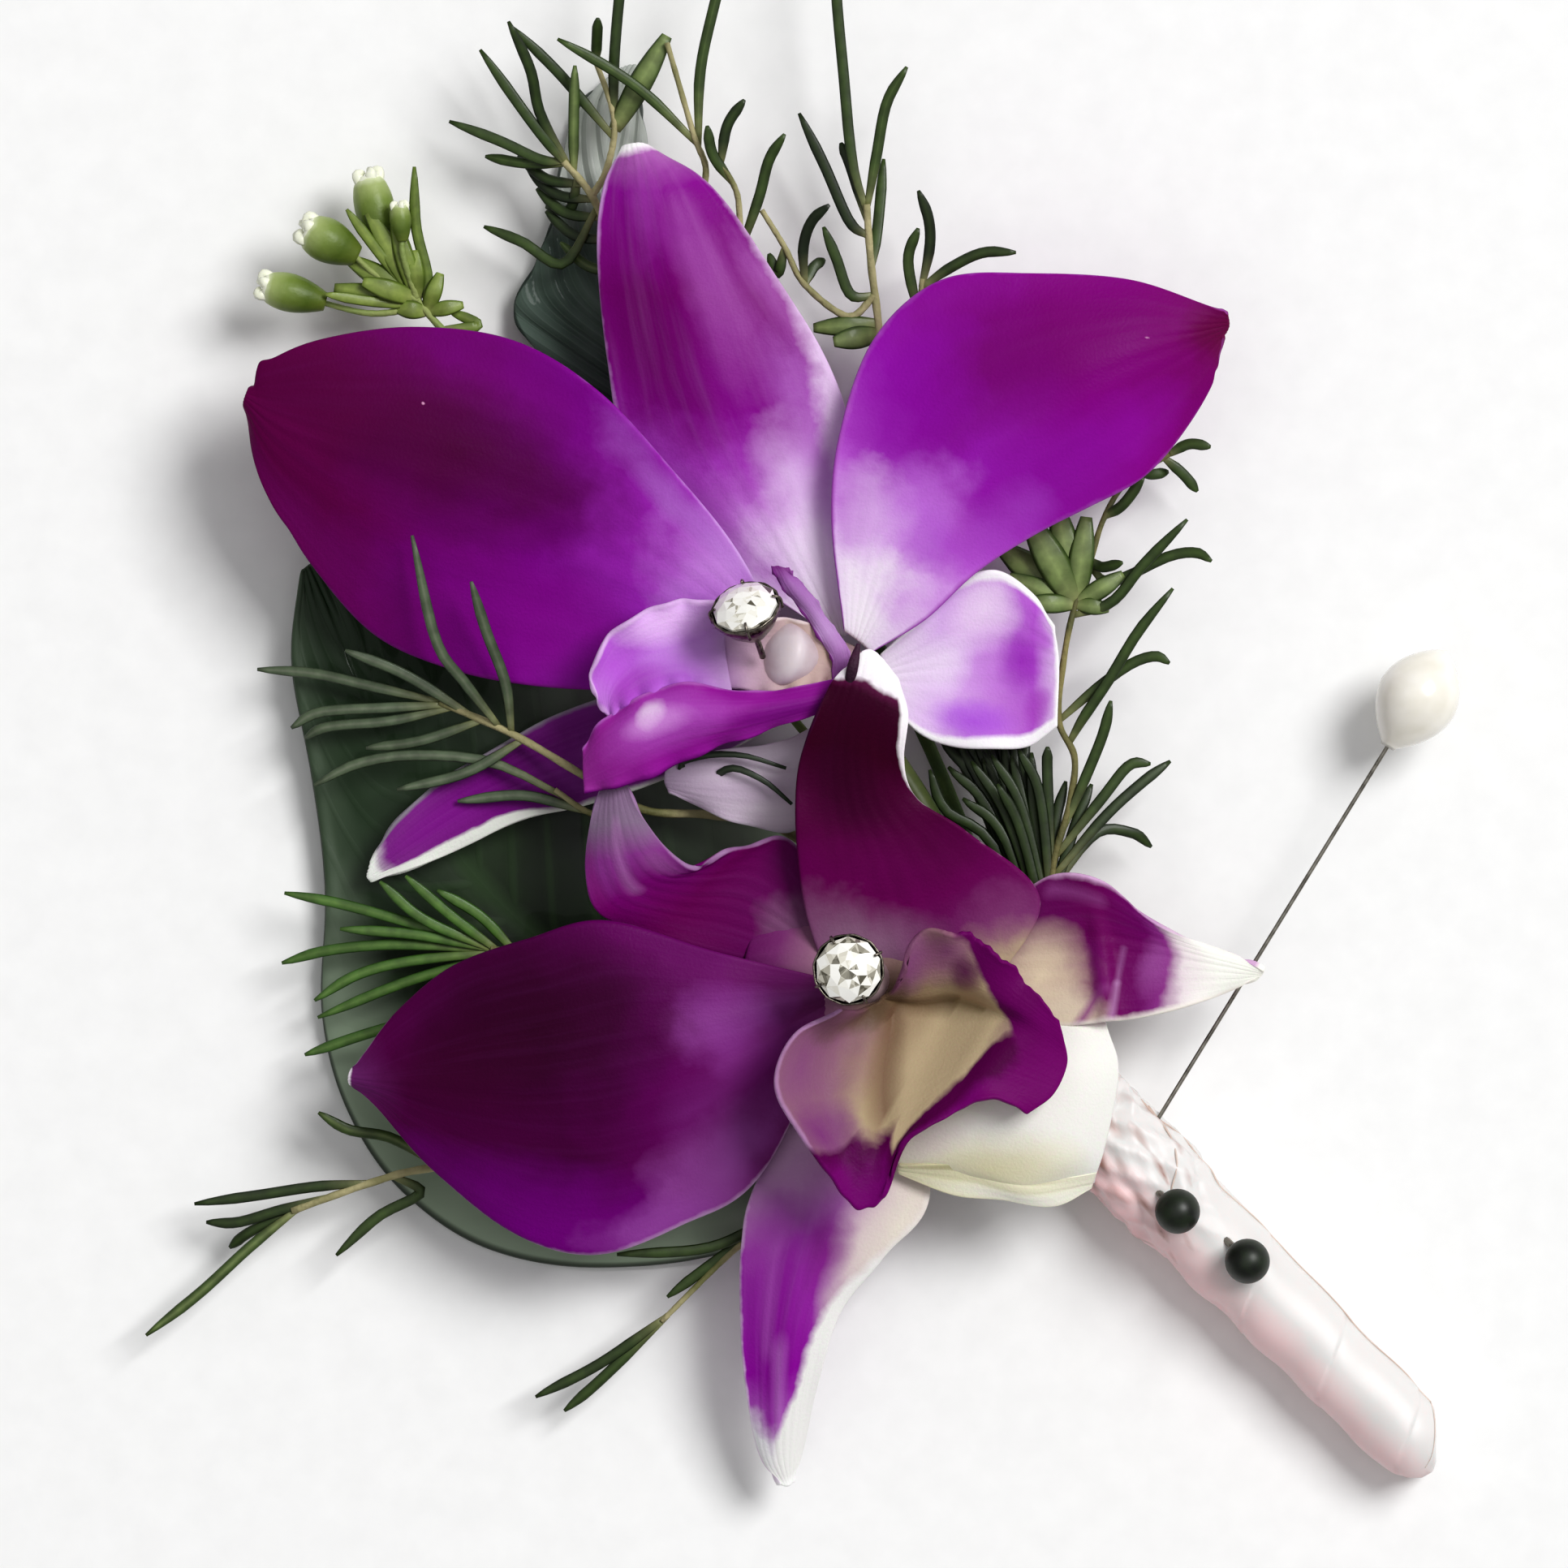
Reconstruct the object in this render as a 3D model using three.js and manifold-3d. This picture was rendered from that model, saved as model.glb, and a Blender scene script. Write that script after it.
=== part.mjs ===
// Boutonniere: two orchid blooms with a crystal in each, needle sprigs, waxflower buds and two leaves,
// bound in satin ribbon, with two ball-headed pins and a pearl-headed pin.
// Millimetres, +Z up. It lies on its back: z = 0 is the table, +Y runs towards the needle tips.
import * as THREE from 'three';
import { mergeVertices } from 'three/addons/utils/BufferGeometryUtils.js';
import Module from 'manifold-3d';

const wasm = await Module();
wasm.setup();

// Driving dimensions
const GAP = 0.3;
const PETAL_THICKNESS = 0.7;
const LEAF_THICKNESS = 0.8;
const NEEDLE_WIDTH = 1.0;
const NEEDLE_FLATNESS = 0.7;
const STEM_RADIUS = 0.42;
const PIN_RADIUS = 0.26;
const PIN_CLEARANCE = PIN_RADIUS + GAP;
const BALL_RADIUS = 1.57;
const PEARL_LENGTH = 8.0;
const PEARL_RADIUS = 2.85;
const CRYSTAL_RADIUS = 2.1;

// The ribbon wrap runs from its upper end at WRAP_TOP, down and to the right, for WRAP_LENGTH
const WRAP_TOP = new THREE.Vector2(21.0, -29.6);
const WRAP_LENGTH = 33.6;
const WRAP_AXIS = new THREE.Vector2(Math.SQRT1_2, -Math.SQRT1_2);
const WRAP_ACROSS = new THREE.Vector2(Math.SQRT1_2, Math.SQRT1_2);
const WRAP_SIDES = 16;
const WRAP_WALL = 0.6;
const WRAP_RADII = [[-6, 3.75], [4, 3.75], [8, 3.5], [14, 3.3], [25, 3.05], [WRAP_LENGTH + 4, 2.85]];
const BUNDLE_START = -1.5;
const BUNDLE_END = 28.5;
const BUNDLE_ROD_RADIUS = 0.72;
const BUNDLE_TAPER = 0.6;

// Where each stem leaves the bundle: across the bundle, and above its axis
const SLOTS = {
  backingLeaf: [-1.35, -1.68], waxflower: [0, -1.68], upperLeaf: [1.35, -1.68],
  bottomSprig: [-2.2, 0.05], lowerLeftSprig: [-1.1, -0.42], leftSprig: [0, 0.05],
  topLeftSprig: [1.1, -0.42], topMiddleSprig: [2.2, 0.05],
  lowerBloom: [-1.4, 1.4], upperBloom: [0.45, 1.45], rightSprig: [1.9, 1.1],
};

const UP = new THREE.Vector3(0, 0, 1);
const vector = ([x, y, z = 0]) => new THREE.Vector3(x, y, z);
const smoothCurve = (points) => new THREE.CatmullRomCurve3(points, false, 'catmullrom', 0.5);

// Solids

function closedGeometry(positions, triangles) {
  const geometry = new THREE.BufferGeometry();
  geometry.setAttribute('position', new THREE.Float32BufferAttribute(positions, 3));
  geometry.setIndex(triangles);
  return geometry;
}

function solidOf(geometry) {
  geometry.deleteAttribute('normal');
  geometry.deleteAttribute('uv');
  const merged = mergeVertices(geometry, 1e-4);
  const vertProperties = new Float32Array(merged.attributes.position.array);
  const triVerts = new Uint32Array(merged.index.array);
  const solid = new wasm.Manifold(new wasm.Mesh({ numProp: 3, vertProperties, triVerts }));
  if (solid.volume() > 0) {
    return solid;
  }
  for (let i = 0; i < triVerts.length; i += 3) {
    [triVerts[i], triVerts[i + 1]] = [triVerts[i + 1], triVerts[i]];
  }
  return new wasm.Manifold(new wasm.Mesh({ numProp: 3, vertProperties, triVerts }));
}

function fuse(...solids) {
  return solids.reduce((whole, next) => whole.add(next));
}

function geometryOf(solid) {
  const { vertProperties, triVerts } = solid.getMesh();
  const geometry = closedGeometry(Array.from(vertProperties), Array.from(triVerts));
  geometry.computeVertexNormals();
  return geometry;
}

// A skin of rings joined side by side, closed at both ends
function ringSolid(rings) {
  const sides = rings[0].length;
  const positions = rings.flat().flatMap((p) => [p.x, p.y, p.z]);
  const triangles = [];
  for (let i = 0; i + 1 < rings.length; i += 1) {
    for (let j = 0; j < sides; j += 1) {
      const a = i * sides + j;
      const b = i * sides + ((j + 1) % sides);
      triangles.push(a, b, b + sides, a, b + sides, a + sides);
    }
  }
  const last = (rings.length - 1) * sides;
  for (let j = 1; j + 1 < sides; j += 1) {
    triangles.push(0, j + 1, j, last, last + j, last + j + 1);
  }
  return solidOf(closedGeometry(positions, triangles));
}

// A rod along a smooth path, whose radius follows a profile from 0 at its start to 1 at its end
function rod(points, { radius, profile = () => 1, flatness = 1, sides = 6, steps = 8, twist = 0 }) {
  const curve = smoothCurve(points.map(vector));
  const rings = [];
  for (let i = 0; i <= steps; i += 1) {
    const s = i / steps;
    const centre = curve.getPoint(s);
    const along = curve.getTangent(s);
    const reference = Math.abs(along.z) > 0.9 ? new THREE.Vector3(0, 1, 0) : UP;
    const side = new THREE.Vector3().crossVectors(along, reference).normalize();
    const rise = new THREE.Vector3().crossVectors(side, along);
    const r = radius * profile(s);
    rings.push(Array.from({ length: sides }, (_, j) => {
      const angle = twist + (2 * Math.PI * j) / sides;
      return centre.clone()
        .addScaledVector(side, r * Math.cos(angle))
        .addScaledVector(rise, r * flatness * Math.sin(angle));
    }));
  }
  return ringSolid(rings);
}

// A thin curved blade through three or more rails, each a smooth line from its base to its tip
function blade(rails, { thickness = PETAL_THICKNESS, along = 9, across = 6 } = {}) {
  const curves = rails.map((rail) => smoothCurve(rail.map(vector)));
  const pointAt = (u, v) => smoothCurve(curves.map((curve) => curve.getPoint(u))).getPoint(v);
  const normalAt = (u, v) => {
    const step = 1e-3;
    const du = pointAt(Math.min(1, u + step), v).sub(pointAt(Math.max(0, u - step), v));
    const dv = pointAt(u, Math.min(1, v + step)).sub(pointAt(u, Math.max(0, v - step)));
    return du.cross(dv).normalize();
  };
  const row = across + 1;
  const faceSize = (along + 1) * row;
  const faces = [[], []];
  for (let i = 0; i <= along; i += 1) {
    for (let j = 0; j <= across; j += 1) {
      const u = i / along;
      const v = j / across;
      const middle = pointAt(u, v);
      const normal = normalAt(u, v).multiplyScalar(thickness / 2);
      faces[0].push(...middle.clone().add(normal).toArray());
      faces[1].push(...middle.clone().sub(normal).toArray());
    }
  }
  const triangles = [];
  for (let i = 0; i < along; i += 1) {
    for (let j = 0; j < across; j += 1) {
      const a = i * row + j;
      triangles.push(a, a + row, a + row + 1, a, a + row + 1, a + 1);
      const b = a + faceSize;
      triangles.push(b, b + row + 1, b + row, b, b + 1, b + row + 1);
    }
  }
  const wall = (a, b) => triangles.push(a, b, b + faceSize, a, b + faceSize, a + faceSize);
  for (let i = 0; i < along; i += 1) {
    wall((i + 1) * row, i * row);
    wall(i * row + across, (i + 1) * row + across);
  }
  for (let j = 0; j < across; j += 1) {
    wall(j, j + 1);
    wall(along * row + j + 1, along * row + j);
  }
  return solidOf(closedGeometry([...faces[0], ...faces[1]], triangles));
}

function turned(profile, sides) {
  return new THREE.LatheGeometry(profile.map(([r, h]) => new THREE.Vector2(r, h)), sides);
}

// A turned or built shape, moved so that its own +Y points along a direction from a point
function pointed(geometry, at, direction) {
  const turn = new THREE.Quaternion().setFromUnitVectors(
    new THREE.Vector3(0, 1, 0), vector(direction).normalize());
  return solidOf(geometry.applyQuaternion(turn).translate(...at));
}

function slab(low, high) {
  const size = vector(high).sub(vector(low));
  const centre = vector(low).add(vector(high)).multiplyScalar(0.5);
  return solidOf(new THREE.BoxGeometry(...size.toArray()).translate(...centre.toArray()));
}

// What lies on the table is cut flat where it touches it
function restOnTable(solid) {
  return solid.subtract(slab([-90, -90, -9], [90, 90, 0]));
}

function ovalRing(at, direction, radius, length, sides = 10) {
  const geometry = new THREE.SphereGeometry(radius, sides, 6);
  return pointed(geometry.scale(1, length / (2 * radius), 1), at, direction);
}

// The bundle's own frame: distance along the wrap, across it, and height above the table
function wrapRadius(s) {
  const after = WRAP_RADII.findIndex(([at]) => at > s);
  const [a, ra] = WRAP_RADII[after - 1];
  const [b, rb] = WRAP_RADII[after];
  return ra + ((rb - ra) * (s - a)) / (b - a);
}

const axisHeight = (s) => wrapRadius(s) * Math.cos(Math.PI / WRAP_SIDES);

function onWrap(s, across, above) {
  const x = WRAP_TOP.x + WRAP_AXIS.x * s + WRAP_ACROSS.x * across;
  const y = WRAP_TOP.y + WRAP_AXIS.y * s + WRAP_ACROSS.y * across;
  return [x, y, axisHeight(s) + above];
}

// A stem's first two points, straight out of its slot in the bundle
function outOf(slot, reach = 2.5) {
  const [across, above] = SLOTS[slot];
  const start = BUNDLE_START - GAP;
  return [onWrap(start, across, above), onWrap(start - reach, across, above)];
}

// Needle foliage: stems that branch, and needles that root on them

const needleProfile = (s) => (s > 0.75 ? 1 - (s - 0.75) * 2.6 : Math.min(1, 0.55 + 1.6 * s));

class Sprig {
  constructor(slot, path, radius = STEM_RADIUS) {
    this.stems = [];
    this.solids = [];
    this.grow([...outOf(slot), ...path], radius);
  }

  grow(path, radius, steps = path.length + 3) {
    const profile = (s) => 1 - 0.3 * s;
    this.stems.push(smoothCurve(path.map(vector)));
    this.solids.push(rod(path, { radius, profile, steps, sides: 5 }));
  }

  rootOn(stem, at) {
    return this.stems[stem].getPoint(at).toArray();
  }

  branch(stem, at, ...path) {
    this.grow([this.rootOn(stem, at), ...path], STEM_RADIUS * 0.85, path.length + 1);
  }

  // A needle from a stem to its tip, by plan points; it climbs evenly to the height of its tip
  needle(stem, at, tipHeight, ...plan) {
    const root = this.rootOn(stem, at);
    const points = plan.map(([x, y], i) => {
      const s = (i + 1) / plan.length;
      return [x, y, root[2] + (tipHeight - root[2]) * s];
    });
    this.solids.push(rod([root, ...points], {
      radius: NEEDLE_WIDTH / 2, profile: needleProfile, flatness: NEEDLE_FLATNESS, sides: 4,
      steps: plan.length > 2 ? 4 : 3,
    }));
  }

  leaflet(stem, at, width, tip) {
    const root = this.rootOn(stem, at);
    const middle = [0, 1, 2].map((k) => (root[k] + tip[k]) / 2 + (k === 2 ? 0.4 : 0));
    const profile = (s) => 0.3 + 0.7 * Math.sin(Math.PI * Math.min(0.93, 0.1 + 0.83 * s));
    this.solids.push(rod([root, middle, tip], {
      radius: width / 2, profile, flatness: 0.45, sides: 6, steps: 4,
    }));
  }

  solid() {
    return fuse(...this.solids);
  }
}

function topLeftSprig() {
  const sprig = new Sprig('topLeftSprig', [
    [11.2, -11, 3.9], [0, 8, 4.6], [-8, 22, 5], [-12.6, 31, 5.2], [-14.6, 35.5, 5.4], [-16.6, 38, 5.8]]);
  sprig.branch(0, 0.86, [-13.6, 37.5, 5.2], [-13.1, 41, 5.6], [-14.6, 45.6, 6.2]);
  sprig.branch(0, 0.8, [-8.2, 33, 5.6], [-6.7, 37, 6.2], [-7.6, 40, 6.6], [-9.4, 46.2, 7.2]);
  sprig.branch(0, 0.74, [-5.4, 30, 6.2], [-4.4, 35, 6.6], [-5.9, 38.3, 7]);
  sprig.needle(0, 1, 5.2, [-18.2, 38.1], [-21, 39.4], [-24.6, 40.8]);
  sprig.needle(0, 0.99, 4.2, [-19.4, 37.9], [-22.1, 38.4]);
  sprig.needle(0, 0.98, 7.5, [-18.6, 40.4], [-22.4, 45.7]);
  sprig.needle(0, 0.97, 9, [-18.2, 41.2], [-18.9, 44.3], [-20.4, 47.6]);
  sprig.needle(1, 0.55, 7.2, [-15.6, 42.6], [-17.4, 44.6], [-20.2, 47.3]);
  sprig.needle(0, 0.93, 3.6, [-16.2, 34.7], [-17.9, 34.9]);
  sprig.needle(0, 0.83, 4.2, [-16.6, 30.9], [-19.5, 32.4], [-22.2, 33.5]);
  sprig.needle(0, 0.95, 7.5, [-15.9, 40.5], [-15.8, 44.6]);
  sprig.needle(1, 0.95, 7.8, [-14.2, 47.9]);
  sprig.needle(1, 0.6, 8, [-13.1, 44.5], [-12.7, 49.5], [-12.1, 54.2]);
  sprig.needle(2, 0.7, 8.5, [-10.6, 42.4], [-13.4, 44.4], [-17.0, 46.4]);
  sprig.needle(2, 0.68, 8, [-7.1, 44], [-6.2, 48.4], [-4.6, 54.4]);
  sprig.needle(3, 0.8, 7.8, [-6.2, 38.4], [-6.6, 40.4]);
  sprig.needle(3, 0.95, 8, [-5.2, 40.4], [-4, 42.2]);
  sprig.needle(3, 0.45, 8.2, [-3, 35.4], [-2.3, 38], [-1.2, 39.8]);
  sprig.leaflet(1, 0.6, 2.4, [-9.4, 46.7, 6.8]);
  for (let k = 0; k < 5; k += 1) {
    const at = 0.7 + 0.05 * k;
    const [x, y] = sprig.rootOn(0, at);
    sprig.needle(0, at, 4, [x - 2.6, y + 0.4], [x - 4.6, y + 2.1]);
  }
  return sprig.solid();
}

function topMiddleSprig() {
  const sprig = new Sprig('topMiddleSprig', [
    [15.4, -16, 4.4], [11.6, -2, 4.6], [8, 12, 4.8], [5.8, 22, 5], [5.3, 27, 5.2], [4.8, 31, 5.6], [4.5, 35, 6]]);
  sprig.branch(0, 0.8, [3.2, 27.2, 5.4], [0.2, 29.4, 5.8], [-1.2, 32, 5.6], [-2.8, 34.6, 5.4]);
  sprig.branch(0, 0.7, [7.6, 24, 5.6], [8.4, 29.8, 6]);
  sprig.needle(0, 0.93, 7, [3.3, 33.8], [1.6, 37.6], [-0.2, 41.3]);
  sprig.needle(0, 0.98, 7.4, [3.5, 38], [2.9, 44], [2.4, 49.5], [2.2, 54.4]);
  sprig.needle(0, 0.96, 5.6, [3.4, 37.6], [2.7, 39.3]);
  sprig.needle(0, 0.99, 7.6, [5.2, 38.4], [5.9, 42], [7.3, 44.5]);
  sprig.needle(0, 0.86, 5, [5.3, 33.6], [5.7, 38.2]);
  sprig.needle(0, 0.8, 6.6, [3.4, 28.7], [2.4, 31.2], [1.5, 33.4]);
  sprig.needle(1, 0.5, 7.6, [0.1, 32], [0.7, 33.8], [1.9, 34.9]);
  sprig.needle(1, 0.5, 5, [0.8, 30.6], [1.6, 31.2]);
  sprig.needle(1, 0.75, 5, [-1.7, 30.2], [-2.3, 31.6]);
  sprig.needle(2, 0.8, 7, [7.4, 31], [8.1, 33.3]);
  sprig.needle(2, 0.95, 7.4, [8.9, 32], [8.8, 34], [8.1, 35.9]);
  sprig.needle(2, 0.95, 7, [10.4, 30.6], [12.6, 31.6], [14.9, 31.6]);
  sprig.leaflet(0, 0.72, 1.6, [2.2, 25.4, 6.4]);
  sprig.leaflet(0, 0.74, 1.4, [0.8, 26.4, 5.2]);
  return sprig.solid();
}

function rightSprig() {
  const sprig = new Sprig('rightSprig', [
    [17.9, -20, 5.9], [17.4, -12, 6.1], [18.6, -7, 6.1], [19, -3.6, 6], [17.9, -1, 6], [18.2, 3, 6.2],
    [18.9, 6.6, 6.2], [20, 9.8, 6], [21, 13, 5.6], [22.6, 15.6, 5.2], [25.6, 17.6, 5]]);
  sprig.needle(0, 1, 5.4, [27, 18.3], [28.5, 18.1]);
  sprig.needle(0, 0.99, 4.4, [26.6, 16.2], [27.6, 15]);
  sprig.needle(0, 0.95, 4, [24.4, 16.2], [25.6, 16.4]);
  sprig.needle(0, 0.84, 6.6, [22.4, 14.1], [23.8, 16]);
  sprig.needle(0, 0.66, 8, [21.6, 7.3], [23.7, 9.8], [26.8, 13]);
  sprig.needle(0, 0.75, 7.6, [21.6, 8.7], [25.4, 10.4], [27.4, 10.7], [28.5, 10.1]);
  sprig.needle(0, 0.76, 8.2, [20.9, 9.7], [22.3, 10]);
  sprig.needle(0, 0.72, 5, [20.2, 7.6], [20.9, 7]);
  sprig.needle(0, 0.45, 8, [19.6, -0.8], [21.4, 1.9], [23.4, 5.2], [25.8, 8.2]);
  sprig.needle(0, 0.5, 6.6, [20.2, 1], [22.8, 2.9], [24.6, 3.5], [25.6, 3]);
  sprig.needle(0, 0.3, 7.2, [19.9, -4.6], [21, -1.8], [21.5, 0.4]);
  sprig.needle(0, 0.27, 6, [20.9, -6.4], [22.8, -4.1], [24.3, -4]);
  sprig.needle(0, 0.25, 4.8, [21, -7.8], [23.6, -5.4], [25.7, -3.8]);
  sprig.needle(0, 0.24, 4, [20.4, -8.9], [23, -8.8], [24.4, -9.8]);
  sprig.needle(0, 0.22, 6.8, [16.6, -6.4], [15.1, -3]);
  sprig.needle(0, 0.2, 6.6, [15.4, -7.4], [13.2, -3.4]);
  sprig.needle(0, 0.19, 6.4, [14.4, -8], [11.8, -3.8]);
  sprig.needle(0, 0.25, 6.8, [17.1, -5], [17.1, -2.8]);
  sprig.needle(0, 0.16, 6.2, [14.2, -9.4], [11.2, -6.4]);
  sprig.needle(0, 0.17, 7.2, [15.4, -9.2], [13.6, -5.4]);
  sprig.leaflet(0, 0.7, 1.9, [17, 12.9, 7.2]);
  sprig.leaflet(0, 0.72, 1.6, [19.4, 13.2, 6.8]);
  sprig.leaflet(0, 0.68, 1.9, [14, 10.6, 5.2]);
  return sprig.solid();
}

function leftSprig() {
  const sprig = new Sprig('leftSprig', [
    [7.6, -16, 4.8], [-0.6, -9, 5], [-6, -7.6, 5.4], [-11, -7.2, 6.6], [-15.2, -4.8, 7.7],
    [-20, -2, 7.4], [-25.2, 0.3, 6.6]]);
  sprig.branch(0, 0.66, [-12.4, -7.8, 6.6], [-14.8, -7.4, 7], [-17.2, -5.8, 7.2]);
  sprig.needle(0, 1, 4.4, [-30, 1.4], [-34, 2.3], [-38, 2.6]);
  sprig.needle(0, 0.99, 5.6, [-29, -0.1], [-33.6, -0.4], [-35.6, -1.5]);
  sprig.needle(0, 0.98, 4.4, [-28.6, -1], [-33, -1.4], [-34.7, -2.2]);
  sprig.needle(1, 0.9, 5.6, [-21.6, -3.9], [-27, -3.4], [-31, -4], [-34, -5.5]);
  sprig.needle(0, 0.9, 13.6, [-23.4, 1.6], [-25.4, 4.6], [-27, 11.8]);
  sprig.needle(0, 0.88, 14, [-20.6, 1.6], [-21.9, 5.2], [-22.9, 8.6]);
  sprig.needle(0, 0.95, 7.4, [-27.6, 2.2], [-31.8, 3.9]);
  return sprig.solid();
}

function lowerLeftSprig() {
  const sprig = new Sprig('lowerLeftSprig', [
    [8, -21.4, 3.9], [-4, -20, 4.8], [-13, -18.2, 5.4], [-21.7, -16.9, 5.6]]);
  sprig.branch(0, 0.85, [-22, -20.6, 5.2], [-27, -21.8, 5]);
  sprig.needle(0, 1, 4.8, [-27, -15.2], [-32, -13.8], [-36.1, -13]);
  sprig.needle(0, 0.99, 5.6, [-27, -15.9], [-32.2, -15.5]);
  sprig.needle(0, 0.98, 4, [-28, -16.6], [-33, -17], [-36.3, -17.9]);
  sprig.needle(0, 0.97, 4.8, [-27, -17.7], [-31, -18.7], [-34, -20.5]);
  sprig.needle(0, 0.96, 3.8, [-27, -19], [-33.8, -21.7]);
  sprig.needle(0, 1, 6.6, [-26.4, -14.8], [-29.4, -12.2]);
  sprig.needle(0, 0.99, 7.2, [-24.4, -14.6], [-27.6, -11.8]);
  sprig.needle(0, 0.96, 6.6, [-22.4, -14.6], [-25.4, -12.8]);
  sprig.needle(1, 0.9, 4, [-30.6, -22.9], [-34.7, -24.3]);
  return sprig.solid();
}

function bottomSprig() {
  const sprig = new Sprig('bottomSprig', [
    [10, -28.8, 4.7], [-4, -29.6, 4.8], [-16, -31, 5], [-26, -32.2, 4.6], [-30, -33.2, 4.4], [-35.6, -35.2, 4]]);
  sprig.branch(0, 0.3, [1, -33.4, 5], [-4.6, -37.8, 4.6], [-9.8, -42.9, 4]);
  sprig.needle(0, 0.86, 4.2, [-34, -33.5], [-38, -34.1], [-42.4, -34.7]);
  sprig.needle(0, 0.93, 3.4, [-36.6, -35.2], [-39.4, -36], [-41.6, -36]);
  sprig.needle(0, 0.99, 3.4, [-38.4, -37.6], [-42, -40.9], [-45.8, -43.9]);
  sprig.needle(0, 0.98, 2.6, [-38.4, -36.6], [-40, -37.8]);
  sprig.needle(0, 0.8, 4, [-26.6, -33.9], [-29.6, -35.6], [-32.5, -38.3]);
  sprig.needle(0, 0.7, 5.6, [-28.6, -30.1], [-31.6, -29.5], [-33.7, -28.3]);
  sprig.needle(1, 0.98, 3.4, [-14, -45.8], [-18.6, -48.2]);
  sprig.needle(1, 0.97, 2.8, [-12.8, -45.8], [-14.6, -47.5], [-16.6, -49.2]);
  sprig.needle(1, 0.6, 4.2, [-6.2, -38.8], [-9.4, -41.2]);
  sprig.needle(1, 0.5, 5.4, [-6.4, -37.7], [-12.9, -38.2]);
  return sprig.solid();
}

// Waxflower: short vase-shaped buds on stalks, with narrow leaves between them

function bud(foot, head, radius) {
  const middle = foot.map((value, k) => (value + head[k]) / 2);
  const profile = (s) => 0.3 + 0.7 * Math.sin(Math.PI * Math.min(0.78, 0.08 + 0.75 * s));
  return rod([foot, middle, head], { radius, profile, sides: 8, steps: 5 });
}

function waxflowerSpray() {
  const spray = new Sprig('waxflower', [
    [12, -17, 3.2], [2, -4, 4.2], [-10, 10, 4.8], [-19, 20, 5.2], [-25, 26.2, 5.2], [-27, 28.6, 5.2]]);
  spray.branch(0, 0.95, [-30, 27.4, 5.4], [-34, 28.3, 5.6]);
  spray.branch(0, 0.98, [-29.6, 30, 5.6], [-31.8, 32, 6]);
  spray.branch(0, 1, [-28.3, 31, 5], [-29.3, 33, 4.8]);
  spray.branch(0, 0.99, [-27.8, 31.4, 6.4], [-27.8, 33, 6.6]);
  spray.solids.push(
    bud([-33.4, 28.2, 5.6], [-37.7, 29.3, 6], 1.75),
    bud([-31, 31.4, 5.9], [-34.9, 33.1, 6.6], 1.95),
    bud([-29.1, 31.8, 4.9], [-30.3, 37.3, 4.6], 1.75),
    bud([-27.8, 32.4, 6.6], [-28.1, 35.6, 6.8], 0.85));
  spray.needle(0, 0.93, 6.4, [-26.1, 30], [-26.9, 33.5], [-27, 37.6]);
  spray.needle(0, 0.98, 7, [-29.3, 31.4], [-31.7, 34.6]);
  spray.needle(0, 0.96, 6.8, [-29.8, 28.2], [-33.2, 28.7]);
  spray.needle(0, 0.86, 4.8, [-22.6, 26.6], [-24.6, 27.6]);
  return spray.solid();
}

// Blooms

// Column: a stalk out of the bundle, the ring that the petals stand on, the post under the crystal, and a
// low collar where the bloom has one
function column(slot, path, hub, top, tipRadius, ...collar) {
  const stalk = rod([...outOf(slot), ...path, hub], {
    radius: 0.7, profile: (s) => 1 + 0.7 * s * s, sides: 8, steps: 10,
  });
  const post = rod([hub, top], {
    radius: 1.9, profile: (s) => 1 + (tipRadius / 1.9 - 1) * s, sides: 10, steps: 2,
  });
  const knob = ovalRing(hub, [0, 0, 1], 2.0, 3.0);
  return fuse(stalk, post, knob, ...collar);
}

function backingLeaf() {
  const stalk = rod([...outOf('backingLeaf'), [14.4, -24.4, 1.5], [10, -23, 1.5], [4, -21.4, 1.6]], {
    radius: 0.55, profile: (s) => 1 - 0.25 * s, steps: 9,
  });
  const lower = [[13, -25, 1.4], [6, -32, 1.2], [-4, -37.8, 0.9], [-14, -39.3, 0.5], [-22, -38, 0.3],
    [-28, -34, 0.2], [-31.8, -28.4, 0.4], [-33.6, -21.6, 1], [-33.3, -13, 1.6], [-34.2, -5, 2.2],
    [-35.6, 3, 3], [-34.9, 9.6, 3.4]];
  const middle = [[13.2, -24.2, 1.4], [7.4, -24.8, 1.6], [0.6, -24.2, 1.8], [-6.4, -22.6, 1.9],
    [-12.8, -19.8, 2], [-17.8, -16.6, 2.1], [-21.8, -13, 2.3], [-25, -9, 2.6], [-27.6, -5, 2.9],
    [-29.8, -0.6, 3.2], [-31.8, 4, 3.4], [-34.4, 10, 3.5]];
  const upper = [[13.4, -23.4, 1.4], [9.6, -19.6, 1.5], [5.6, -15, 1.5], [1.6, -10, 1.5], [-2.6, -5, 1.6],
    [-7, -0.4, 1.8], [-11.6, 3.8, 2], [-16.4, 7.4, 2.3], [-21.2, 9.8, 2.7], [-26, 11.2, 3.1],
    [-30.6, 11.4, 3.4], [-33.9, 10.3, 3.5]];
  const shape = blade([lower, middle, upper], { thickness: LEAF_THICKNESS, along: 13, across: 6 });
  return restOnTable(fuse(shape, stalk));
}

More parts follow.
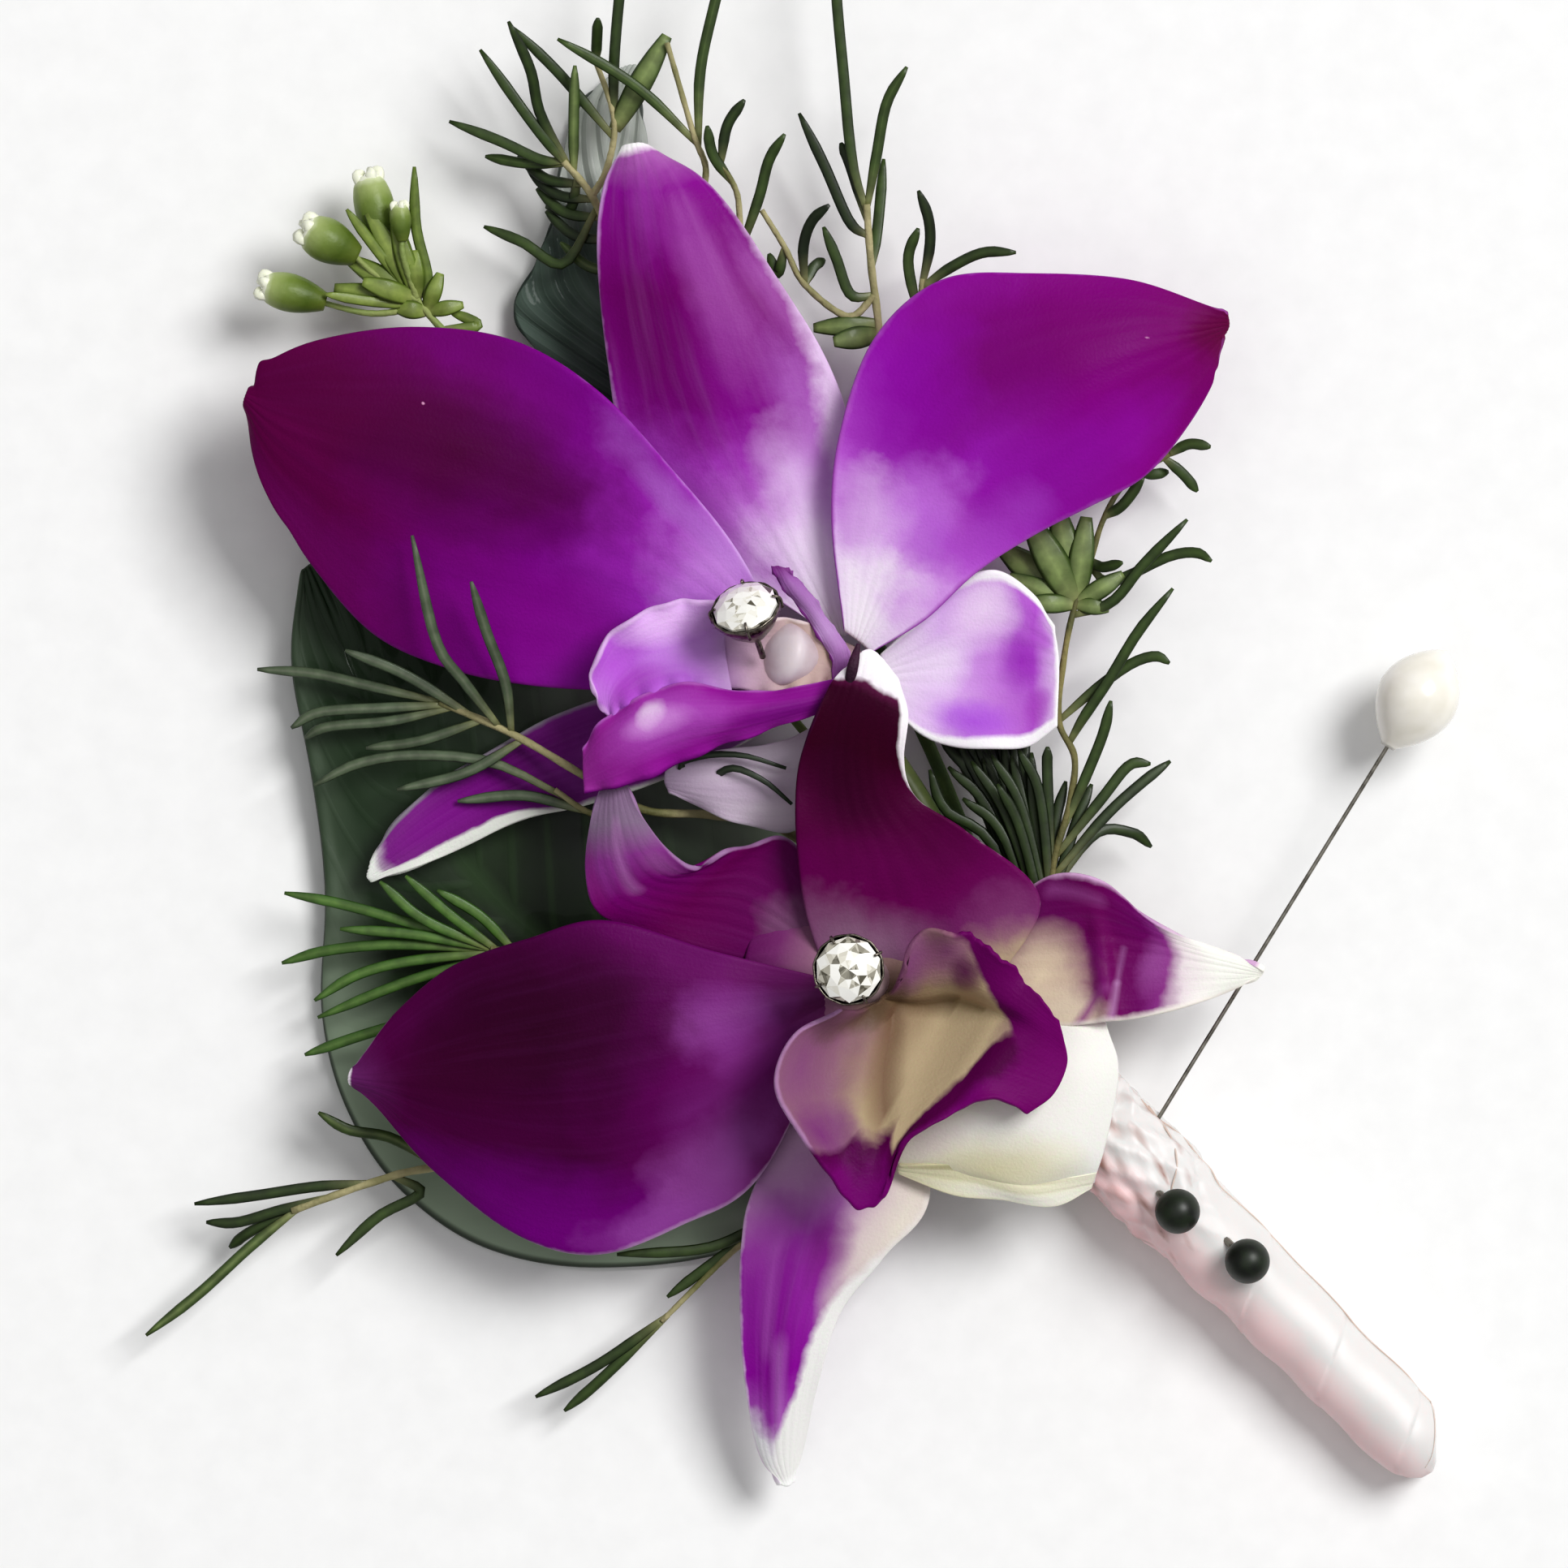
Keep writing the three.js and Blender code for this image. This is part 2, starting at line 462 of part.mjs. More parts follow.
function upperLeaf() {
  const stalk = rod([...outOf('upperLeaf'), [15.6, -20, 1.8], [9, -3, 1.9], [1, 12, 2], [-5, 21, 2]], {
    radius: 0.55, profile: (s) => 1 - 0.25 * s, steps: 10,
  });
  const left = [[-4.6, 17, 1.9], [-13, 20.6, 1.8], [-19, 25.4, 1.8], [-20.2, 28, 1.7], [-18.7, 31, 1.6],
    [-17.4, 34.4, 1.3], [-16.9, 38, 0.9], [-15.4, 42.4, 0.5], [-12.4, 44.6, 0.2]];
  const middle = [[-4, 17.6, 2], [-8.4, 21.4, 2.2], [-12, 25.4, 2.3], [-13.4, 28.4, 2.2], [-13.6, 31.4, 2],
    [-13.6, 34.8, 1.7], [-13.6, 38.2, 1.2], [-13.2, 42, 0.7], [-11.8, 45, 0.3]];
  const right = [[-3.4, 18.2, 1.9], [-3.6, 22.6, 1.8], [-5.6, 26.4, 1.8], [-7.4, 29.4, 1.7],
    [-8.8, 32.2, 1.6], [-9.8, 35.4, 1.4], [-10.6, 38.6, 1], [-11.2, 41.8, 0.6], [-11.2, 44.8, 0.3]];
  const shape = blade([left, middle, right], { thickness: LEAF_THICKNESS, along: 10, across: 6 });
  return restOnTable(fuse(shape, stalk));
}

const UPPER_HUB = [2.6, 2.5, 9.2];
const LOWER_HUB = [4.6, -19.2, 8.6];

const upperBloom = {
  dorsal_sepal: [
    [[2, 4.9, 8.2], [-6, 10.6, 9], [-11.8, 17, 9.2], [-13.6, 24, 9.4], [-14.3, 31, 9.2],
      [-13.8, 36.2, 8.6], [-12.3, 38.9, 8]],
    [[2.6, 4.8, 8.1], [-1.4, 12, 9.4], [-4.6, 18, 10.2], [-7, 24.4, 10.5], [-9, 31, 10.2], [-10.2, 36, 9.4],
      [-11.4, 39.1, 8.3]],
    [[3.2, 4.9, 8.2], [3.4, 12.6, 8.8], [3.4, 19, 9], [1.4, 24.8, 9.2], [-2.6, 31, 9], [-6.6, 36.3, 8.5],
      [-10.4, 38.8, 8]],
  ],
  left_petal: [
    [[-1.8, 5.8, 10.6], [-4.6, 11, 11.8], [-8.6, 16, 12.6], [-14, 21.8, 12.6], [-20, 25.4, 12.2],
      [-27, 26.4, 11.6], [-33.4, 25.5, 11], [-37.2, 23.8, 10.4], [-38.3, 22, 10]],
    [[-2.2, 4, 10.2], [-5.8, 6.6, 11], [-10.6, 9.4, 11.6], [-16, 12, 12], [-21.6, 14, 12.4],
      [-27, 15.8, 12.4], [-32, 17.4, 11.8], [-36.2, 19.4, 10.8], [-38.6, 21.4, 10]],
    [[-2.4, 2.4, 10], [-6.8, 1.2, 9.8], [-12.4, 1, 9.2], [-18.6, 1.4, 8.4], [-24.6, 2.6, 8.2],
      [-29.8, 5, 8.4], [-34, 10, 9], [-37.4, 15.6, 9.6], [-38.5, 20.8, 9.9]],
  ],
  right_petal: [
    [[2.9, 5.2, 10.2], [2, 13, 11.6], [2.6, 19, 12], [5, 25.6, 12], [9.6, 29.6, 11.8], [16, 30, 11.6],
      [22.6, 29.6, 11.2], [27.6, 27.9, 10.8], [29.5, 27.2, 10.4]],
    [[3.9, 4.5, 9.9], [6, 10, 10.8], [8.6, 14, 11.4], [11.8, 17.8, 12.2], [15.4, 20.6, 12.8],
      [19, 22.6, 13], [23, 24.2, 12.4], [26.8, 25.4, 11.4], [29.7, 26.4, 10.4]],
    [[4.8, 3.7, 9.9], [8.6, 6, 10.4], [12, 9.2, 10.2], [16, 11.8, 10], [20, 14, 10], [23.8, 16.1, 10],
      [26.6, 19, 10], [28.6, 22.4, 10.2], [29.4, 25.6, 10.3]],
  ],
  left_sepal: [
    [[-1.4, 1.2, 8.4], [-7, 2, 8.6], [-12.6, 1, 8.2], [-17.4, -0.8, 7], [-21.6, -3, 6], [-25, -5, 5.4],
      [-28.2, -7.8, 5], [-30, -10.8, 4.6]],
    [[-1.2, 0.2, 8.2], [-6.4, -1, 8], [-11.6, -2.4, 7], [-16.4, -4, 5.8], [-20.6, -5.6, 5.2],
      [-24.4, -7.6, 5], [-28, -10, 5], [-30.4, -11.8, 4.6]],
    [[-1, -0.8, 8], [-6, -3.6, 6.8], [-11, -5.6, 5.8], [-15.4, -7, 5.2], [-19.2, -7.8, 5],
      [-23.2, -9.6, 5], [-27, -11.3, 5], [-30.2, -12.2, 4.6]],
  ],
  right_sepal: [
    [[5.4, 3.6, 8], [8.4, 6.4, 8.4], [11, 8.8, 8.6], [13.6, 9.5, 8.6], [16.2, 7.7, 8.4], [17.6, 5.6, 8]],
    [[5.6, 2.2, 8], [8.8, 2.8, 7.6], [11.4, 3.2, 7.6], [13.8, 3.4, 7.8], [16, 3.6, 8], [17.9, 3.8, 8]],
    [[5.4, 0.8, 8], [8, -1.8, 8.2], [10.6, -2.9, 8.4], [13.4, -3.1, 8.4], [16, -2.2, 8.4], [17.5, 1, 8]],
  ],
};

const lowerBloom = {
  dorsal_sepal: [
    [[3.2, -16.4, 9.6], [-0.6, -9.4, 10.6], [-4, -9.8, 11.2], [-7, -11.3, 11.6], [-9.6, -9.6, 12],
      [-11.2, -7.4, 12.2], [-12.2, -5.2, 12]],
    [[2.6, -17.5, 9.4], [-3.6, -13.4, 10], [-8, -13, 10.4], [-11, -12.2, 11], [-12.4, -10.2, 11.8],
      [-12.9, -7.6, 12.3], [-13.1, -5, 12.1]],
    [[2.2, -18.6, 9.2], [-5, -17.4, 9.4], [-10.2, -15.8, 9.6], [-14, -14.4, 10], [-15, -11.4, 10.8],
      [-14.7, -8, 11.6], [-13.9, -5.2, 12]],
  ],
  left_petal: [
    [[2.2, -19, 10.8], [-6, -17, 11.4], [-13.6, -14.8, 11.8], [-19, -16.1, 11.4], [-24.4, -18, 10.6],
      [-28.2, -21, 9.8], [-30.4, -24, 9], [-31.2, -25.3, 8.6]],
    [[2.2, -20.3, 10.6], [-4.8, -23.6, 11.4], [-10.6, -25.4, 12], [-16, -26.4, 12.2], [-21, -26.6, 11.8],
      [-25.6, -26.4, 10.8], [-29, -26, 9.6], [-31.4, -25.7, 8.6]],
    [[2.4, -21.6, 10.4], [-2.8, -32.6, 9.4], [-8.4, -36.3, 8.8], [-14.4, -38.2, 8.4], [-20.2, -36.6, 8.2],
      [-25.6, -32.2, 8.2], [-29.2, -27.6, 8.4], [-31.3, -26, 8.5]],
  ],
  right_petal: [
    [[3.7, -16.6, 10.8], [-0.4, -9.8, 13], [-0.4, -5.6, 14.1], [0.4, -2, 14.7], [1.8, 1.2, 14.9],
      [3.6, 3.6, 14.5]],
    [[6, -16.6, 10.7], [5.4, -10.6, 12.2], [3.8, -6.6, 13.3], [3.4, -2.4, 14.2], [4.2, 0.8, 14.7],
      [4.8, 3.5, 14.4]],
    [[16.4, -12.8, 11], [11.6, -8.8, 11.6], [8, -6.4, 12.2], [7, -3.6, 13], [7.3, -0.6, 13.8],
      [6.4, 2.6, 13.8]],
  ],
  down_sepal: [
    [[3, -21.8, 8.4], [-2.9, -32.4, 8], [-4.3, -37.6, 7.8], [-4.4, -42.6, 7], [-3.9, -47.4, 5.8],
      [-3, -51.8, 4.6], [-1.4, -54.1, 4]],
    [[4.6, -21.9, 8.3], [2.6, -31.6, 8.8], [0.6, -37.4, 8.8], [-0.8, -42.6, 7.8], [-1.4, -47.6, 6.4],
      [-1.5, -51.8, 5], [-1, -54.4, 4]],
    [[6.2, -21.8, 8.6], [9, -33.4, 7.8], [5.8, -38.2, 7.8], [2.6, -42.2, 7], [1, -47, 5.8],
      [0.2, -51.4, 4.6], [-0.6, -54.2, 4]],
  ],
  right_sepal: [
    [[7, -17, 9], [14, -13.6, 9.4], [17.8, -11.4, 10], [21.2, -11.4, 10.4], [24.6, -13.5, 9.8],
      [27.6, -15.7, 8.8], [30.4, -16.9, 7.8], [31.8, -18, 7.2]],
    [[6.9, -18, 8.9], [13.8, -17.2, 9], [17.4, -16.8, 9], [21, -16.7, 9.2], [24.6, -17.1, 9],
      [27.8, -17.7, 8.4], [30.4, -18.2, 7.8], [32.1, -18.5, 7.2]],
    [[7, -19.2, 8.9], [13.4, -21, 9.2], [17, -22.2, 9.6], [20.8, -22, 9.8], [24.4, -21.5, 9.2],
      [27.6, -20.6, 8.4], [30.2, -19.6, 7.7], [31.9, -18.9, 7.2]],
  ],
};

function upperLip() {
  const leftLobe = blade([
    [[-4.9, 7.2, 13.2], [-7.4, 7.4, 13.8], [-10, 7, 14], [-13.2, 5.2, 14], [-14.7, 2, 13.8],
      [-13.8, -0.4, 13.4]],
    [[-5.3, 4.2, 12.6], [-7.4, 4.4, 12.8], [-9.6, 4.2, 13], [-12, 3.2, 13.2], [-13.4, 1.2, 13.4],
      [-13.4, -0.8, 13.3]],
    [[-4.8, 0.8, 13.8], [-6.8, 1, 14], [-8.8, 1.2, 14.1], [-11, 0.4, 14], [-12.6, -0.4, 13.6],
      [-13, -1.2, 13.3]],
  ], { along: 8, across: 6 });
  const midLobe = blade([
    [[2.4, 1.9, 13], [-0.6, 1.3, 13.4], [-4, 1, 13.8], [-8.4, 1.6, 14.2], [-11.6, 0.5, 14],
      [-14, -1.2, 13.4], [-15.1, -3, 13]],
    [[2.7, 0.8, 13.4], [-0.8, 0, 14], [-4.4, -0.6, 14.6], [-8.4, -1, 15], [-11.4, -2, 14.8],
      [-13.6, -3.4, 14], [-15.2, -4.6, 13.2]],
    [[2.2, -0.2, 13], [-0.8, -1.1, 13.2], [-4.4, -2.3, 13.4], [-7.6, -3.7, 13.6], [-10.6, -5, 13.6],
      [-13, -5.7, 13.4], [-15.1, -6.1, 13]],
  ], { along: 10, across: 6 });
  const rightLobe = blade([
    [[2, 1.2, 12.8], [2, 3.4, 12.9], [0.6, 5.6, 13], [-1.1, 8, 13.4], [-2.2, 9.6, 13.6]],
    [[2.6, 1.2, 12.9], [2.5, 3.6, 13.1], [1.1, 6, 13.4], [-0.6, 8.2, 13.8], [-1.6, 9.7, 13.8]],
    [[3.2, 1.2, 12.8], [3.2, 3.8, 12.8], [1.6, 6.3, 13], [0, 8.4, 13.4], [-0.9, 9.5, 13.6]],
  ], { along: 8, across: 2 });
  const claw = rod([[3.6, 0.8, 11.2], [3.2, 0.9, 12.2], [2.2, 0.9, 13.2]], { radius: 0.7, steps: 3, sides: 8 });
  return fuse(leftLobe, midLobe, rightLobe, claw);
}

function upperChin() {
  return blade([
    [[2.2, -0.6, 8], [-1.4, -2.4, 8.6], [-5.6, -3, 8.4], [-9.4, -4.2, 7.9]],
    [[2.3, -2.4, 8.2], [-0.8, -4.8, 8.9], [-5.2, -5.2, 8.8], [-9.6, -5.1, 7.9]],
    [[2.4, -4.6, 8], [-0.4, -8.6, 7.8], [-4.6, -8, 7.8], [-9.3, -6, 7.7]],
  ], { along: 7, across: 6 });
}

function lowerLip() {
  return blade([
    [[3.4, -22.6, 13.4], [-0.6, -22.6, 16], [-1.8, -26, 17.4], [-0.4, -29.4, 17.6], [2.2, -33, 16.6],
      [4.6, -34.9, 15.8], [6.2, -33, 15.8], [7.4, -30.2, 16], [10.4, -28.6, 15.8], [12.6, -27.8, 15.4],
      [15.6, -28.2, 14.4]],
    [[4.4, -22, 12.4], [2.2, -23, 13.6], [1.8, -25.4, 14.6], [2.4, -27.6, 15], [3.8, -29.4, 15],
      [5.4, -30, 15], [6.8, -29.4, 15], [8.6, -28, 15], [10.8, -26.6, 15], [13.4, -25.6, 15],
      [17.4, -26.9, 14]],
    [[5.6, -21, 11.6], [6.2, -21.4, 11.5], [7, -21.6, 11.4], [8, -21.8, 11.4], [9, -21.8, 11.6],
      [10, -21.8, 11.8], [11, -21.8, 12.2], [12.2, -21.8, 12.8], [13.6, -22, 13.8], [15.4, -22.8, 14.8],
      [18.4, -24.8, 13.6]],
    [[6.2, -19.8, 12.4], [7.2, -19.2, 12.8], [8.2, -18.8, 13.2], [9.2, -18.6, 13.6], [10.2, -18.6, 14],
      [11.2, -18.8, 14.4], [12.2, -19.2, 14.8], [13.2, -19.8, 15], [14.4, -20.6, 15.2],
      [15.8, -21.4, 15.2], [18.1, -23, 14]],
    [[6.8, -18.4, 13.6], [7.4, -16.6, 15], [8.4, -15.7, 15.8], [9.6, -15.4, 16.2], [10.8, -15.6, 16.4],
      [12, -16, 16.4], [13.2, -16.9, 16.2], [14.4, -17.8, 15.8], [15.4, -19, 15.4], [16.4, -20.2, 15],
      [17.7, -21.8, 14.4]],
  ], { along: 16, across: 8 });
}

function lowerChin() {
  const cup = blade([
    [[10.2, -22.8, 10.6], [15.4, -22.9, 10.8], [18.6, -22.8, 10.2], [21.2, -22.7, 8.8]],
    [[11.4, -24.6, 11.6], [15, -25, 11.8], [18.8, -25.2, 11], [21.9, -25, 9]],
    [[10.6, -27.4, 11.8], [14.8, -28, 12], [18.4, -28.4, 11], [21.5, -28.2, 9.1]],
    [[9.4, -30, 10.9], [14, -30.6, 11.2], [17.6, -31.2, 10.6], [20.9, -31, 9]],
    [[8.4, -31, 9.9], [11.4, -31.9, 10], [15.6, -33, 9.8], [20.5, -32.6, 8.6]],
  ], { along: 7, across: 8, thickness: 0.9 });
  const fold = blade([
    [[8.8, -30.7, 9.7], [12, -31.7, 9.9], [16, -32.8, 9.7], [20.5, -32.2, 8.6]],
    [[8.2, -32.3, 9.1], [11.6, -32.8, 9.3], [15.8, -33.6, 9.4], [20.3, -33, 8.3]],
    [[8.7, -34.7, 9], [10.6, -34.2, 8.8], [14.4, -34.1, 8.8], [20.2, -33.7, 8]],
  ], { along: 7, across: 4 });
  return fuse(cup, fold);
}

// Crystals: a cut stone in a metal cup with four prongs, on a post that is pushed into the column

function crystal(at, direction) {
  const r = CRYSTAL_RADIUS;
  const profile = [[0, -1.5], [r, 0.1], [r, 0.35], [0.58 * r, 1.05], [0, 1.05]];
  return pointed(turned(profile, 8), at, direction);
}

function crystalSetting(at, direction, postLength) {
  const inner = CRYSTAL_RADIUS + 0.26;
  const outer = inner + 0.32;
  const cup = pointed(turned([[0, -2.5], [0.9, -2.5], [outer, -0.2], [outer, 0.3], [inner, 0.3],
    [inner, -0.02], [0, -1.9]], 16), at, direction);
  const axis = vector(direction).normalize();
  const foot = vector(at).addScaledVector(axis, -2.3);
  const post = rod([foot.toArray(), foot.clone().addScaledVector(axis, -postLength / 2).toArray(),
    foot.clone().addScaledVector(axis, -postLength).toArray()], { radius: PIN_RADIUS, steps: 2 });
  return fuse(cup, post);
}

function postHole(at, direction, postLength) {
  const axis = vector(direction).normalize();
  const from = vector(at).addScaledVector(axis, -1.2);
  const to = vector(at).addScaledVector(axis, -2.3 - postLength - GAP);
  const middle = from.clone().add(to).multiplyScalar(0.5);
  return rod([from, middle, to].map((p) => p.toArray()), { radius: PIN_CLEARANCE, steps: 2, sides: 8 });
}

const UPPER_CRYSTAL = { at: [-3.9, 6.7, 17.4], direction: [-0.25, 0.68, 0.69], post: 2.6 };
const LOWER_CRYSTAL = { at: [3.2, -18.2, 18.6], direction: [0, 0, 1], post: 3 };

// The wrap, the bundle of stems in it, and the pins

const PEARL_PIN = { entry: [25.2, -28.2, 4.2], head: [42.85, 0.5, 5.2], inside: 3.2 };
const BALL_PINS = [{ s: 7.5, across: -0.28 }, { s: 13.4, across: 0.7 }];
const BALL_PIN_LENGTH = 8.6;
const BALL_PIN_SLOPE = 0.84;

function wrapRings(shrink, from, to, steps) {
  return Array.from({ length: steps + 1 }, (_, i) => {
    const s = from + ((to - from) * i) / steps;
    const r = wrapRadius(s) - shrink;
    return Array.from({ length: WRAP_SIDES }, (_unused, j) => {
      const angle = (2 * Math.PI * (j + 0.5)) / WRAP_SIDES;
      return vector(onWrap(s, r * Math.sin(angle), r * Math.cos(angle)));
    });
  });
}

function ribbonWrap(holes) {
  const sleeve = ringSolid(wrapRings(0, -5, WRAP_LENGTH + 3, 12));
  const inside = ringSolid(wrapRings(WRAP_WALL, -6, BUNDLE_END + 2 * GAP, 12));
  const upperCut = slab([-10, -60, -5], [21.3, 0, 20]);
  const endCut = solidOf(new THREE.BoxGeometry(20, 60, 30).translate(10, 0, 0)
    .rotateZ(-0.36).translate(43.4, -52, 0));
  return [inside, upperCut, endCut, ...holes].reduce((left, cut) => left.subtract(cut), sleeve);
}

function stemBundle(holes) {
  const rods = Object.values(SLOTS).map(([across, above]) => {
    const path = [0, 0.5, 1].map((t) => {
      const k = 1 - (1 - BUNDLE_TAPER) * t;
      return onWrap(BUNDLE_START + (BUNDLE_END - BUNDLE_START) * t, across * k, above * k);
    });
    const profile = (s) => 1 - (1 - BUNDLE_TAPER) * s;
    return rod(path, { radius: BUNDLE_ROD_RADIUS, profile, steps: 2, sides: 6 });
  });
  const core = rod([0, 0.5, 1].map((t) => onWrap(BUNDLE_START + (BUNDLE_END - BUNDLE_START) * t, 0, 0)), {
    radius: 3 * BUNDLE_ROD_RADIUS, profile: (s) => 1 - (1 - BUNDLE_TAPER) * s, steps: 1, sides: 10,
  });
  return holes.reduce((left, hole) => left.subtract(hole), fuse(core, ...rods));
}

function straightPin(from, to, radius) {
  const middle = from.map((value, k) => (value + to[k]) / 2);
  return rod([from, middle, to], { radius, steps: 2, sides: 8 });
}

function towards(from, to, distance) {
  const start = vector(from);
  return start.addScaledVector(vector(to).sub(start).normalize(), distance).toArray();
}

function ballPin({ s, across }) {
  const height = wrapRadius(s) + BALL_RADIUS + GAP;
  const head = onWrap(s, across, height);
  const tip = onWrap(s - BALL_PIN_LENGTH * Math.cos(BALL_PIN_SLOPE), across,
    height - BALL_PIN_LENGTH * Math.sin(BALL_PIN_SLOPE));
  const hole = straightPin(towards(head, tip, -0.9), towards(head, tip, BALL_PIN_LENGTH + GAP), PIN_CLEARANCE);
  const ball = solidOf(new THREE.SphereGeometry(BALL_RADIUS, 14, 9).translate(...head));
  return { ball: ball.subtract(hole), shaft: straightPin(towards(head, tip, -0.6), tip, PIN_RADIUS), hole };
}

function pearlPin() {
  const { entry, head, inside } = PEARL_PIN;
  const foot = towards(entry, head, -inside);
  const top = towards(head, entry, 1);
  const hole = straightPin(towards(foot, head, -GAP), towards(head, entry, 1 - GAP), PIN_CLEARANCE);
  const profile = [[0, -0.5], [0.4, -0.47], [0.7, -0.36], [0.92, -0.18], [1, 0.02], [0.96, 0.2], [0.78, 0.38],
    [0.42, 0.48], [0, 0.5]];
  const drop = pointed(turned(profile.map(([r, h]) => [r * PEARL_RADIUS, h * PEARL_LENGTH]), 14), head,
    vector(head).sub(vector(entry)).toArray());
  return { pearl: drop.subtract(hole), shaft: straightPin(foot, top, PIN_RADIUS), hole };
}

// The whole boutonniere

const boutonniere = new THREE.Group();

function add(name, solid, color, roughness, metalness = 0) {
  const mesh = new THREE.Mesh(geometryOf(solid),
    new THREE.MeshStandardMaterial({ color, roughness, metalness, side: THREE.DoubleSide }));
  mesh.name = name;
  boutonniere.add(mesh);
}

const LEAF_GREEN = 0x2c4a34;
const NEEDLE_GREEN = 0x3a4c28;
const PETAL_PURPLE = 0x6e0a70;
const LIP_PURPLE = 0x8a2a92;
const COLUMN_CREAM = 0xd8c8b0;

add('backing_leaf', backingLeaf(), LEAF_GREEN, 0.45);
add('upper_leaf', upperLeaf(), LEAF_GREEN, 0.5);

const sprigs = {
  top_left: topLeftSprig, top_middle: topMiddleSprig, right: rightSprig, left: leftSprig,
  lower_left: lowerLeftSprig, bottom: bottomSprig,
};
for (const [place, build] of Object.entries(sprigs)) {
  add(`needle_sprig_${place}`, build(), NEEDLE_GREEN, 0.55);
}
add('waxflower_spray', waxflowerSpray(), 0x8fae62, 0.5);

function addBloom(name, leaves, lip, stem, stone) {
  for (const [piece, rails] of Object.entries(leaves)) {
    add(`${name}_${piece}`, blade(rails, { along: 10, across: 6 }), PETAL_PURPLE, 0.5);
  }
  add(`${name}_lip`, lip, LIP_PURPLE, 0.5);
  const hole = postHole(stone.at, stone.direction, stone.post);
  add(`${name}_column`, stem.subtract(hole), COLUMN_CREAM, 0.5);
  add(`${name}_crystal`, crystal(stone.at, stone.direction), 0xf2f2f4, 0.05);
  add(`${name}_crystal_setting`, crystalSetting(stone.at, stone.direction, stone.post), 0x50504e, 0.3, 1);
}

addBloom('upper_bloom', upperBloom, upperLip(),
  column('upperBloom', [[14, -18, 6], [9, -8, 6.4], [4.6, -1.4, 7.4]], UPPER_HUB, [-3, 4.8, 14], 1.4),
  UPPER_CRYSTAL);
addBloom('lower_bloom', lowerBloom, lowerLip(),
  column('lowerBloom', [[14, -24, 6.4], [9.6, -22, 6.8]], LOWER_HUB, [3.4, -18.4, 15.6], 1.4,
    rod([[2.6, -18.2, 11.8], [2.6, -18.2, 12.1], [2.6, -18.2, 12.5]], {
      radius: 2.8, profile: (s) => 1 - 0.3 * s, sides: 12, steps: 1,
    })),
  LOWER_CRYSTAL);
add('upper_bloom_chin', upperChin(), 0xc8b8cc, 0.5);
add('lower_bloom_chin', lowerChin(), 0xf0f0ec, 0.5);

const pins = BALL_PINS.map(ballPin);
const pearl = pearlPin();
const pinHoles = [...pins, pearl].map(({ hole }) => hole);
add('ribbon_wrap', ribbonWrap(pinHoles), 0xf4e4e6, 0.4);
add('stem_bundle', stemBundle(pinHoles), 0x6f7f45, 0.7);
pins.forEach(({ ball, shaft }, i) => {
  add(`ball_pin_${i + 1}_head`, ball, 0x10180e, 0.25);
  add(`ball_pin_${i + 1}_shaft`, shaft, 0xb8b8b8, 0.3, 1);
});
add('pearl_pin_head', pearl.pearl, 0xf2f0e4, 0.3);
add('pearl_pin_shaft', pearl.shaft, 0xb8b8b8, 0.3, 1);

export default boutonniere;
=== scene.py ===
# Boutonniere of two orchid blooms with crystals, needle sprigs, waxflower buds and leaves, bound in satin.
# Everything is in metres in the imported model's frame; lists of points are in millimetres.
import math

import bpy
import numpy as np
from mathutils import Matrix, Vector


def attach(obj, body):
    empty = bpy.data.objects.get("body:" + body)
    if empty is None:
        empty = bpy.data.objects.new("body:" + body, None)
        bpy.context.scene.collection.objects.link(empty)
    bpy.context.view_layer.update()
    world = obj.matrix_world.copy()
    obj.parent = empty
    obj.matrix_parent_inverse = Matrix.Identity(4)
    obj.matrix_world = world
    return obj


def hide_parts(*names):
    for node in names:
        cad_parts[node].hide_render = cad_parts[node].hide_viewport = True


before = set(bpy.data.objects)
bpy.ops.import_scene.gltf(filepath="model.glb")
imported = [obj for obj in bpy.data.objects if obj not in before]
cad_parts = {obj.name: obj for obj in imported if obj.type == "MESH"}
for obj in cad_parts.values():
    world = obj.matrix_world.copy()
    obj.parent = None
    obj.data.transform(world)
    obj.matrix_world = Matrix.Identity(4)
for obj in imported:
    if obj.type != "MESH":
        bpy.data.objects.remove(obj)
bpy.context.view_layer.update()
MM = 0.001


# Camera. The photograph looks straight down on the boutonniere, from far enough away that nothing
# is seen in perspective. The frame is 109.8 mm wide and the object fills nearly all of it.
FRAME_WIDTH_MM = 109.8
CAMERA_HEIGHT_MM = 1200
camera = bpy.data.objects.new("camera", bpy.data.cameras.new("camera"))
bpy.context.scene.collection.objects.link(camera)
camera.data.lens = 36 * CAMERA_HEIGHT_MM / FRAME_WIDTH_MM
camera.data.clip_end = 10
camera.location = (-1.25 * MM, -5.4 * MM, CAMERA_HEIGHT_MM * MM)
bpy.context.scene.camera = camera
bpy.context.scene.view_settings.view_transform = "Standard"
bpy.context.scene.view_settings.look = "Medium High Contrast"


# Backing leaf: one broad, leathery leaf behind both blooms, with a pale midrib and a rolled rim.
# Fresh leaf with a waxy cuticle. Its margin lies on the table and its stalk runs into the bundle.
def colour(code):
    """sRGB hex to the linear values that Blender's sockets take."""
    levels = [int(code[i:i + 2], 16) / 255 for i in (1, 3, 5)]
    linear = [c / 12.92 if c <= 0.04045 else ((c + 0.055) / 1.055) ** 2.4 for c in levels]
    return (*linear, 1.0)


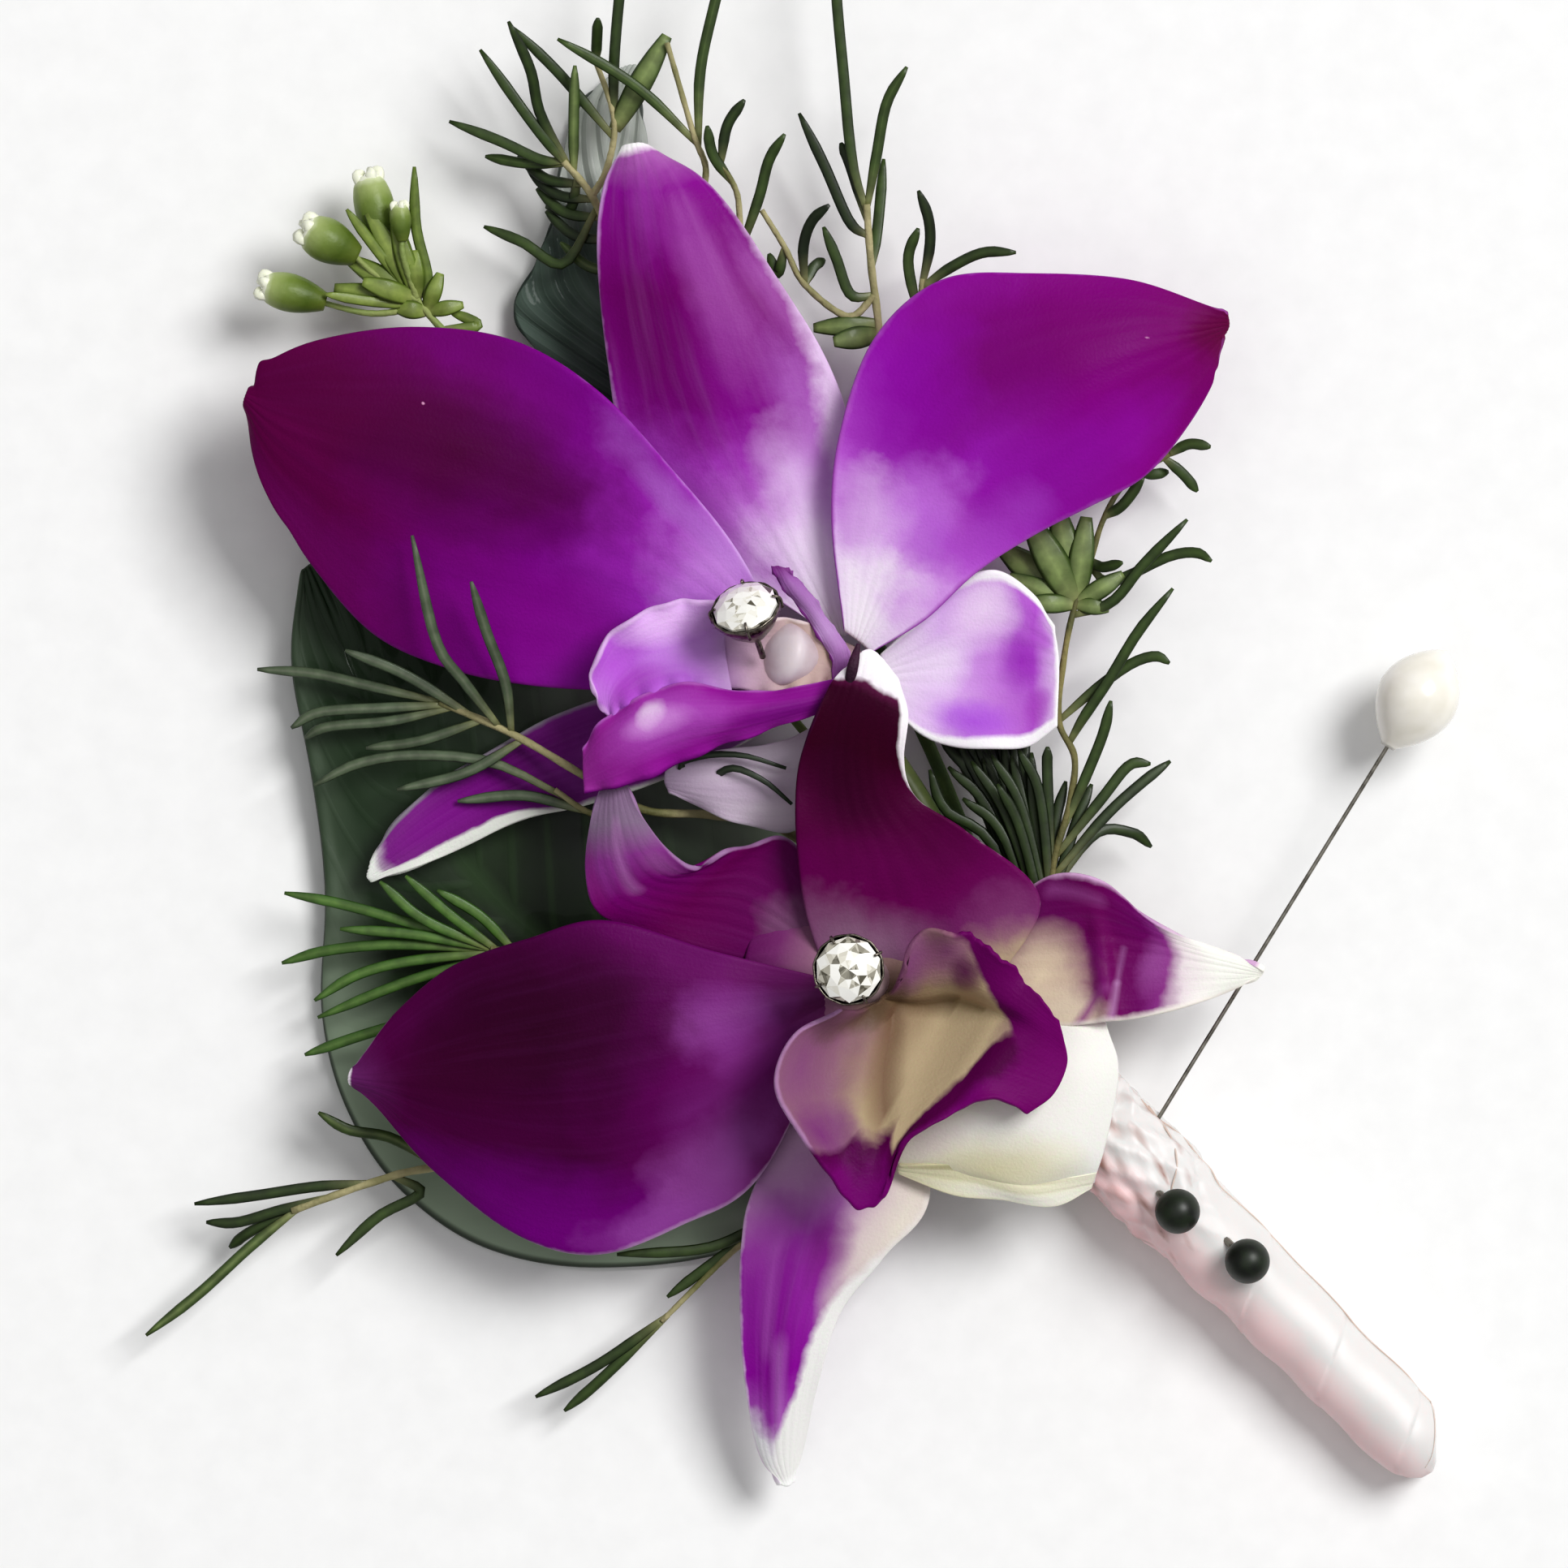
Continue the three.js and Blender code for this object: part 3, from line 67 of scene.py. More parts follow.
def put(tree, kind, inputs=None, stops=None, **settings):
    """Adds one node with its settings, its input values or links, and a ramp's stops."""
    node = tree.nodes.new("ShaderNode" + kind)
    for name, value in settings.items():
        setattr(node, name, value)
    for socket, value in (inputs or {}).items():
        if isinstance(value, bpy.types.NodeSocket):
            tree.links.new(value, node.inputs[socket])
        else:
            node.inputs[socket].default_value = value
    if stops:
        ramp = node.color_ramp
        while len(ramp.elements) < len(stops):
            ramp.elements.new(0.5)
        for element, (place, shade) in zip(ramp.elements, stops):
            element.position = place
            element.color = colour(shade) if isinstance(shade, str) else (shade, shade, shade, 1)
    return node


def finish_tree(name):
    material = bpy.data.materials.new(name)
    material.use_nodes = True
    material.node_tree.nodes.clear()
    return material, material.node_tree


def smooth_line(points, t):
    """Points at t (0 to 1) on the uniform Catmull-Rom curve through some points."""
    points = np.asarray(points, float)
    t = np.asarray(t, float)
    padded = np.concatenate([[2 * points[0] - points[1]], points, [2 * points[-1] - points[-2]]])
    place = np.clip(t, 0, 1) * (len(points) - 1)
    i = np.minimum(place.astype(int), len(points) - 2)
    w = (place - i).reshape(t.shape + (1,) * (points.ndim - 1))
    a, b, c, d = (padded[i + k] for k in range(4))
    return 0.5 * (2 * b + (c - a) * w + (2 * a - 5 * b + 4 * c - d) * w ** 2 + (3 * b - a - 3 * c + d) * w ** 3)


def blade_grid(rails, along, across):
    """A grid of points on the surface through the rails, with u from base to tip and v across."""
    u, v = np.linspace(0, 1, along + 1), np.linspace(0, 1, across + 1)
    lines = np.stack([smooth_line(rail, u) for rail in rails])
    return u, v, np.stack([smooth_line(lines[:, i], v) for i in range(along + 1)])


def grid_normals(grid):
    normals = np.cross(np.gradient(grid, axis=0), np.gradient(grid, axis=1))
    normals /= np.linalg.norm(normals, axis=2, keepdims=True) + 1e-12
    return normals if normals[..., 2].mean() > 0 else -normals


def new_piece(name, vertices, faces, finish, node, slot, smooth=True):
    mesh = bpy.data.meshes.new(name)
    mesh.from_pydata([tuple(p) for p in np.asarray(vertices) * MM], [], faces)
    mesh.materials.append(finish)
    if smooth:
        mesh.polygons.foreach_set("use_smooth", [True] * len(mesh.polygons))
    mesh.update()
    piece = bpy.data.objects.new(name, mesh)
    bpy.context.scene.collection.objects.link(piece)
    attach(piece, "root")
    if node:
        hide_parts(node)
    return piece


def leaf_of(name, rails, finish, node, slot, along=44, across=26, thickness=0.42, relief=None, edge=None):
    """A thin leaf or petal: a grid with relief along its normal, given its thickness by Solidify."""
    u, v, grid = blade_grid(rails, along, across)
    uu, vv = np.meshgrid(u, v, indexing="ij")
    if edge is not None:
        grid = grid + edge(uu, vv)[..., None] * np.gradient(grid, axis=1) * across * 0.5 * np.sign(vv - 0.5)[..., None]
    if relief is not None:
        grid = grid + grid_normals(grid) * relief(uu, vv)[..., None]
    row = across + 1
    faces = [(i * row + j, (i + 1) * row + j, (i + 1) * row + j + 1, i * row + j + 1)
             for i in range(along) for j in range(across)]
    piece = new_piece(name, grid.reshape(-1, 3), faces, finish, node, slot)
    if piece.data.polygons[len(faces) // 2].normal.z < 0:
        piece.data.flip_normals()
    layer = piece.data.uv_layers.new(name="blade")
    spots = np.stack([uu, vv], axis=2).reshape(-1, 2)
    corners = np.array([loop.vertex_index for loop in piece.data.loops])
    layer.data.foreach_set("uv", spots[corners].ravel())
    shell = piece.modifiers.new("thickness", "SOLIDIFY")
    shell.thickness = thickness * MM
    shell.offset = 0
    smoothing = piece.modifiers.new("rounded edge", "SUBSURF")
    smoothing.levels = smoothing.render_levels = 1
    return piece


def leaf_cuticle(name, face, dark, pale, ribs, rib_slant, gloss, margin, tip):
    """Waxy leaf: netted side veins, a pale midrib, and a cuticle that gives a soft broken sheen."""
    material, tree = finish_tree(name)
    at = put(tree, "TexCoord")
    uv = put(tree, "SeparateXYZ", {"Vector": at.outputs["UV"]})
    middle = put(tree, "Math", {0: uv.outputs["Y"], 1: 0.5}, operation="SUBTRACT")
    off = put(tree, "Math", {0: middle.outputs[0]}, operation="ABSOLUTE")
    slanted = put(tree, "Math", {0: off.outputs[0], 1: -rib_slant, 2: uv.outputs["X"]}, operation="MULTIPLY_ADD")
    spread = put(tree, "CombineXYZ", {"X": slanted.outputs[0]})
    veins = put(tree, "TexWave", {"Vector": spread.outputs[0], "Scale": ribs, "Distortion": 0.6,
                                  "Detail": 2.0, "Detail Scale": 3.0}, wave_type="BANDS", bands_direction="X")
    vein_line = put(tree, "ValToRGB", {"Fac": veins.outputs["Fac"]}, stops=[(0.0, 0.5), (0.16, 0.1), (0.5, 0.0)])
    midrib = put(tree, "ValToRGB", {"Fac": off.outputs[0]}, stops=[(0.0, 0.8), (0.014, 0.5), (0.03, 0.0)])
    lines = put(tree, "Math", {0: vein_line.outputs[0], 1: midrib.outputs[0]}, operation="MAXIMUM")
    rim = put(tree, "ValToRGB", {"Fac": off.outputs[0]}, stops=[(0.485, 0.0), (0.493, 0.7), (0.5, 0.9)])
    mottle = put(tree, "TexNoise", {"Vector": at.outputs["Object"], "Scale": 90.0, "Detail": 6.0})
    ground = put(tree, "ValToRGB", {"Fac": mottle.outputs["Fac"]}, stops=[(0.3, dark), (0.5, face), (0.72, pale)])
    veined = put(tree, "MixRGB", {"Fac": lines.outputs[0], "Color1": ground.outputs[0], "Color2": colour(pale)})
    # The outer band takes the margin colour; on the backing leaf that pale band is painted sheen along its open edges.
    outer = put(tree, "ValToRGB", {"Fac": off.outputs[0]}, stops=[(0.26, 0.0), (0.42, 0.9)])
    bordered = put(tree, "MixRGB", {"Fac": outer.outputs[0], "Color1": veined.outputs[0], "Color2": colour(margin)})
    outward = put(tree, "ValToRGB", {"Fac": uv.outputs["X"]}, stops=[(0.56, 0.0), (0.74, 0.9)])
    tipped = put(tree, "MixRGB", {"Fac": outward.outputs[0], "Color1": bordered.outputs[0], "Color2": colour(tip)})
    rimmed = put(tree, "MixRGB", {"Fac": rim.outputs[0], "Color1": tipped.outputs[0], "Color2": colour(dark)})
    cells = put(tree, "TexVoronoi", {"Vector": at.outputs["Object"], "Scale": 1600.0})
    height = put(tree, "Math", {0: cells.outputs["Distance"], 1: 0.12, 2: lines.outputs[0]}, operation="MULTIPLY_ADD")
    bump = put(tree, "Bump", {"Height": height.outputs[0], "Strength": 0.3, "Distance": 0.00018})
    worn = put(tree, "ValToRGB", {"Fac": mottle.outputs["Fac"]}, stops=[(0.3, gloss), (0.7, gloss + 0.2)])
    skin = put(tree, "BsdfPrincipled", {"Base Color": rimmed.outputs[0], "Roughness": worn.outputs[0],
                                        "Normal": bump.outputs[0], "IOR": 1.42, "Coat Weight": 0.12})
    put(tree, "OutputMaterial", {"Surface": skin.outputs[0]})
    return material


# The backing leaf's very dark face colours are painted shade from the blooms over it; its pale grey-green margin is
# painted sheen.
backing_cuticle = leaf_cuticle("backing_leaf_cuticle", "#16280c", "#0b160a", "#2c4620", 5.0, 0.55, 0.5, "#a3b49c", "#22381e")
backing_rails = [
    [[13, -25, 1.4], [6, -32, 1.2], [-4, -37.8, 0.9], [-14, -39.3, 0.6], [-22, -38, 0.45], [-28, -34, 0.4],
     [-31.8, -28.4, 0.6], [-33.6, -21.6, 1], [-33.3, -13, 1.6], [-34.2, -5, 2.2], [-35.6, 3, 3], [-34.9, 9.6, 3.4]],
    [[13.2, -24.2, 1.4], [7.4, -24.8, 1.6], [0.6, -24.2, 1.8], [-6.4, -22.6, 1.9], [-12.8, -19.8, 2],
     [-17.8, -16.6, 2.1], [-21.8, -13, 2.3], [-25, -9, 2.6], [-27.6, -5, 2.9], [-29.8, -0.6, 3.2],
     [-31.8, 4, 3.4], [-34.4, 10, 3.5]],
    [[13.4, -23.4, 1.4], [9.6, -19.6, 1.5], [5.6, -15, 1.5], [1.6, -10, 1.5], [-2.6, -5, 1.6], [-7, -0.4, 1.8],
     [-11.6, 3.8, 2], [-16.4, 7.4, 2.3], [-21.2, 9.8, 2.7], [-26, 11.2, 3.1], [-30.6, 11.4, 3.4], [-33.9, 10.3, 3.5]],
]
leaf_of("backing_leaf_blade", backing_rails, backing_cuticle, "backing_leaf", "leaf_green", along=76, across=34,
        thickness=0.5, relief=lambda u, v: 0.28 * np.exp(-((v - 0.035) / 0.02) ** 2)
        - 0.2 * np.exp(-((v - 0.5) / 0.02) ** 2) + 0.05 * np.sin(2 * math.pi * (11 * (u - 0.55 * np.abs(v - 0.5)))))


# Upper leaf: a narrower leaf behind the upper bloom's top sepal, darker and more ribbed.
# Its stalk and that of the backing leaf are smooth green rods that run into the bundle.
upper_leaf_cuticle = leaf_cuticle("upper_leaf_cuticle", "#43554a", "#1e2a24", "#66786c", 9.0, 0.8, 0.66, "#56665c", "#c4c9c2")
upper_leaf_rails = [
    [[-4.6, 17, 1.9], [-13, 20.6, 1.8], [-19, 25.4, 1.8], [-20.2, 28, 1.7], [-18.7, 31, 1.6], [-17.4, 34.4, 1.3],
     [-16.9, 38, 0.9], [-15.4, 42.4, 0.6], [-12.4, 44.6, 0.45]],
    [[-4, 17.6, 2], [-8.4, 21.4, 2.2], [-12, 25.4, 2.3], [-13.4, 28.4, 2.2], [-13.6, 31.4, 2], [-13.6, 34.8, 1.7],
     [-13.6, 38.2, 1.2], [-13.2, 42, 0.8], [-11.8, 45, 0.5]],
    [[-3.4, 18.2, 1.9], [-3.6, 22.6, 1.8], [-5.6, 26.4, 1.8], [-7.4, 29.4, 1.7], [-8.8, 32.2, 1.6],
     [-9.8, 35.4, 1.4], [-10.6, 38.6, 1], [-11.2, 41.8, 0.7], [-11.2, 44.8, 0.5]],
]
leaf_of("upper_leaf_blade", upper_leaf_rails, upper_leaf_cuticle, "upper_leaf", "leaf_green", along=60, across=24,
        thickness=0.45, relief=lambda u, v: 0.3 * np.sin(2 * math.pi * (7 * (u - 0.8 * np.abs(v - 0.5)))))


def rod_mesh(points, radius, profile, sides=8, steps=20, flat=1.0, roll=0.0, crease=0.0):
    """Vertices and faces of a tapered rod or a needle round a smooth line, in millimetres."""
    t = np.linspace(0, 1, steps + 1)
    line = smooth_line(points, t)
    along = np.gradient(line, axis=0)
    along /= np.linalg.norm(along, axis=1, keepdims=True)
    side = np.cross(along, [0, 0, 1])
    side /= np.linalg.norm(side, axis=1, keepdims=True) + 1e-9
    rise = np.cross(side, along)
    angle = roll + np.arange(sides) * 2 * math.pi / sides
    across, up = np.cos(angle), flat * np.sin(angle)
    up = up - crease * (up > 0) * (1 - np.abs(across)) * flat
    r = radius * np.array([profile(s) for s in t])
    rings = line[:, None] + r[:, None, None] * (across[None, :, None] * side[:, None] + up[None, :, None] * rise[:, None])
    vertices = np.concatenate([rings.reshape(-1, 3), line[:1], line[-1:]])
    faces = [(i * sides + j, i * sides + (j + 1) % sides, (i + 1) * sides + (j + 1) % sides, (i + 1) * sides + j)
             for i in range(steps) for j in range(sides)]
    foot, tip = len(vertices) - 2, len(vertices) - 1
    faces += [((j + 1) % sides, j, foot) for j in range(sides)]
    faces += [(steps * sides + j, steps * sides + (j + 1) % sides, tip) for j in range(sides)]
    return vertices, faces


def many(shapes):
    """Several vertex and face lists as one."""
    vertices, faces, start = [], [], 0
    for some, loops in shapes:
        vertices.append(some)
        faces += [tuple(start + k for k in loop) for loop in loops]
        start += len(some)
    return np.concatenate(vertices), faces


def stem_bark(name, green, straw, ridge_mm, gloss=0.55):
    """Young stem: fine ridges along it and blotches where the green skin has dried to straw."""
    material, tree = finish_tree(name)
    at = put(tree, "TexCoord")
    blotch = put(tree, "TexNoise", {"Vector": at.outputs["Object"], "Scale": 260.0, "Detail": 5.0})
    ground = put(tree, "ValToRGB", {"Fac": blotch.outputs["Fac"]}, stops=[(0.38, green), (0.62, straw)])
    ridges = put(tree, "TexNoise", {"Vector": at.outputs["Object"], "Scale": 1 / (ridge_mm * MM), "Detail": 2.0})
    bump = put(tree, "Bump", {"Height": ridges.outputs["Fac"], "Strength": 0.6, "Distance": 0.0002})
    dry = put(tree, "ValToRGB", {"Fac": blotch.outputs["Fac"]}, stops=[(0.4, gloss), (0.6, gloss + 0.2)])
    skin = put(tree, "BsdfPrincipled", {"Base Color": ground.outputs[0], "Roughness": dry.outputs[0],
                                        "Normal": bump.outputs[0], "IOR": 1.42})
    put(tree, "OutputMaterial", {"Surface": skin.outputs[0]})
    return material


leaf_stalk_skin = stem_bark("leaf_stalk_skin", "#3c5a34", "#566b3c", 0.5)

# The wrap's own frame, as the stems leave it: along the wrap, across it, and above its axis
WRAP_TOP = (21.0, -29.6)
DIAGONAL = math.sqrt(0.5)
WRAP_RADII = [[-6, 3.75], [4, 3.75], [8, 3.5], [14, 3.3], [25, 3.05], [37.6, 2.85]]


def on_wrap(s, across, above):
    r = np.interp(s, [a for a, _ in WRAP_RADII], [b for _, b in WRAP_RADII])
    return [WRAP_TOP[0] + DIAGONAL * (s + across), WRAP_TOP[1] + DIAGONAL * (across - s),
            r * math.cos(math.pi / 16) + above]


def out_of(slot_at):
    return [on_wrap(-1.8, *slot_at), on_wrap(-4.3, *slot_at)]


def stalk(name, points, radius, profile, finish, node, slot, **more):
    return new_piece(name, *rod_mesh(points, radius, profile, **more), finish, node, slot)


stalk("backing_leaf_stalk", [*out_of((-1.35, -1.68)), [14.4, -24.4, 1.5], [10, -23, 1.5], [4, -21.4, 1.6]], 0.55,
      lambda s: 1 - 0.25 * s, leaf_stalk_skin, "backing_leaf", "leaf_green", sides=12, steps=30)
stalk("upper_leaf_stalk", [*out_of((1.35, -1.68)), [15.6, -20, 1.8], [9, -3, 1.9], [1, 12, 2], [-5, 21, 2]], 0.55,
      lambda s: 1 - 0.25 * s, leaf_stalk_skin, "upper_leaf", "leaf_green", sides=12, steps=40)


# Needle sprigs: rosemary-like sprigs behind and between the blooms, each a thin woody stem with
# narrow needles. A needle is flat, folded along its midrib, dark green above and paler at its foot.
def needle_skin(name, dark, fresh, pale):
    material, tree = finish_tree(name)
    at = put(tree, "TexCoord")
    tint = put(tree, "Attribute", attribute_name="tint")
    reach = put(tree, "Attribute", attribute_name="reach")
    shade = put(tree, "ValToRGB", {"Fac": tint.outputs["Fac"]}, stops=[(0.0, dark), (0.6, fresh), (1.0, pale)])
    foot = put(tree, "ValToRGB", {"Fac": reach.outputs["Fac"]}, stops=[(0.0, 0.75), (0.16, 0.2), (0.3, 0.0)])
    footed = put(tree, "MixRGB", {"Fac": foot.outputs[0], "Color1": shade.outputs[0], "Color2": colour("#9a9a6a")})
    speckle = put(tree, "TexNoise", {"Vector": at.outputs["Object"], "Scale": 900.0, "Detail": 4.0})
    spots = put(tree, "ValToRGB", {"Fac": speckle.outputs["Fac"]}, stops=[(0.35, 0.75), (0.65, 1.15)])
    face = put(tree, "MixRGB", {"Fac": 1.0, "Color1": footed.outputs[0], "Color2": spots.outputs[0]},
               blend_type="MULTIPLY")
    bump = put(tree, "Bump", {"Height": speckle.outputs["Fac"], "Strength": 0.35, "Distance": 0.0001})
    skin = put(tree, "BsdfPrincipled", {"Base Color": face.outputs[0], "Roughness": 0.46, "Normal": bump.outputs[0],
                                        "IOR": 1.42, "Coat Weight": 0.08})
    put(tree, "OutputMaterial", {"Surface": skin.outputs[0]})
    return material


needle_green = needle_skin("needle_skin_dark", "#18240e", "#3e5222", "#84945c")
woody_stem = stem_bark("woody_stem", "#737348", "#b2aa82", 0.4, gloss=0.65)
chance = np.random.default_rng(7)


class Sprig:
    """Stems that branch and needles that root on them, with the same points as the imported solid."""

    def __init__(self, name, slot_at, path, radius=0.36):
        self.name, self.stems, self.rods, self.needles, self.reaches, self.tints = name, [], [], [], [], []
        self.grow([*out_of(slot_at), *path], radius)

    def grow(self, path, radius):
        self.stems.append(path)
        self.rods.append(rod_mesh(path, radius, lambda s: (1 - 0.3 * s) * (1 + 0.06 * math.sin(90 * s)),
                                  sides=8, steps=8 * len(path)))

    def root_on(self, stem, at):
        return list(smooth_line(self.stems[stem], np.array([at]))[0])

    def branch(self, stem, at, *path):
        self.grow([self.root_on(stem, at), *path], 0.27)

    def blade(self, points, width, profile, flat, tint):
        shape = rod_mesh(points, width / 2, profile, sides=8, steps=14, flat=flat, crease=0.7)
        self.needles.append(shape)
        self.reaches += [min(1, i / (14 * 8)) for i in range(15 * 8)] + [0, 1]
        ridge = [tint + 0.24 * (k == 2) - 0.2 * (k in (0, 4)) for k in range(8)]
        self.tints += [min(1, max(0, shade)) for shade in ridge * 15 + [tint, tint]]

    def needle(self, stem, at, tip_height, *plan, tint=None):
        root = self.root_on(stem, at)
        points = [[x, y, root[2] + (tip_height - root[2]) * (i + 1) / len(plan)] for i, (x, y) in enumerate(plan)]
        tint = 0.35 + 0.22 * chance.standard_normal() if tint is None else tint
        self.blade([root, *points], 0.76, lambda s: min(0.55 + 1.6 * s, 1) * math.sqrt(max(0.02, min(1, (1.02 - s) * 4.5))),
                   0.42, tint)

    def leaflet(self, stem, at, width, tip):
        root = self.root_on(stem, at)
        middle = [(root[k] + tip[k]) / 2 + (0.4 if k == 2 else 0) for k in range(3)]
        self.blade([root, middle, tip], width, lambda s: 0.3 + 0.7 * math.sin(math.pi * min(0.93, 0.1 + 0.83 * s)), 0.3, 0.75)

    def finish(self, node, needle_finish, stem_finish, slot="needle_green"):
        new_piece(f"{self.name}_stems", *many(self.rods), stem_finish, node, slot)
        piece = new_piece(f"{self.name}_needles", *many(self.needles), needle_finish, node, slot)
        for label, values in (("reach", self.reaches), ("tint", self.tints)):
            piece.data.attributes.new(label, "FLOAT", "POINT").data.foreach_set("value", values)
        return piece


top_left = Sprig("needle_sprig_top_left", (1.1, -0.42), [
    [11.2, -11, 3.9], [0, 8, 4.6], [-8, 22, 5], [-12.6, 31, 5.2], [-14.6, 35.5, 5.4], [-16.6, 38, 5.8]])
top_left.branch(0, 0.86, [-13.6, 37.5, 5.2], [-13.1, 41, 5.6], [-14.6, 45.6, 6.2])
top_left.branch(0, 0.8, [-8.2, 33, 5.6], [-6.7, 37, 6.2], [-7.6, 40, 6.6], [-9.4, 46.2, 7.2])
top_left.branch(0, 0.74, [-5.4, 30, 6.2], [-4.4, 35, 6.6], [-5.9, 38.3, 7])
for needle in [
        (0, 1, 5.2, [-18.2, 38.1], [-21, 39.4], [-24.6, 40.8]), (0, 0.99, 4.2, [-19.4, 37.9], [-22.1, 38.4]),
        (0, 0.98, 7.5, [-18.6, 40.4], [-22.4, 45.7]), (0, 0.97, 9, [-18.2, 41.2], [-18.9, 44.3], [-20.4, 47.6]),
        (1, 0.55, 7.2, [-15.6, 42.6], [-17.4, 44.6], [-20.2, 47.3]), (0, 0.93, 3.6, [-16.2, 34.7], [-17.9, 34.9]),
        (0, 0.83, 4.2, [-16.6, 30.9], [-19.5, 32.4], [-22.2, 33.5]), (0, 0.95, 7.5, [-15.9, 40.5], [-15.8, 44.6]),
        (1, 0.95, 7.8, [-14.2, 47.9]), (1, 0.6, 8, [-13.1, 44.5], [-12.7, 49.5], [-12.1, 54.2]),
        (2, 0.7, 8.5, [-10.6, 42.4], [-13.4, 44.4], [-17.0, 46.4]), (2, 0.68, 8, [-7.1, 44], [-6.2, 48.4], [-4.6, 54.4]),
        (3, 0.8, 7.8, [-6.2, 38.4], [-6.6, 40.4]), (3, 0.95, 8, [-5.2, 40.4], [-4, 42.2]),
        (3, 0.45, 8.2, [-3, 35.4], [-2.3, 38], [-1.2, 39.8])]:
    top_left.needle(*needle)
top_left.leaflet(1, 0.6, 1.7, [-9.4, 46.7, 6.8])
for at in (0.7, 0.75, 0.8, 0.85, 0.9):
    x, y, _ = top_left.root_on(0, at)
    top_left.needle(0, at, 4, [x - 2.6, y + 0.4], [x - 4.6, y + 2.1])
top_left.finish("needle_sprig_top_left", needle_green, woody_stem)

top_middle = Sprig("needle_sprig_top_middle", (2.2, 0.05), [
    [15.4, -16, 4.4], [11.6, -2, 4.6], [8, 12, 4.8], [5.8, 22, 5], [5.3, 27, 5.2], [4.8, 31, 5.6], [4.5, 35, 6]])
top_middle.branch(0, 0.8, [3.2, 27.2, 5.4], [0.2, 29.4, 5.8], [-1.2, 32, 5.6], [-2.8, 34.6, 5.4])
top_middle.branch(0, 0.7, [7.6, 24, 5.6], [8.4, 29.8, 6])
for needle in [
        (0, 0.93, 7, [3.3, 33.8], [1.6, 37.6], [-0.2, 41.3]), (0, 0.98, 7.4, [3.5, 38], [2.9, 44], [2.4, 49.5], [2.2, 54.4]),
        (0, 0.96, 5.6, [3.4, 37.6], [2.7, 39.3]), (0, 0.99, 7.6, [5.2, 38.4], [5.9, 42], [7.3, 44.5]),
        (0, 0.86, 5, [5.3, 33.6], [5.7, 38.2]), (0, 0.8, 6.6, [3.4, 28.7], [2.4, 31.2], [1.5, 33.4]),
        (1, 0.5, 7.6, [0.1, 32], [0.7, 33.8], [1.9, 34.9]), (1, 0.5, 5, [0.8, 30.6], [1.6, 31.2]),
        (1, 0.75, 5, [-1.7, 30.2], [-2.3, 31.6]), (2, 0.8, 7, [7.4, 31], [8.1, 33.3]),
        (2, 0.95, 7.4, [8.9, 32], [8.8, 34], [8.1, 35.9]), (2, 0.95, 7, [10.4, 30.6], [12.6, 31.6], [14.9, 31.6])]:
    top_middle.needle(*needle)
top_middle.leaflet(0, 0.72, 1.6, [2.2, 25.4, 6.4])
top_middle.leaflet(0, 0.74, 1.4, [0.8, 26.4, 5.2])
top_middle.finish("needle_sprig_top_middle", needle_green, woody_stem)

right_sprig = Sprig("needle_sprig_right", (1.9, 1.1), [
    [17.9, -20, 5.9], [17.4, -12, 6.1], [18.6, -7, 6.1], [19, -3.6, 6], [17.9, -1, 6], [18.2, 3, 6.2],
    [18.9, 6.6, 6.2], [20, 9.8, 6], [21, 13, 5.6], [22.6, 15.6, 5.2], [25.6, 17.6, 5]], radius=0.27)
# Needles rooted low on the stem (at under 0.26) lie under the petals; their darker tint is painted shade.
for needle in [
        (0, 1, 5.4, [27, 18.3], [28.5, 18.1]), (0, 0.99, 4.4, [26.6, 16.2], [27.6, 15]),
        (0, 0.95, 4, [24.4, 16.2], [25.6, 16.4]), (0, 0.84, 6.6, [22.4, 14.1], [23.8, 16]),
        (0, 0.66, 8, [21.6, 7.3], [23.7, 9.8], [26.8, 13]),
        (0, 0.75, 7.6, [21.6, 8.7], [25.4, 10.4], [27.4, 10.7], [28.5, 10.1]), (0, 0.76, 8.2, [20.9, 9.7], [22.3, 10]),
        (0, 0.72, 5, [20.2, 7.6], [20.9, 7]), (0, 0.45, 8, [19.6, -0.8], [21.4, 1.9], [23.4, 5.2], [25.8, 8.2]),
        (0, 0.5, 6.6, [20.2, 1], [22.8, 2.9], [24.6, 3.5], [25.6, 3]), (0, 0.3, 7.2, [19.9, -4.6], [21, -1.8], [21.5, 0.4]),
        (0, 0.27, 6, [20.9, -6.4], [22.8, -4.1], [24.3, -4]), (0, 0.25, 4.8, [21, -7.8], [23.6, -5.4], [25.7, -3.8]),
        (0, 0.24, 4, [20.4, -8.9], [23, -8.8], [24.4, -9.8]), (0, 0.22, 6.8, [16.6, -6.4], [15.1, -3]),
        (0, 0.2, 6.6, [15.4, -7.4], [13.2, -3.4]), (0, 0.19, 6.4, [14.4, -8], [11.8, -3.8]),
        (0, 0.25, 6.8, [17.1, -5], [17.1, -2.8]), (0, 0.16, 6.2, [14.2, -9.4], [11.2, -6.4]),
        (0, 0.17, 7.2, [15.4, -9.2], [13.6, -5.4]), (0, 0.15, 5.6, [13.4, -8], [10.2, -4.2]),
        (0, 0.14, 5.4, [14.2, -8.4], [12.6, -3.6]), (0, 0.16, 5.8, [15.6, -7.8], [14.6, -3.4]),
        (0, 0.18, 5.6, [16.2, -7.6], [16, -3.2]), (0, 0.12, 6, [13.8, -10.4], [10, -7.2], [8.9, -4.4]),
        (0, 0.13, 5.2, [15.2, -10], [12.9, -7], [11.4, -3.4]), (0, 0.2, 5.4, [16.4, -8.2], [15.4, -5.6]),
        (0, 0.23, 5.4, [19, -8.4], [20.2, -5.4]), (0, 0.21, 5.2, [17.6, -8.8], [18.4, -5.2])]:
    right_sprig.needle(*needle, tint=0.12 if needle[1] < 0.26 else 0.34)
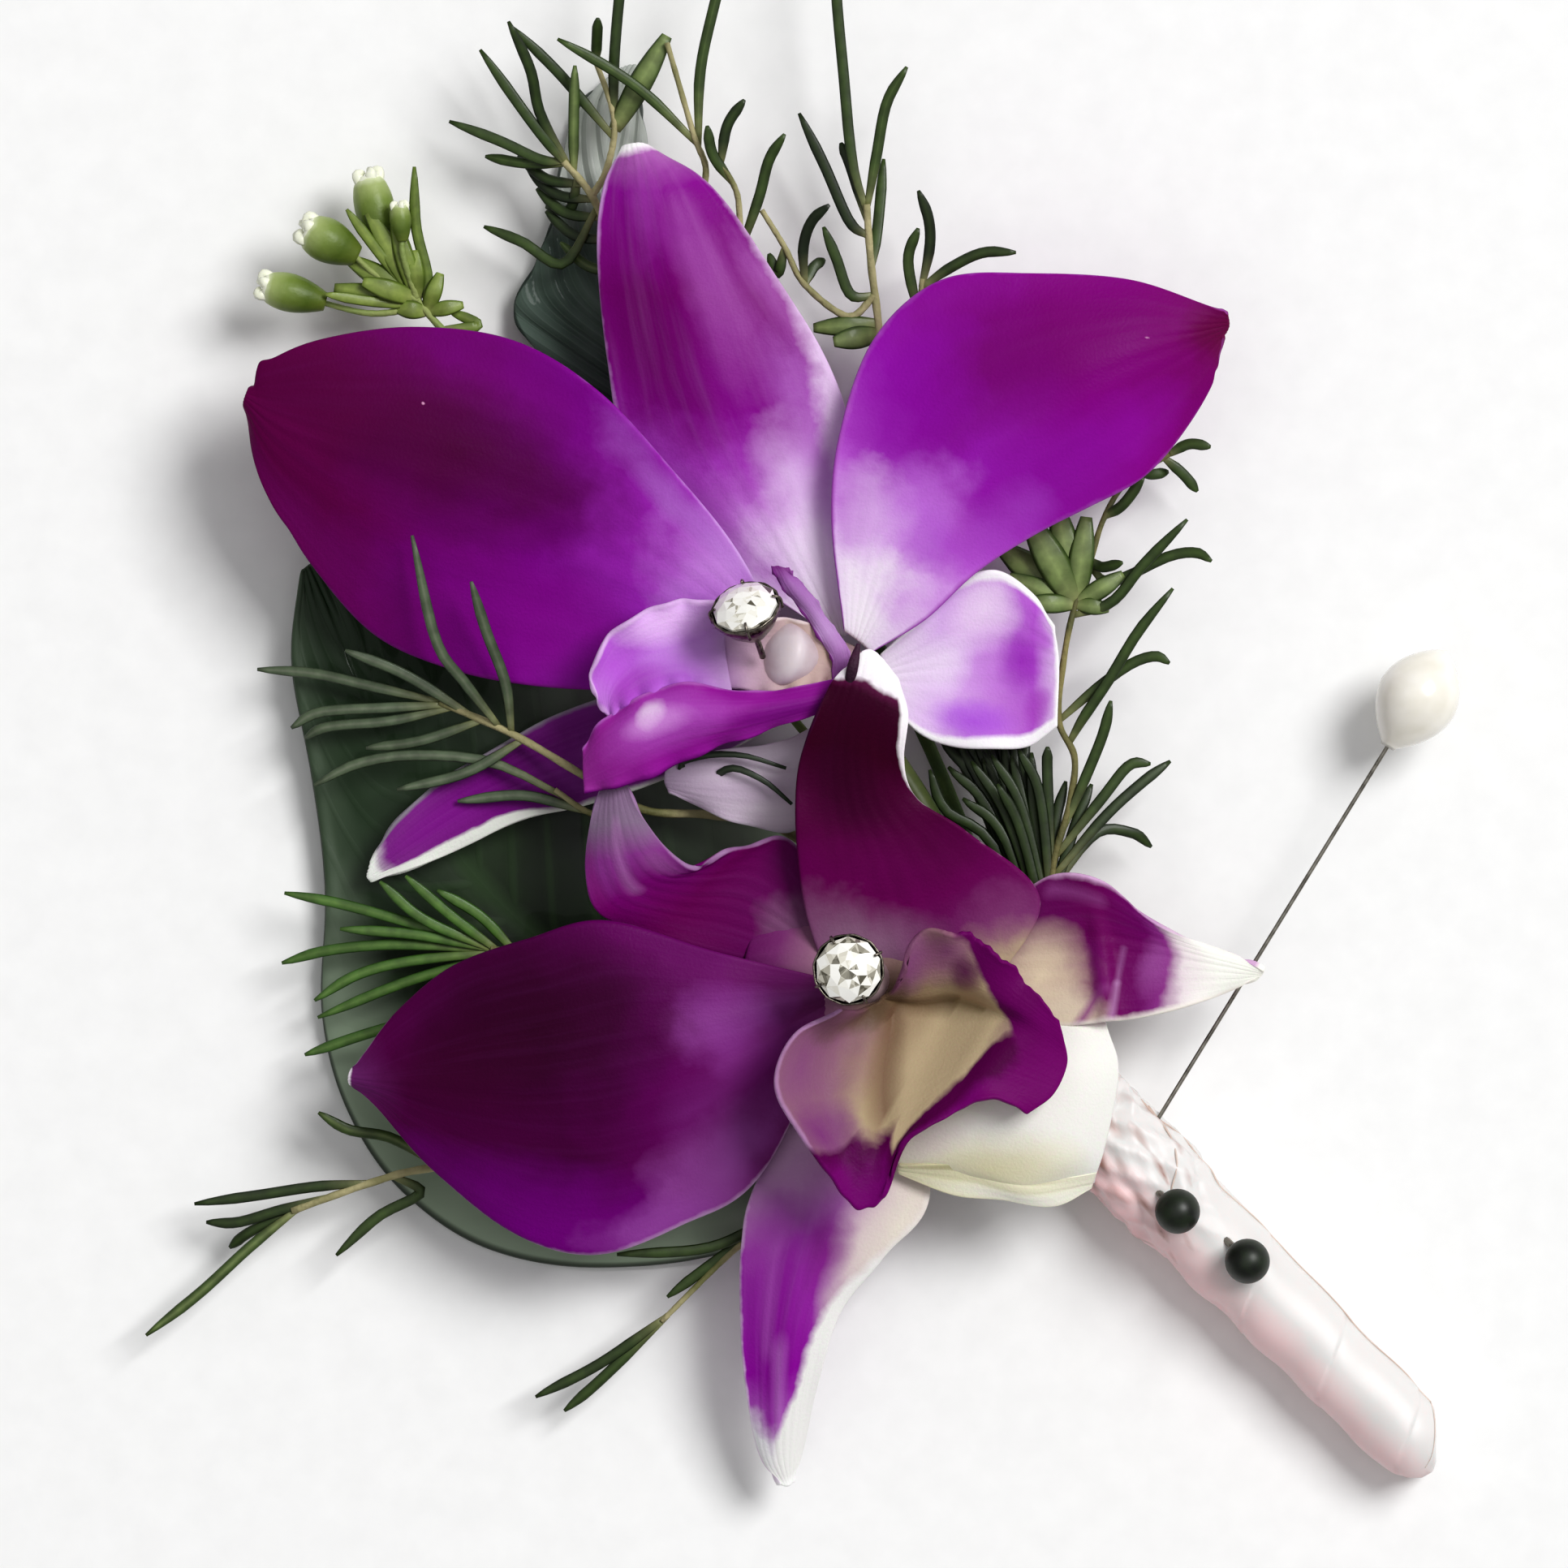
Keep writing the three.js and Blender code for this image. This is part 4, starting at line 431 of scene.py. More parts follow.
# A dense comb of needles under the petals, at the darkest tint as painted shade.
for k in range(22):
    x, y = 9.2 + 0.33 * k + 0.3 * math.sin(5 * k), 0.2 - 1.3 * (k % 3)
    right_sprig.needle(0, 0.12 + 0.012 * (k % 6), 4.2 + 0.5 * (k % 3), [(x + 15.5) / 2, (y - 10.5) / 2 - 0.5 * (k % 2)], [x, y], tint=0.0)
for width, tip in ((2.4, [14, 11, 5.4]), (2.3, [15.8, 13, 7.2]), (2.2, [17.8, 13.8, 6.6]), (1.8, [19.8, 13.2, 6.8]),
                   (1.4, [22.4, 9.2, 6.6]), (1.4, [15.5, 7.2, 6.8]), (1.2, [21.4, 6.8, 6.4]), (1.6, [14.4, 9, 6.2])):
    right_sprig.leaflet(0, 0.68, width, tip)
right_sprig.finish("needle_sprig_right", needle_green, stem_bark("olive_stem", "#4c5030", "#8c8456", 0.4, gloss=0.65))

left_sprig = Sprig("needle_sprig_left", (0, 0.05), [
    [7.6, -16, 4.8], [-0.6, -9, 5], [-6, -7.6, 5.4], [-11, -7.2, 6.6], [-15.2, -4.8, 7.7], [-20, -2, 7.4],
    [-25.2, 0.3, 6.6]])
left_sprig.branch(0, 0.66, [-12.4, -7.8, 6.6], [-14.8, -7.4, 7], [-17.2, -5.8, 7.2])
for needle in [
        (0, 1, 4.4, [-30, 1.4], [-34, 2.3], [-38, 2.6]), (0, 0.99, 5.6, [-29, -0.1], [-33.6, -0.4], [-35.6, -1.5]),
        (0, 0.98, 4.4, [-28.6, -1], [-33, -1.4], [-34.7, -2.2]), (1, 0.9, 5.6, [-21.6, -3.9], [-27, -3.4], [-31, -4], [-34, -5.5]),
        (0, 0.9, 13.6, [-23.4, 1.6], [-25.4, 4.6], [-27, 11.8]), (0, 0.88, 14, [-20.6, 1.6], [-21.9, 5.2], [-22.9, 8.6]),
        (0, 0.95, 7.4, [-27.6, 2.2], [-31.8, 3.9]), (0, 0.93, 5.2, [-26.6, -2.4], [-30.4, -2.9]),
        (0, 0.86, 6.4, [-23.4, -4.6], [-28.2, -5.8]), (1, 0.7, 6, [-19.4, -6.2], [-24, -6.6])]:
    left_sprig.needle(*needle, tint=0.5)
for points in ([[-7.2, -3.5, 9.7], [-4.2, -3.4, 10.1], [-1.1, -4.3, 9.9]], [[-4.8, -4.3, 9.9], [-2.6, -5.2, 10.1], [-0.7, -6.8, 9.7]]):
    root = left_sprig.root_on(0, 0.42)
    left_sprig.blade([root, [points[0][0] - 1, points[0][1] - 1, 8.2], *points], 0.6, lambda s: 1 - 0.6 * s * s, 0.5, 0.0)
left_sprig.finish("needle_sprig_left", needle_skin("needle_skin_grey", "#263022", "#56644c", "#8a8c7c"), woody_stem)

lower_left = Sprig("needle_sprig_lower_left", (-1.1, -0.42), [
    [8, -21.4, 3.9], [-4, -20, 4.8], [-13, -18.2, 5.4], [-21.7, -16.9, 5.6]])
lower_left.branch(0, 0.85, [-22, -20.6, 5.2], [-27, -21.8, 5])
for needle in [
        (0, 1, 4.8, [-27, -15.2], [-32, -13.8], [-36.1, -13]), (0, 0.99, 5.6, [-27, -15.9], [-32.2, -15.5]),
        (0, 0.98, 4, [-28, -16.6], [-33, -17], [-36.3, -17.9]), (0, 0.97, 4.8, [-27, -17.7], [-31, -18.7], [-34, -20.5]),
        (0, 0.96, 3.8, [-27, -19], [-33.8, -21.7]), (0, 1, 6.6, [-26.4, -14.8], [-29.4, -12.2]),
        (0, 0.99, 7.2, [-24.4, -14.6], [-27.6, -11.8]), (0, 0.96, 6.6, [-22.4, -14.6], [-25.4, -12.8]),
        (1, 0.9, 4, [-30.6, -22.9], [-34.7, -24.3])]:
    lower_left.needle(*needle, tint=0.62)
lower_left.finish("needle_sprig_lower_left", needle_skin("needle_skin_fresh", "#1e3612", "#3f6224", "#6a8846"), woody_stem)

bottom_sprig = Sprig("needle_sprig_bottom", (-2.2, 0.05), [
    [10, -28.8, 4.7], [-4, -29.6, 4.8], [-16, -31, 5], [-26, -32.2, 4.6], [-30, -33.2, 4.4], [-35.6, -35.2, 4]])
bottom_sprig.branch(0, 0.3, [1, -33.4, 5], [-4.6, -37.8, 4.6], [-9.8, -42.9, 4])
for needle in [
        (0, 0.86, 4.2, [-34, -33.5], [-38, -34.1], [-42.4, -34.7]), (0, 0.93, 3.4, [-36.6, -35.2], [-39.4, -36], [-41.6, -36]),
        (0, 0.99, 3.4, [-38.4, -37.6], [-42, -40.9], [-45.8, -43.9]), (0, 0.98, 2.6, [-38.4, -36.6], [-40, -37.8]),
        (0, 0.8, 4, [-26.6, -33.9], [-29.6, -35.6], [-32.5, -38.3]), (0, 0.7, 5.6, [-28.6, -30.1], [-31.6, -29.5], [-33.7, -28.3]),
        (1, 0.98, 3.4, [-14, -45.8], [-18.6, -48.2]), (1, 0.97, 2.8, [-12.8, -45.8], [-14.6, -47.5], [-16.6, -49.2]),
        (1, 0.6, 4.2, [-6.2, -38.8], [-9.4, -41.2]), (1, 0.5, 5.4, [-6.4, -37.7], [-12.9, -38.2])]:
    bottom_sprig.needle(*needle)
bottom_sprig.finish("needle_sprig_bottom", needle_green, woody_stem)


# Waxflower: a spray of green, vase-shaped buds on thin stalks, each with a rim of white petal tips,
# and a few narrow leaves. Waxy skin, a little see-through at the rim.
def bud_skin():
    material, tree = finish_tree("waxflower_bud_skin")
    at = put(tree, "TexCoord")
    reach = put(tree, "Attribute", attribute_name="reach")
    rough_edge = put(tree, "TexNoise", {"Vector": at.outputs["Object"], "Scale": 700.0, "Detail": 4.0})
    moved = put(tree, "Math", {0: rough_edge.outputs["Fac"], 1: 0.18, 2: reach.outputs["Fac"]}, operation="MULTIPLY_ADD")
    cup = put(tree, "ValToRGB", {"Fac": moved.outputs[0]}, stops=[
        (0.0, "#6c7a34"), (0.35, "#566a26"), (0.66, "#778a42"), (0.9, "#a2b072"), (0.99, "#d4dcb4"), (1.0, "#eef0dc")])
    ribs = put(tree, "TexNoise", {"Vector": at.outputs["Object"], "Scale": 1800.0, "Detail": 3.0})
    bump = put(tree, "Bump", {"Height": ribs.outputs["Fac"], "Strength": 0.4, "Distance": 0.00012})
    skin = put(tree, "BsdfPrincipled", {"Base Color": cup.outputs[0], "Roughness": 0.42, "IOR": 1.42,
                                        "Normal": bump.outputs[0], "Subsurface Weight": 0.08,
                                        "Subsurface Radius": (0.001, 0.001, 0.0004)})
    put(tree, "OutputMaterial", {"Surface": skin.outputs[0]})
    return material


waxflower = Sprig("waxflower", (0, -1.68), [
    [12, -17, 3.2], [2, -4, 4.2], [-10, 10, 4.8], [-19, 20, 5.2], [-25, 26.2, 5.2], [-27, 28.6, 5.2]])
waxflower.branch(0, 0.95, [-30, 27.4, 5.4], [-34, 28.3, 5.6])
waxflower.branch(0, 0.98, [-29.6, 30, 5.6], [-31.8, 32, 6])
waxflower.branch(0, 1, [-28.3, 31, 5], [-29.3, 33, 4.8])
waxflower.branch(0, 0.99, [-27.8, 31.4, 6.4], [-27.8, 33, 6.6])
waxflower.needle(0, 0.93, 6.4, [-26.1, 30], [-26.9, 33.5], [-27, 37.6], tint=0.5)
waxflower.needle(0, 0.98, 7, [-29.3, 31.4], [-31.7, 34.6], tint=0.7)
waxflower.needle(0, 0.96, 6.8, [-29.8, 28.2], [-33.2, 28.7], tint=0.8)
waxflower.needle(0, 0.86, 4.8, [-22.6, 26.6], [-24.6, 27.6], tint=0.6)
for width, tip in ((1.7, [-31.6, 31.2, 5.4]), (1.5, [-30.2, 34.4, 6]), (1.6, [-29.2, 35.4, 5.2]), (1.3, [-32.6, 29.2, 5.6]),
                   (1.4, [-28.4, 33.6, 6.2]), (1.5, [-30.6, 29.6, 6.4]), (1.2, [-27, 31.8, 6])):
    waxflower.leaflet(0, 0.985, width, tip)
for width, tip in ((1.2, [-25.2, 30.2, 5.6]), (1.3, [-28.4, 27.8, 5.4]), (1.1, [-23.6, 28, 5.4])):
    waxflower.leaflet(0, 0.92, width, tip)
waxflower.finish("waxflower_spray", needle_skin("waxflower_leaf_skin", "#38481a", "#64782f", "#8a9a4e"),
                 stem_bark("waxflower_stalk_skin", "#7d9350", "#9aa566", 0.5, gloss=0.5), slot="bud_green")
BUDS = [([-33.2, 28.2, 5.6], [-37.9, 29.4, 6], 1.35), ([-31, 31.4, 5.9], [-34.9, 33.4, 6.6], 1.55),
        ([-29.1, 31.8, 4.9], [-30.4, 37.4, 4.6], 1.4), ([-27.8, 32.4, 6.6], [-28.1, 35.2, 6.8], 0.75)]
bud_shapes, bud_reach = [], []
for foot, head, radius in BUDS:
    foot, head = np.array(foot, float), np.array(head, float)
    cup = rod_mesh([foot, (foot + head) / 2, foot + (head - foot) * 0.93], radius,
                   lambda s: (0.3 + 0.7 * math.sin(math.pi * min(0.78, 0.08 + 0.75 * s))) * (1 - 0.25 * max(0, s - 0.9) / 0.1),
                   sides=20, steps=24)
    bud_shapes.append(cup)
    bud_reach += [0.95 * (i // 20) / 24 for i in range(25 * 20)] + [0, 1]
    axis = (head - foot) / np.linalg.norm(head - foot)
    side = np.cross(axis, [0, 0, 1])
    side /= np.linalg.norm(side)
    for k in range(5):
        out = math.cos(1.257 * k) * side + math.sin(1.257 * k) * np.cross(side, axis)
        base = head - axis * 0.9 + out * radius * 0.45
        bud_shapes.append(rod_mesh([base, base + axis * 0.7 + out * 0.2, head - axis * 0.1 + out * radius * 0.12],
                                   radius * 0.3, lambda s: math.sqrt(max(0.05, 1 - s ** 2)), sides=8, steps=8, flat=0.5))
        bud_reach += [1.0] * (9 * 8 + 2)
waxflower_buds = new_piece("waxflower_buds", *many(bud_shapes), bud_skin(), "waxflower_spray", "bud_green")
waxflower_buds.data.attributes.new("reach", "FLOAT", "POINT").data.foreach_set("value", bud_reach)




# Upper bloom: a dendrobium orchid, its petals fresh and fleshy. The skin is velvety: tiny domed cells
# scatter the light, so the purple is deep face on and paler along the rims; that paler rim is painted
# light, drawn as pale hems. White shows at the base.
def petal_skin(name, along, blushes=(), hems=(), streak=("#e8c8ec", 0.16, 34), creases=(), gloss=0.46, glow=0.1):
    """A petal's colour from base to tip, with blushes at (u, v), creases from (u, v) to (u, v), hems and streaks; some
    blushes, creases and hems are painted light and shade.
    """
    material, tree = finish_tree(name)
    at = put(tree, "TexCoord")
    drift = put(tree, "TexNoise", {"Vector": at.outputs["Object"], "Scale": 170.0, "Detail": 4.5, "Roughness": 0.58})
    moved = put(tree, "VectorMath", {0: drift.outputs["Color"], 1: (0.2, 0.18, 0), 2: at.outputs["UV"]},
                operation="MULTIPLY_ADD")
    centred = put(tree, "VectorMath", {0: moved.outputs[0], 1: (0.1, 0.09, 0)}, operation="SUBTRACT")
    place = put(tree, "SeparateXYZ", {"Vector": centred.outputs[0]})
    face = put(tree, "ValToRGB", {"Fac": place.outputs["X"]}, stops=along).outputs[0]
    for u, v, reach_u, reach_v, shade, amount in blushes:
        off = put(tree, "VectorMath", {0: centred.outputs[0], 1: (u, v, 0)}, operation="SUBTRACT")
        scaled = put(tree, "VectorMath", {0: off.outputs[0], 1: (1 / reach_u, 1 / reach_v, 0)}, operation="MULTIPLY")
        far = put(tree, "VectorMath", {0: scaled.outputs[0]}, operation="LENGTH")
        soft = put(tree, "ValToRGB", {"Fac": far.outputs["Value"]}, stops=[(0.0, amount), (0.45, amount * 0.75), (1.0, 0.0)])
        face = put(tree, "MixRGB", {"Fac": soft.outputs[0], "Color1": face, "Color2": colour(shade)}).outputs[0]
    tone, amount, count = streak
    swayed = put(tree, "VectorMath", {0: drift.outputs["Color"], 1: (0.05, 0.03, 0), 2: at.outputs["UV"]},
                 operation="MULTIPLY_ADD")
    drawn = put(tree, "VectorMath", {0: swayed.outputs[0], 1: (2.2, count, 0)}, operation="MULTIPLY")
    fibres = put(tree, "TexNoise", {"Vector": drawn.outputs[0], "Scale": 1.0, "Detail": 4.0})
    fibre_fac = put(tree, "ValToRGB", {"Fac": fibres.outputs["Fac"]}, stops=[(0.48, 0.0), (0.85, 0.4 * amount)])
    face = put(tree, "MixRGB", {"Fac": fibre_fac.outputs[0], "Color1": face, "Color2": colour(tone)}).outputs[0]
    for start, end, reach, shade, amount in creases:
        run = (2 * (end[0] - start[0]), end[1] - start[1], 0)
        square = run[0] ** 2 + run[1] ** 2
        wide = put(tree, "VectorMath", {0: at.outputs["UV"], 1: (2, 1, 0)}, operation="MULTIPLY")
        away = put(tree, "VectorMath", {0: wide.outputs[0], 1: (2 * start[0], start[1], 0)}, operation="SUBTRACT")
        share = put(tree, "VectorMath", {0: away.outputs[0], 1: tuple(c / square for c in run)}, operation="DOT_PRODUCT")
        held = put(tree, "Math", {0: share.outputs["Value"], 1: 1.0}, operation="MULTIPLY", use_clamp=True)
        nearest = put(tree, "VectorMath", {0: held.outputs[0], 1: run}, operation="MULTIPLY")
        gap = put(tree, "VectorMath", {0: away.outputs[0], 1: nearest.outputs[0]}, operation="DISTANCE")
        soft = put(tree, "ValToRGB", {"Fac": gap.outputs["Value"]}, stops=[(0.0, amount), (reach * 0.4, amount * 0.6), (reach, 0.0)])
        face = put(tree, "MixRGB", {"Fac": soft.outputs[0], "Color1": face, "Color2": colour(shade)}).outputs[0]
    still = put(tree, "SeparateXYZ", {"Vector": at.outputs["UV"]})
    ragged = put(tree, "TexNoise", {"Vector": at.outputs["Object"], "Scale": 900.0, "Detail": 3.0})
    for side, widths, shade, softness in hems:
        across, down = ("Y", "X") if side in ("low", "high") else ("X", "Y")
        width = put(tree, "ValToRGB", {"Fac": still.outputs[down]}, stops=widths)
        inward = still.outputs[across]
        if side in ("high", "tip"):
            inward = put(tree, "Math", {0: 1.0, 1: inward}, operation="SUBTRACT").outputs[0]
        jag = put(tree, "Math", {0: ragged.outputs["Fac"], 1: softness, 2: inward}, operation="MULTIPLY_ADD")
        room = put(tree, "Math", {0: width.outputs[0], 1: jag.outputs[0]}, operation="SUBTRACT")
        hem = put(tree, "Math", {0: room.outputs[0], 1: 1 / softness, 2: 0.5}, operation="MULTIPLY_ADD", use_clamp=True)
        face = put(tree, "MixRGB", {"Fac": hem.outputs[0], "Color1": face, "Color2": colour(shade)}).outputs[0]
    cells = put(tree, "TexNoise", {"Vector": at.outputs["Object"], "Scale": 5000.0, "Detail": 2.0})
    height = put(tree, "Math", {0: fibres.outputs["Fac"], 1: 1.4, 2: cells.outputs["Fac"]}, operation="MULTIPLY_ADD")
    bump = put(tree, "Bump", {"Height": height.outputs[0], "Strength": 0.25, "Distance": 0.00012})
    shine = put(tree, "ValToRGB", {"Fac": drift.outputs["Fac"]}, stops=[(0.35, gloss - 0.06), (0.65, gloss + 0.08)])
    skin = put(tree, "BsdfPrincipled", {
        "Base Color": face, "Roughness": shine.outputs[0], "Normal": bump.outputs[0], "IOR": 1.4,
        "Specular IOR Level": 0.1, "Sheen Weight": 0.02, "Sheen Roughness": 0.4, "Sheen Tint": colour("#d880e0"), "Subsurface Weight": glow,
        "Subsurface Radius": (0.0012, 0.0005, 0.0012)})
    put(tree, "OutputMaterial", {"Surface": skin.outputs[0]})
    return material


def petal_relief(wave, turns, phase, rib=0.014, ribs=9, rim=0.25):
    """Slow waves, fine ribs from base to tip, and a rim that waves a little more."""
    def height(u, v):
        off = np.abs(2 * v - 1)
        slow = wave * np.sin(2 * math.pi * (turns * u + 0.4 * v) + phase)
        rims = rim * off ** 4 * np.sin(2 * math.pi * 2.6 * turns * u + 2 * phase) * np.minimum(1, 4 * u)
        return slow * np.minimum(1, 3 * u) + rims + rib * np.sin(2 * math.pi * ribs * v) * (1 - off) * 2
    return height


def notched(bites):
    """Small notches and bumps in a petal's rim: (u, reach, amount, which side: 0 the first rail's, 1 the last's)."""
    def edge(u, v):
        off = np.abs(2 * v - 1)
        return sum(amount * np.exp(-((u - at) / reach) ** 2) * off ** 5 * ((v > 0.5) == bool(side))
                   for at, reach, amount, side in bites)
    return edge


# Upper bloom, top sepal: a tall oval, white at its base, streaked, with a white tip.
upper_bloom_dorsal_sepal_rails = [
    [[2, 4.9, 8.2], [-6, 10.6, 9], [-11.8, 17, 9.2], [-13.6, 24, 9.4], [-14.3, 31, 9.2], [-13.8, 36.2, 8.6],
     [-12.3, 38.9, 8]],
    [[2.6, 4.8, 8.1], [-1.4, 12, 9.4], [-4.6, 18, 10.2], [-7, 24.4, 10.5], [-9, 31, 10.2], [-10.2, 36, 9.4],
     [-11.4, 39.1, 8.3]],
    [[3.2, 4.9, 8.2], [3.4, 12.6, 8.8], [3.4, 19, 9], [1.4, 24.8, 9.2], [-2.6, 31, 9], [-6.6, 36.3, 8.5],
     [-10.4, 38.8, 8]],
]
upper_bloom_dorsal_sepal_skin = petal_skin(
    "upper_bloom_dorsal_sepal_skin", [(0.0, "#f3eaf4"), (0.1, "#dcc0e6"), (0.2, "#c07cd0"), (0.3, "#a03cb0"), (0.4, "#86088c"),
                                      (0.6, "#76006e"), (0.82, "#8a1290"), (0.95, "#b06ab4"), (1.0, "#f2ecf0")],
    blushes=[(0.2, 0.8, 0.22, 0.34, "#e4ccec", 0.85), (0.22, 0.16, 0.16, 0.2, "#9a3aa8", 0.7), (0.62, 0.66, 0.22, 0.2, "#b060b8", 0.6), (0.8, 0.4, 0.12, 0.2, "#a448ac", 0.55), (0.48, 0.25, 0.2, 0.3, "#68005e", 0.7),
             (0.1, 0.6, 0.16, 0.4, "#f2eaf4", 0.6), (0.36, 0.88, 0.22, 0.2, "#bc78cc", 0.7), (0.62, 0.92, 0.12, 0.12, "#b468bc", 0.6)],
    hems=[("low", [(0.0, 0.05), (0.6, 0.015), (1.0, 0.09)], "#c79ad0", 0.03), ("high", [(0.0, 0.09), (0.34, 0.16), (0.6, 0.06), (1.0, 0.03)], "#dcc0e2", 0.08),
          ("tip", [(0.0, 0.07), (0.5, 0.05), (1.0, 0.03)], "#faf6f8", 0.04)],
    streak=("#dcaee2", 0.22, 12))
leaf_of("upper_bloom_dorsal_sepal_blade", upper_bloom_dorsal_sepal_rails, upper_bloom_dorsal_sepal_skin, "upper_bloom_dorsal_sepal", "upper_petal", along=72, across=36,
        relief=petal_relief(0.3, 1.1, 0.4))

# Upper bloom, left petal: the broadest, nearly black-purple towards its end.
upper_bloom_left_petal_rails = [
    [[-1.8, 5.8, 10.6], [-4.6, 11, 11.8], [-8.6, 16, 12.6], [-14, 21.8, 12.6], [-20, 25.4, 12.2],
     [-27, 26.4, 11.6], [-33.4, 25.5, 11], [-37.2, 23.8, 10.4], [-38.3, 22, 10]],
    [[-2.2, 4, 10.2], [-5.8, 6.6, 11], [-10.6, 9.4, 11.6], [-16, 12, 12], [-21.6, 14, 12.4], [-27, 15.8, 12.4],
     [-32, 17.4, 11.8], [-36.2, 19.4, 10.8], [-38.6, 21.4, 10]],
    [[-2.4, 2.4, 10], [-6.8, 1.2, 9.8], [-12.4, 1, 9.2], [-18.6, 1.4, 8.4], [-24.6, 2.6, 8.2], [-29.8, 5, 8.4],
     [-34, 10, 9], [-37.4, 15.6, 9.6], [-38.5, 20.8, 9.9]],
]
# The tiny pale blush last in the list is a painted glint.
upper_bloom_left_petal_skin = petal_skin(
    "upper_bloom_left_petal_skin", [(0.0, "#ecdcf2"), (0.1, "#cc94e0"), (0.22, "#a030b4"), (0.4, "#80068a"), (0.75, "#66004e"), (1.0, "#620046")],
    blushes=[(0.55, 0.38, 0.3, 0.28, "#4c0034", 0.9), (0.8, 0.2, 0.25, 0.25, "#580040", 0.7), (0.42, 0.85, 0.26, 0.25, "#8c0c94", 0.85),
          (0.7, 0.9, 0.3, 0.2, "#720a68", 0.6), (0.24, 0.35, 0.14, 0.3, "#a02cb4", 0.6), (0.14, 0.3, 0.16, 0.4, "#cc90e0", 0.7), (0.2, 0.1, 0.2, 0.14, "#b478cc", 0.6), (0.64, 0.28, 0.007, 0.01, "#e8a8d0", 1.0)],
    hems=[("low", [(0.0, 0.06), (0.2, 0.02), (0.36, 0.0), (1.0, 0.0)], "#cba0dc", 0.03), ("high", [(0.0, 0.03), (0.5, 0.015), (1.0, 0.01)], "#8c2c90", 0.03)],
    streak=("#a040a8", 0.12, 14))
leaf_of("upper_bloom_left_petal_blade", upper_bloom_left_petal_rails, upper_bloom_left_petal_skin, "upper_bloom_left_petal", "upper_petal", along=90, across=40,
        relief=petal_relief(0.35, 0.9, 1.1), edge=notched(((0.955, 0.03, -0.3, 0), (0.9, 0.03, 0.12, 0), (0.8, 0.02, -0.03, 1))))

# Upper bloom, right petal: dark plum along its upper edge, lilac and white at its foot.
upper_bloom_right_petal_rails = [
    [[2.9, 5.2, 10.2], [2, 13, 11.6], [2.6, 19, 12], [5, 25.6, 12], [9.6, 29.6, 11.8], [16, 30, 11.6],
     [22.6, 29.6, 11.2], [27.6, 27.9, 10.8], [29.5, 27.2, 10.4]],
    [[3.9, 4.5, 9.9], [6, 10, 10.8], [8.6, 14, 11.4], [11.8, 17.8, 12.2], [15.4, 20.6, 12.8], [19, 22.6, 13],
     [23, 24.2, 12.4], [26.8, 25.4, 11.4], [29.7, 26.4, 10.4]],
    [[4.8, 3.7, 9.9], [8.6, 6, 10.4], [12, 9.2, 10.2], [16, 11.8, 10], [20, 14, 10], [23.8, 16.1, 10],
     [26.6, 19, 10], [28.6, 22.4, 10.2], [29.4, 25.6, 10.3]],
]
# The tiny pale blush at (0.79, 0.42) is a painted glint.
upper_bloom_right_petal_skin = petal_skin(
    "upper_bloom_right_petal_skin", [(0.0, "#efe6f2"), (0.1, "#dab4e6"), (0.22, "#c06cd6"), (0.36, "#9a1eae"), (0.62, "#880386"), (0.9, "#7a0668"), (1.0, "#6c1046")],
    blushes=[(0.6, 0.3, 0.34, 0.3, "#78006c", 0.85), (0.3, 0.2, 0.22, 0.3, "#9008a4", 0.85), (0.55, 0.8, 0.3, 0.22, "#9414a4", 0.8), (0.2, 0.66, 0.08, 0.26, "#a23cc0", 0.6),
          (0.05, 0.4, 0.1, 0.5, "#f2ecf2", 0.9), (0.17, 0.3, 0.1, 0.26, "#dcb8e8", 0.7), (0.24, 0.5, 0.12, 0.26, "#c47cdc", 0.6), (0.3, 0.88, 0.16, 0.22, "#a848c0", 0.9),
          (0.95, 0.5, 0.1, 0.6, "#64083e", 0.7), (0.79, 0.42, 0.007, 0.009, "#d8a0c8", 0.7)],
    hems=[("low", [(0.0, 0.04), (0.3, 0.03), (0.5, 0.01), (1.0, 0.012)], "#b05cc0", 0.03), ("high", [(0.0, 0.04), (0.6, 0.02), (1.0, 0.01)], "#a858b8", 0.03)],
    streak=("#c070d0", 0.08, 10))
leaf_of("upper_bloom_right_petal_blade", upper_bloom_right_petal_rails, upper_bloom_right_petal_skin, "upper_bloom_right_petal", "upper_petal", along=90, across=40,
        relief=petal_relief(0.35, 1.0, 2.4), edge=notched(((0.95, 0.016, -0.12, 1), (0.9, 0.012, -0.07, 1), (0.97, 0.02, 0.1, 0))))

# Upper bloom, left side sepal: narrow, curled, with a thick white lower margin and tip.
upper_bloom_left_sepal_rails = [
    [[-1.4, 1.2, 8.4], [-7, 2, 8.6], [-12.6, 1, 8.2], [-17.4, -0.8, 7], [-21.6, -3, 6], [-25, -5, 5.4],
     [-28.2, -7.8, 5], [-30, -10.8, 4.6]],
    [[-1.2, 0.2, 8.2], [-6.4, -1, 8], [-11.6, -2.4, 7], [-16.4, -4, 5.8], [-20.6, -5.6, 5.2], [-24.4, -7.6, 5],
     [-28, -10, 5], [-30.4, -11.8, 4.6]],
    [[-1, -0.8, 8], [-6, -3.6, 6.8], [-11, -5.6, 5.8], [-15.4, -7, 5.2], [-19.2, -7.8, 5], [-23.2, -9.6, 5],
     [-27, -11.3, 5], [-30.2, -12.2, 4.6]],
]
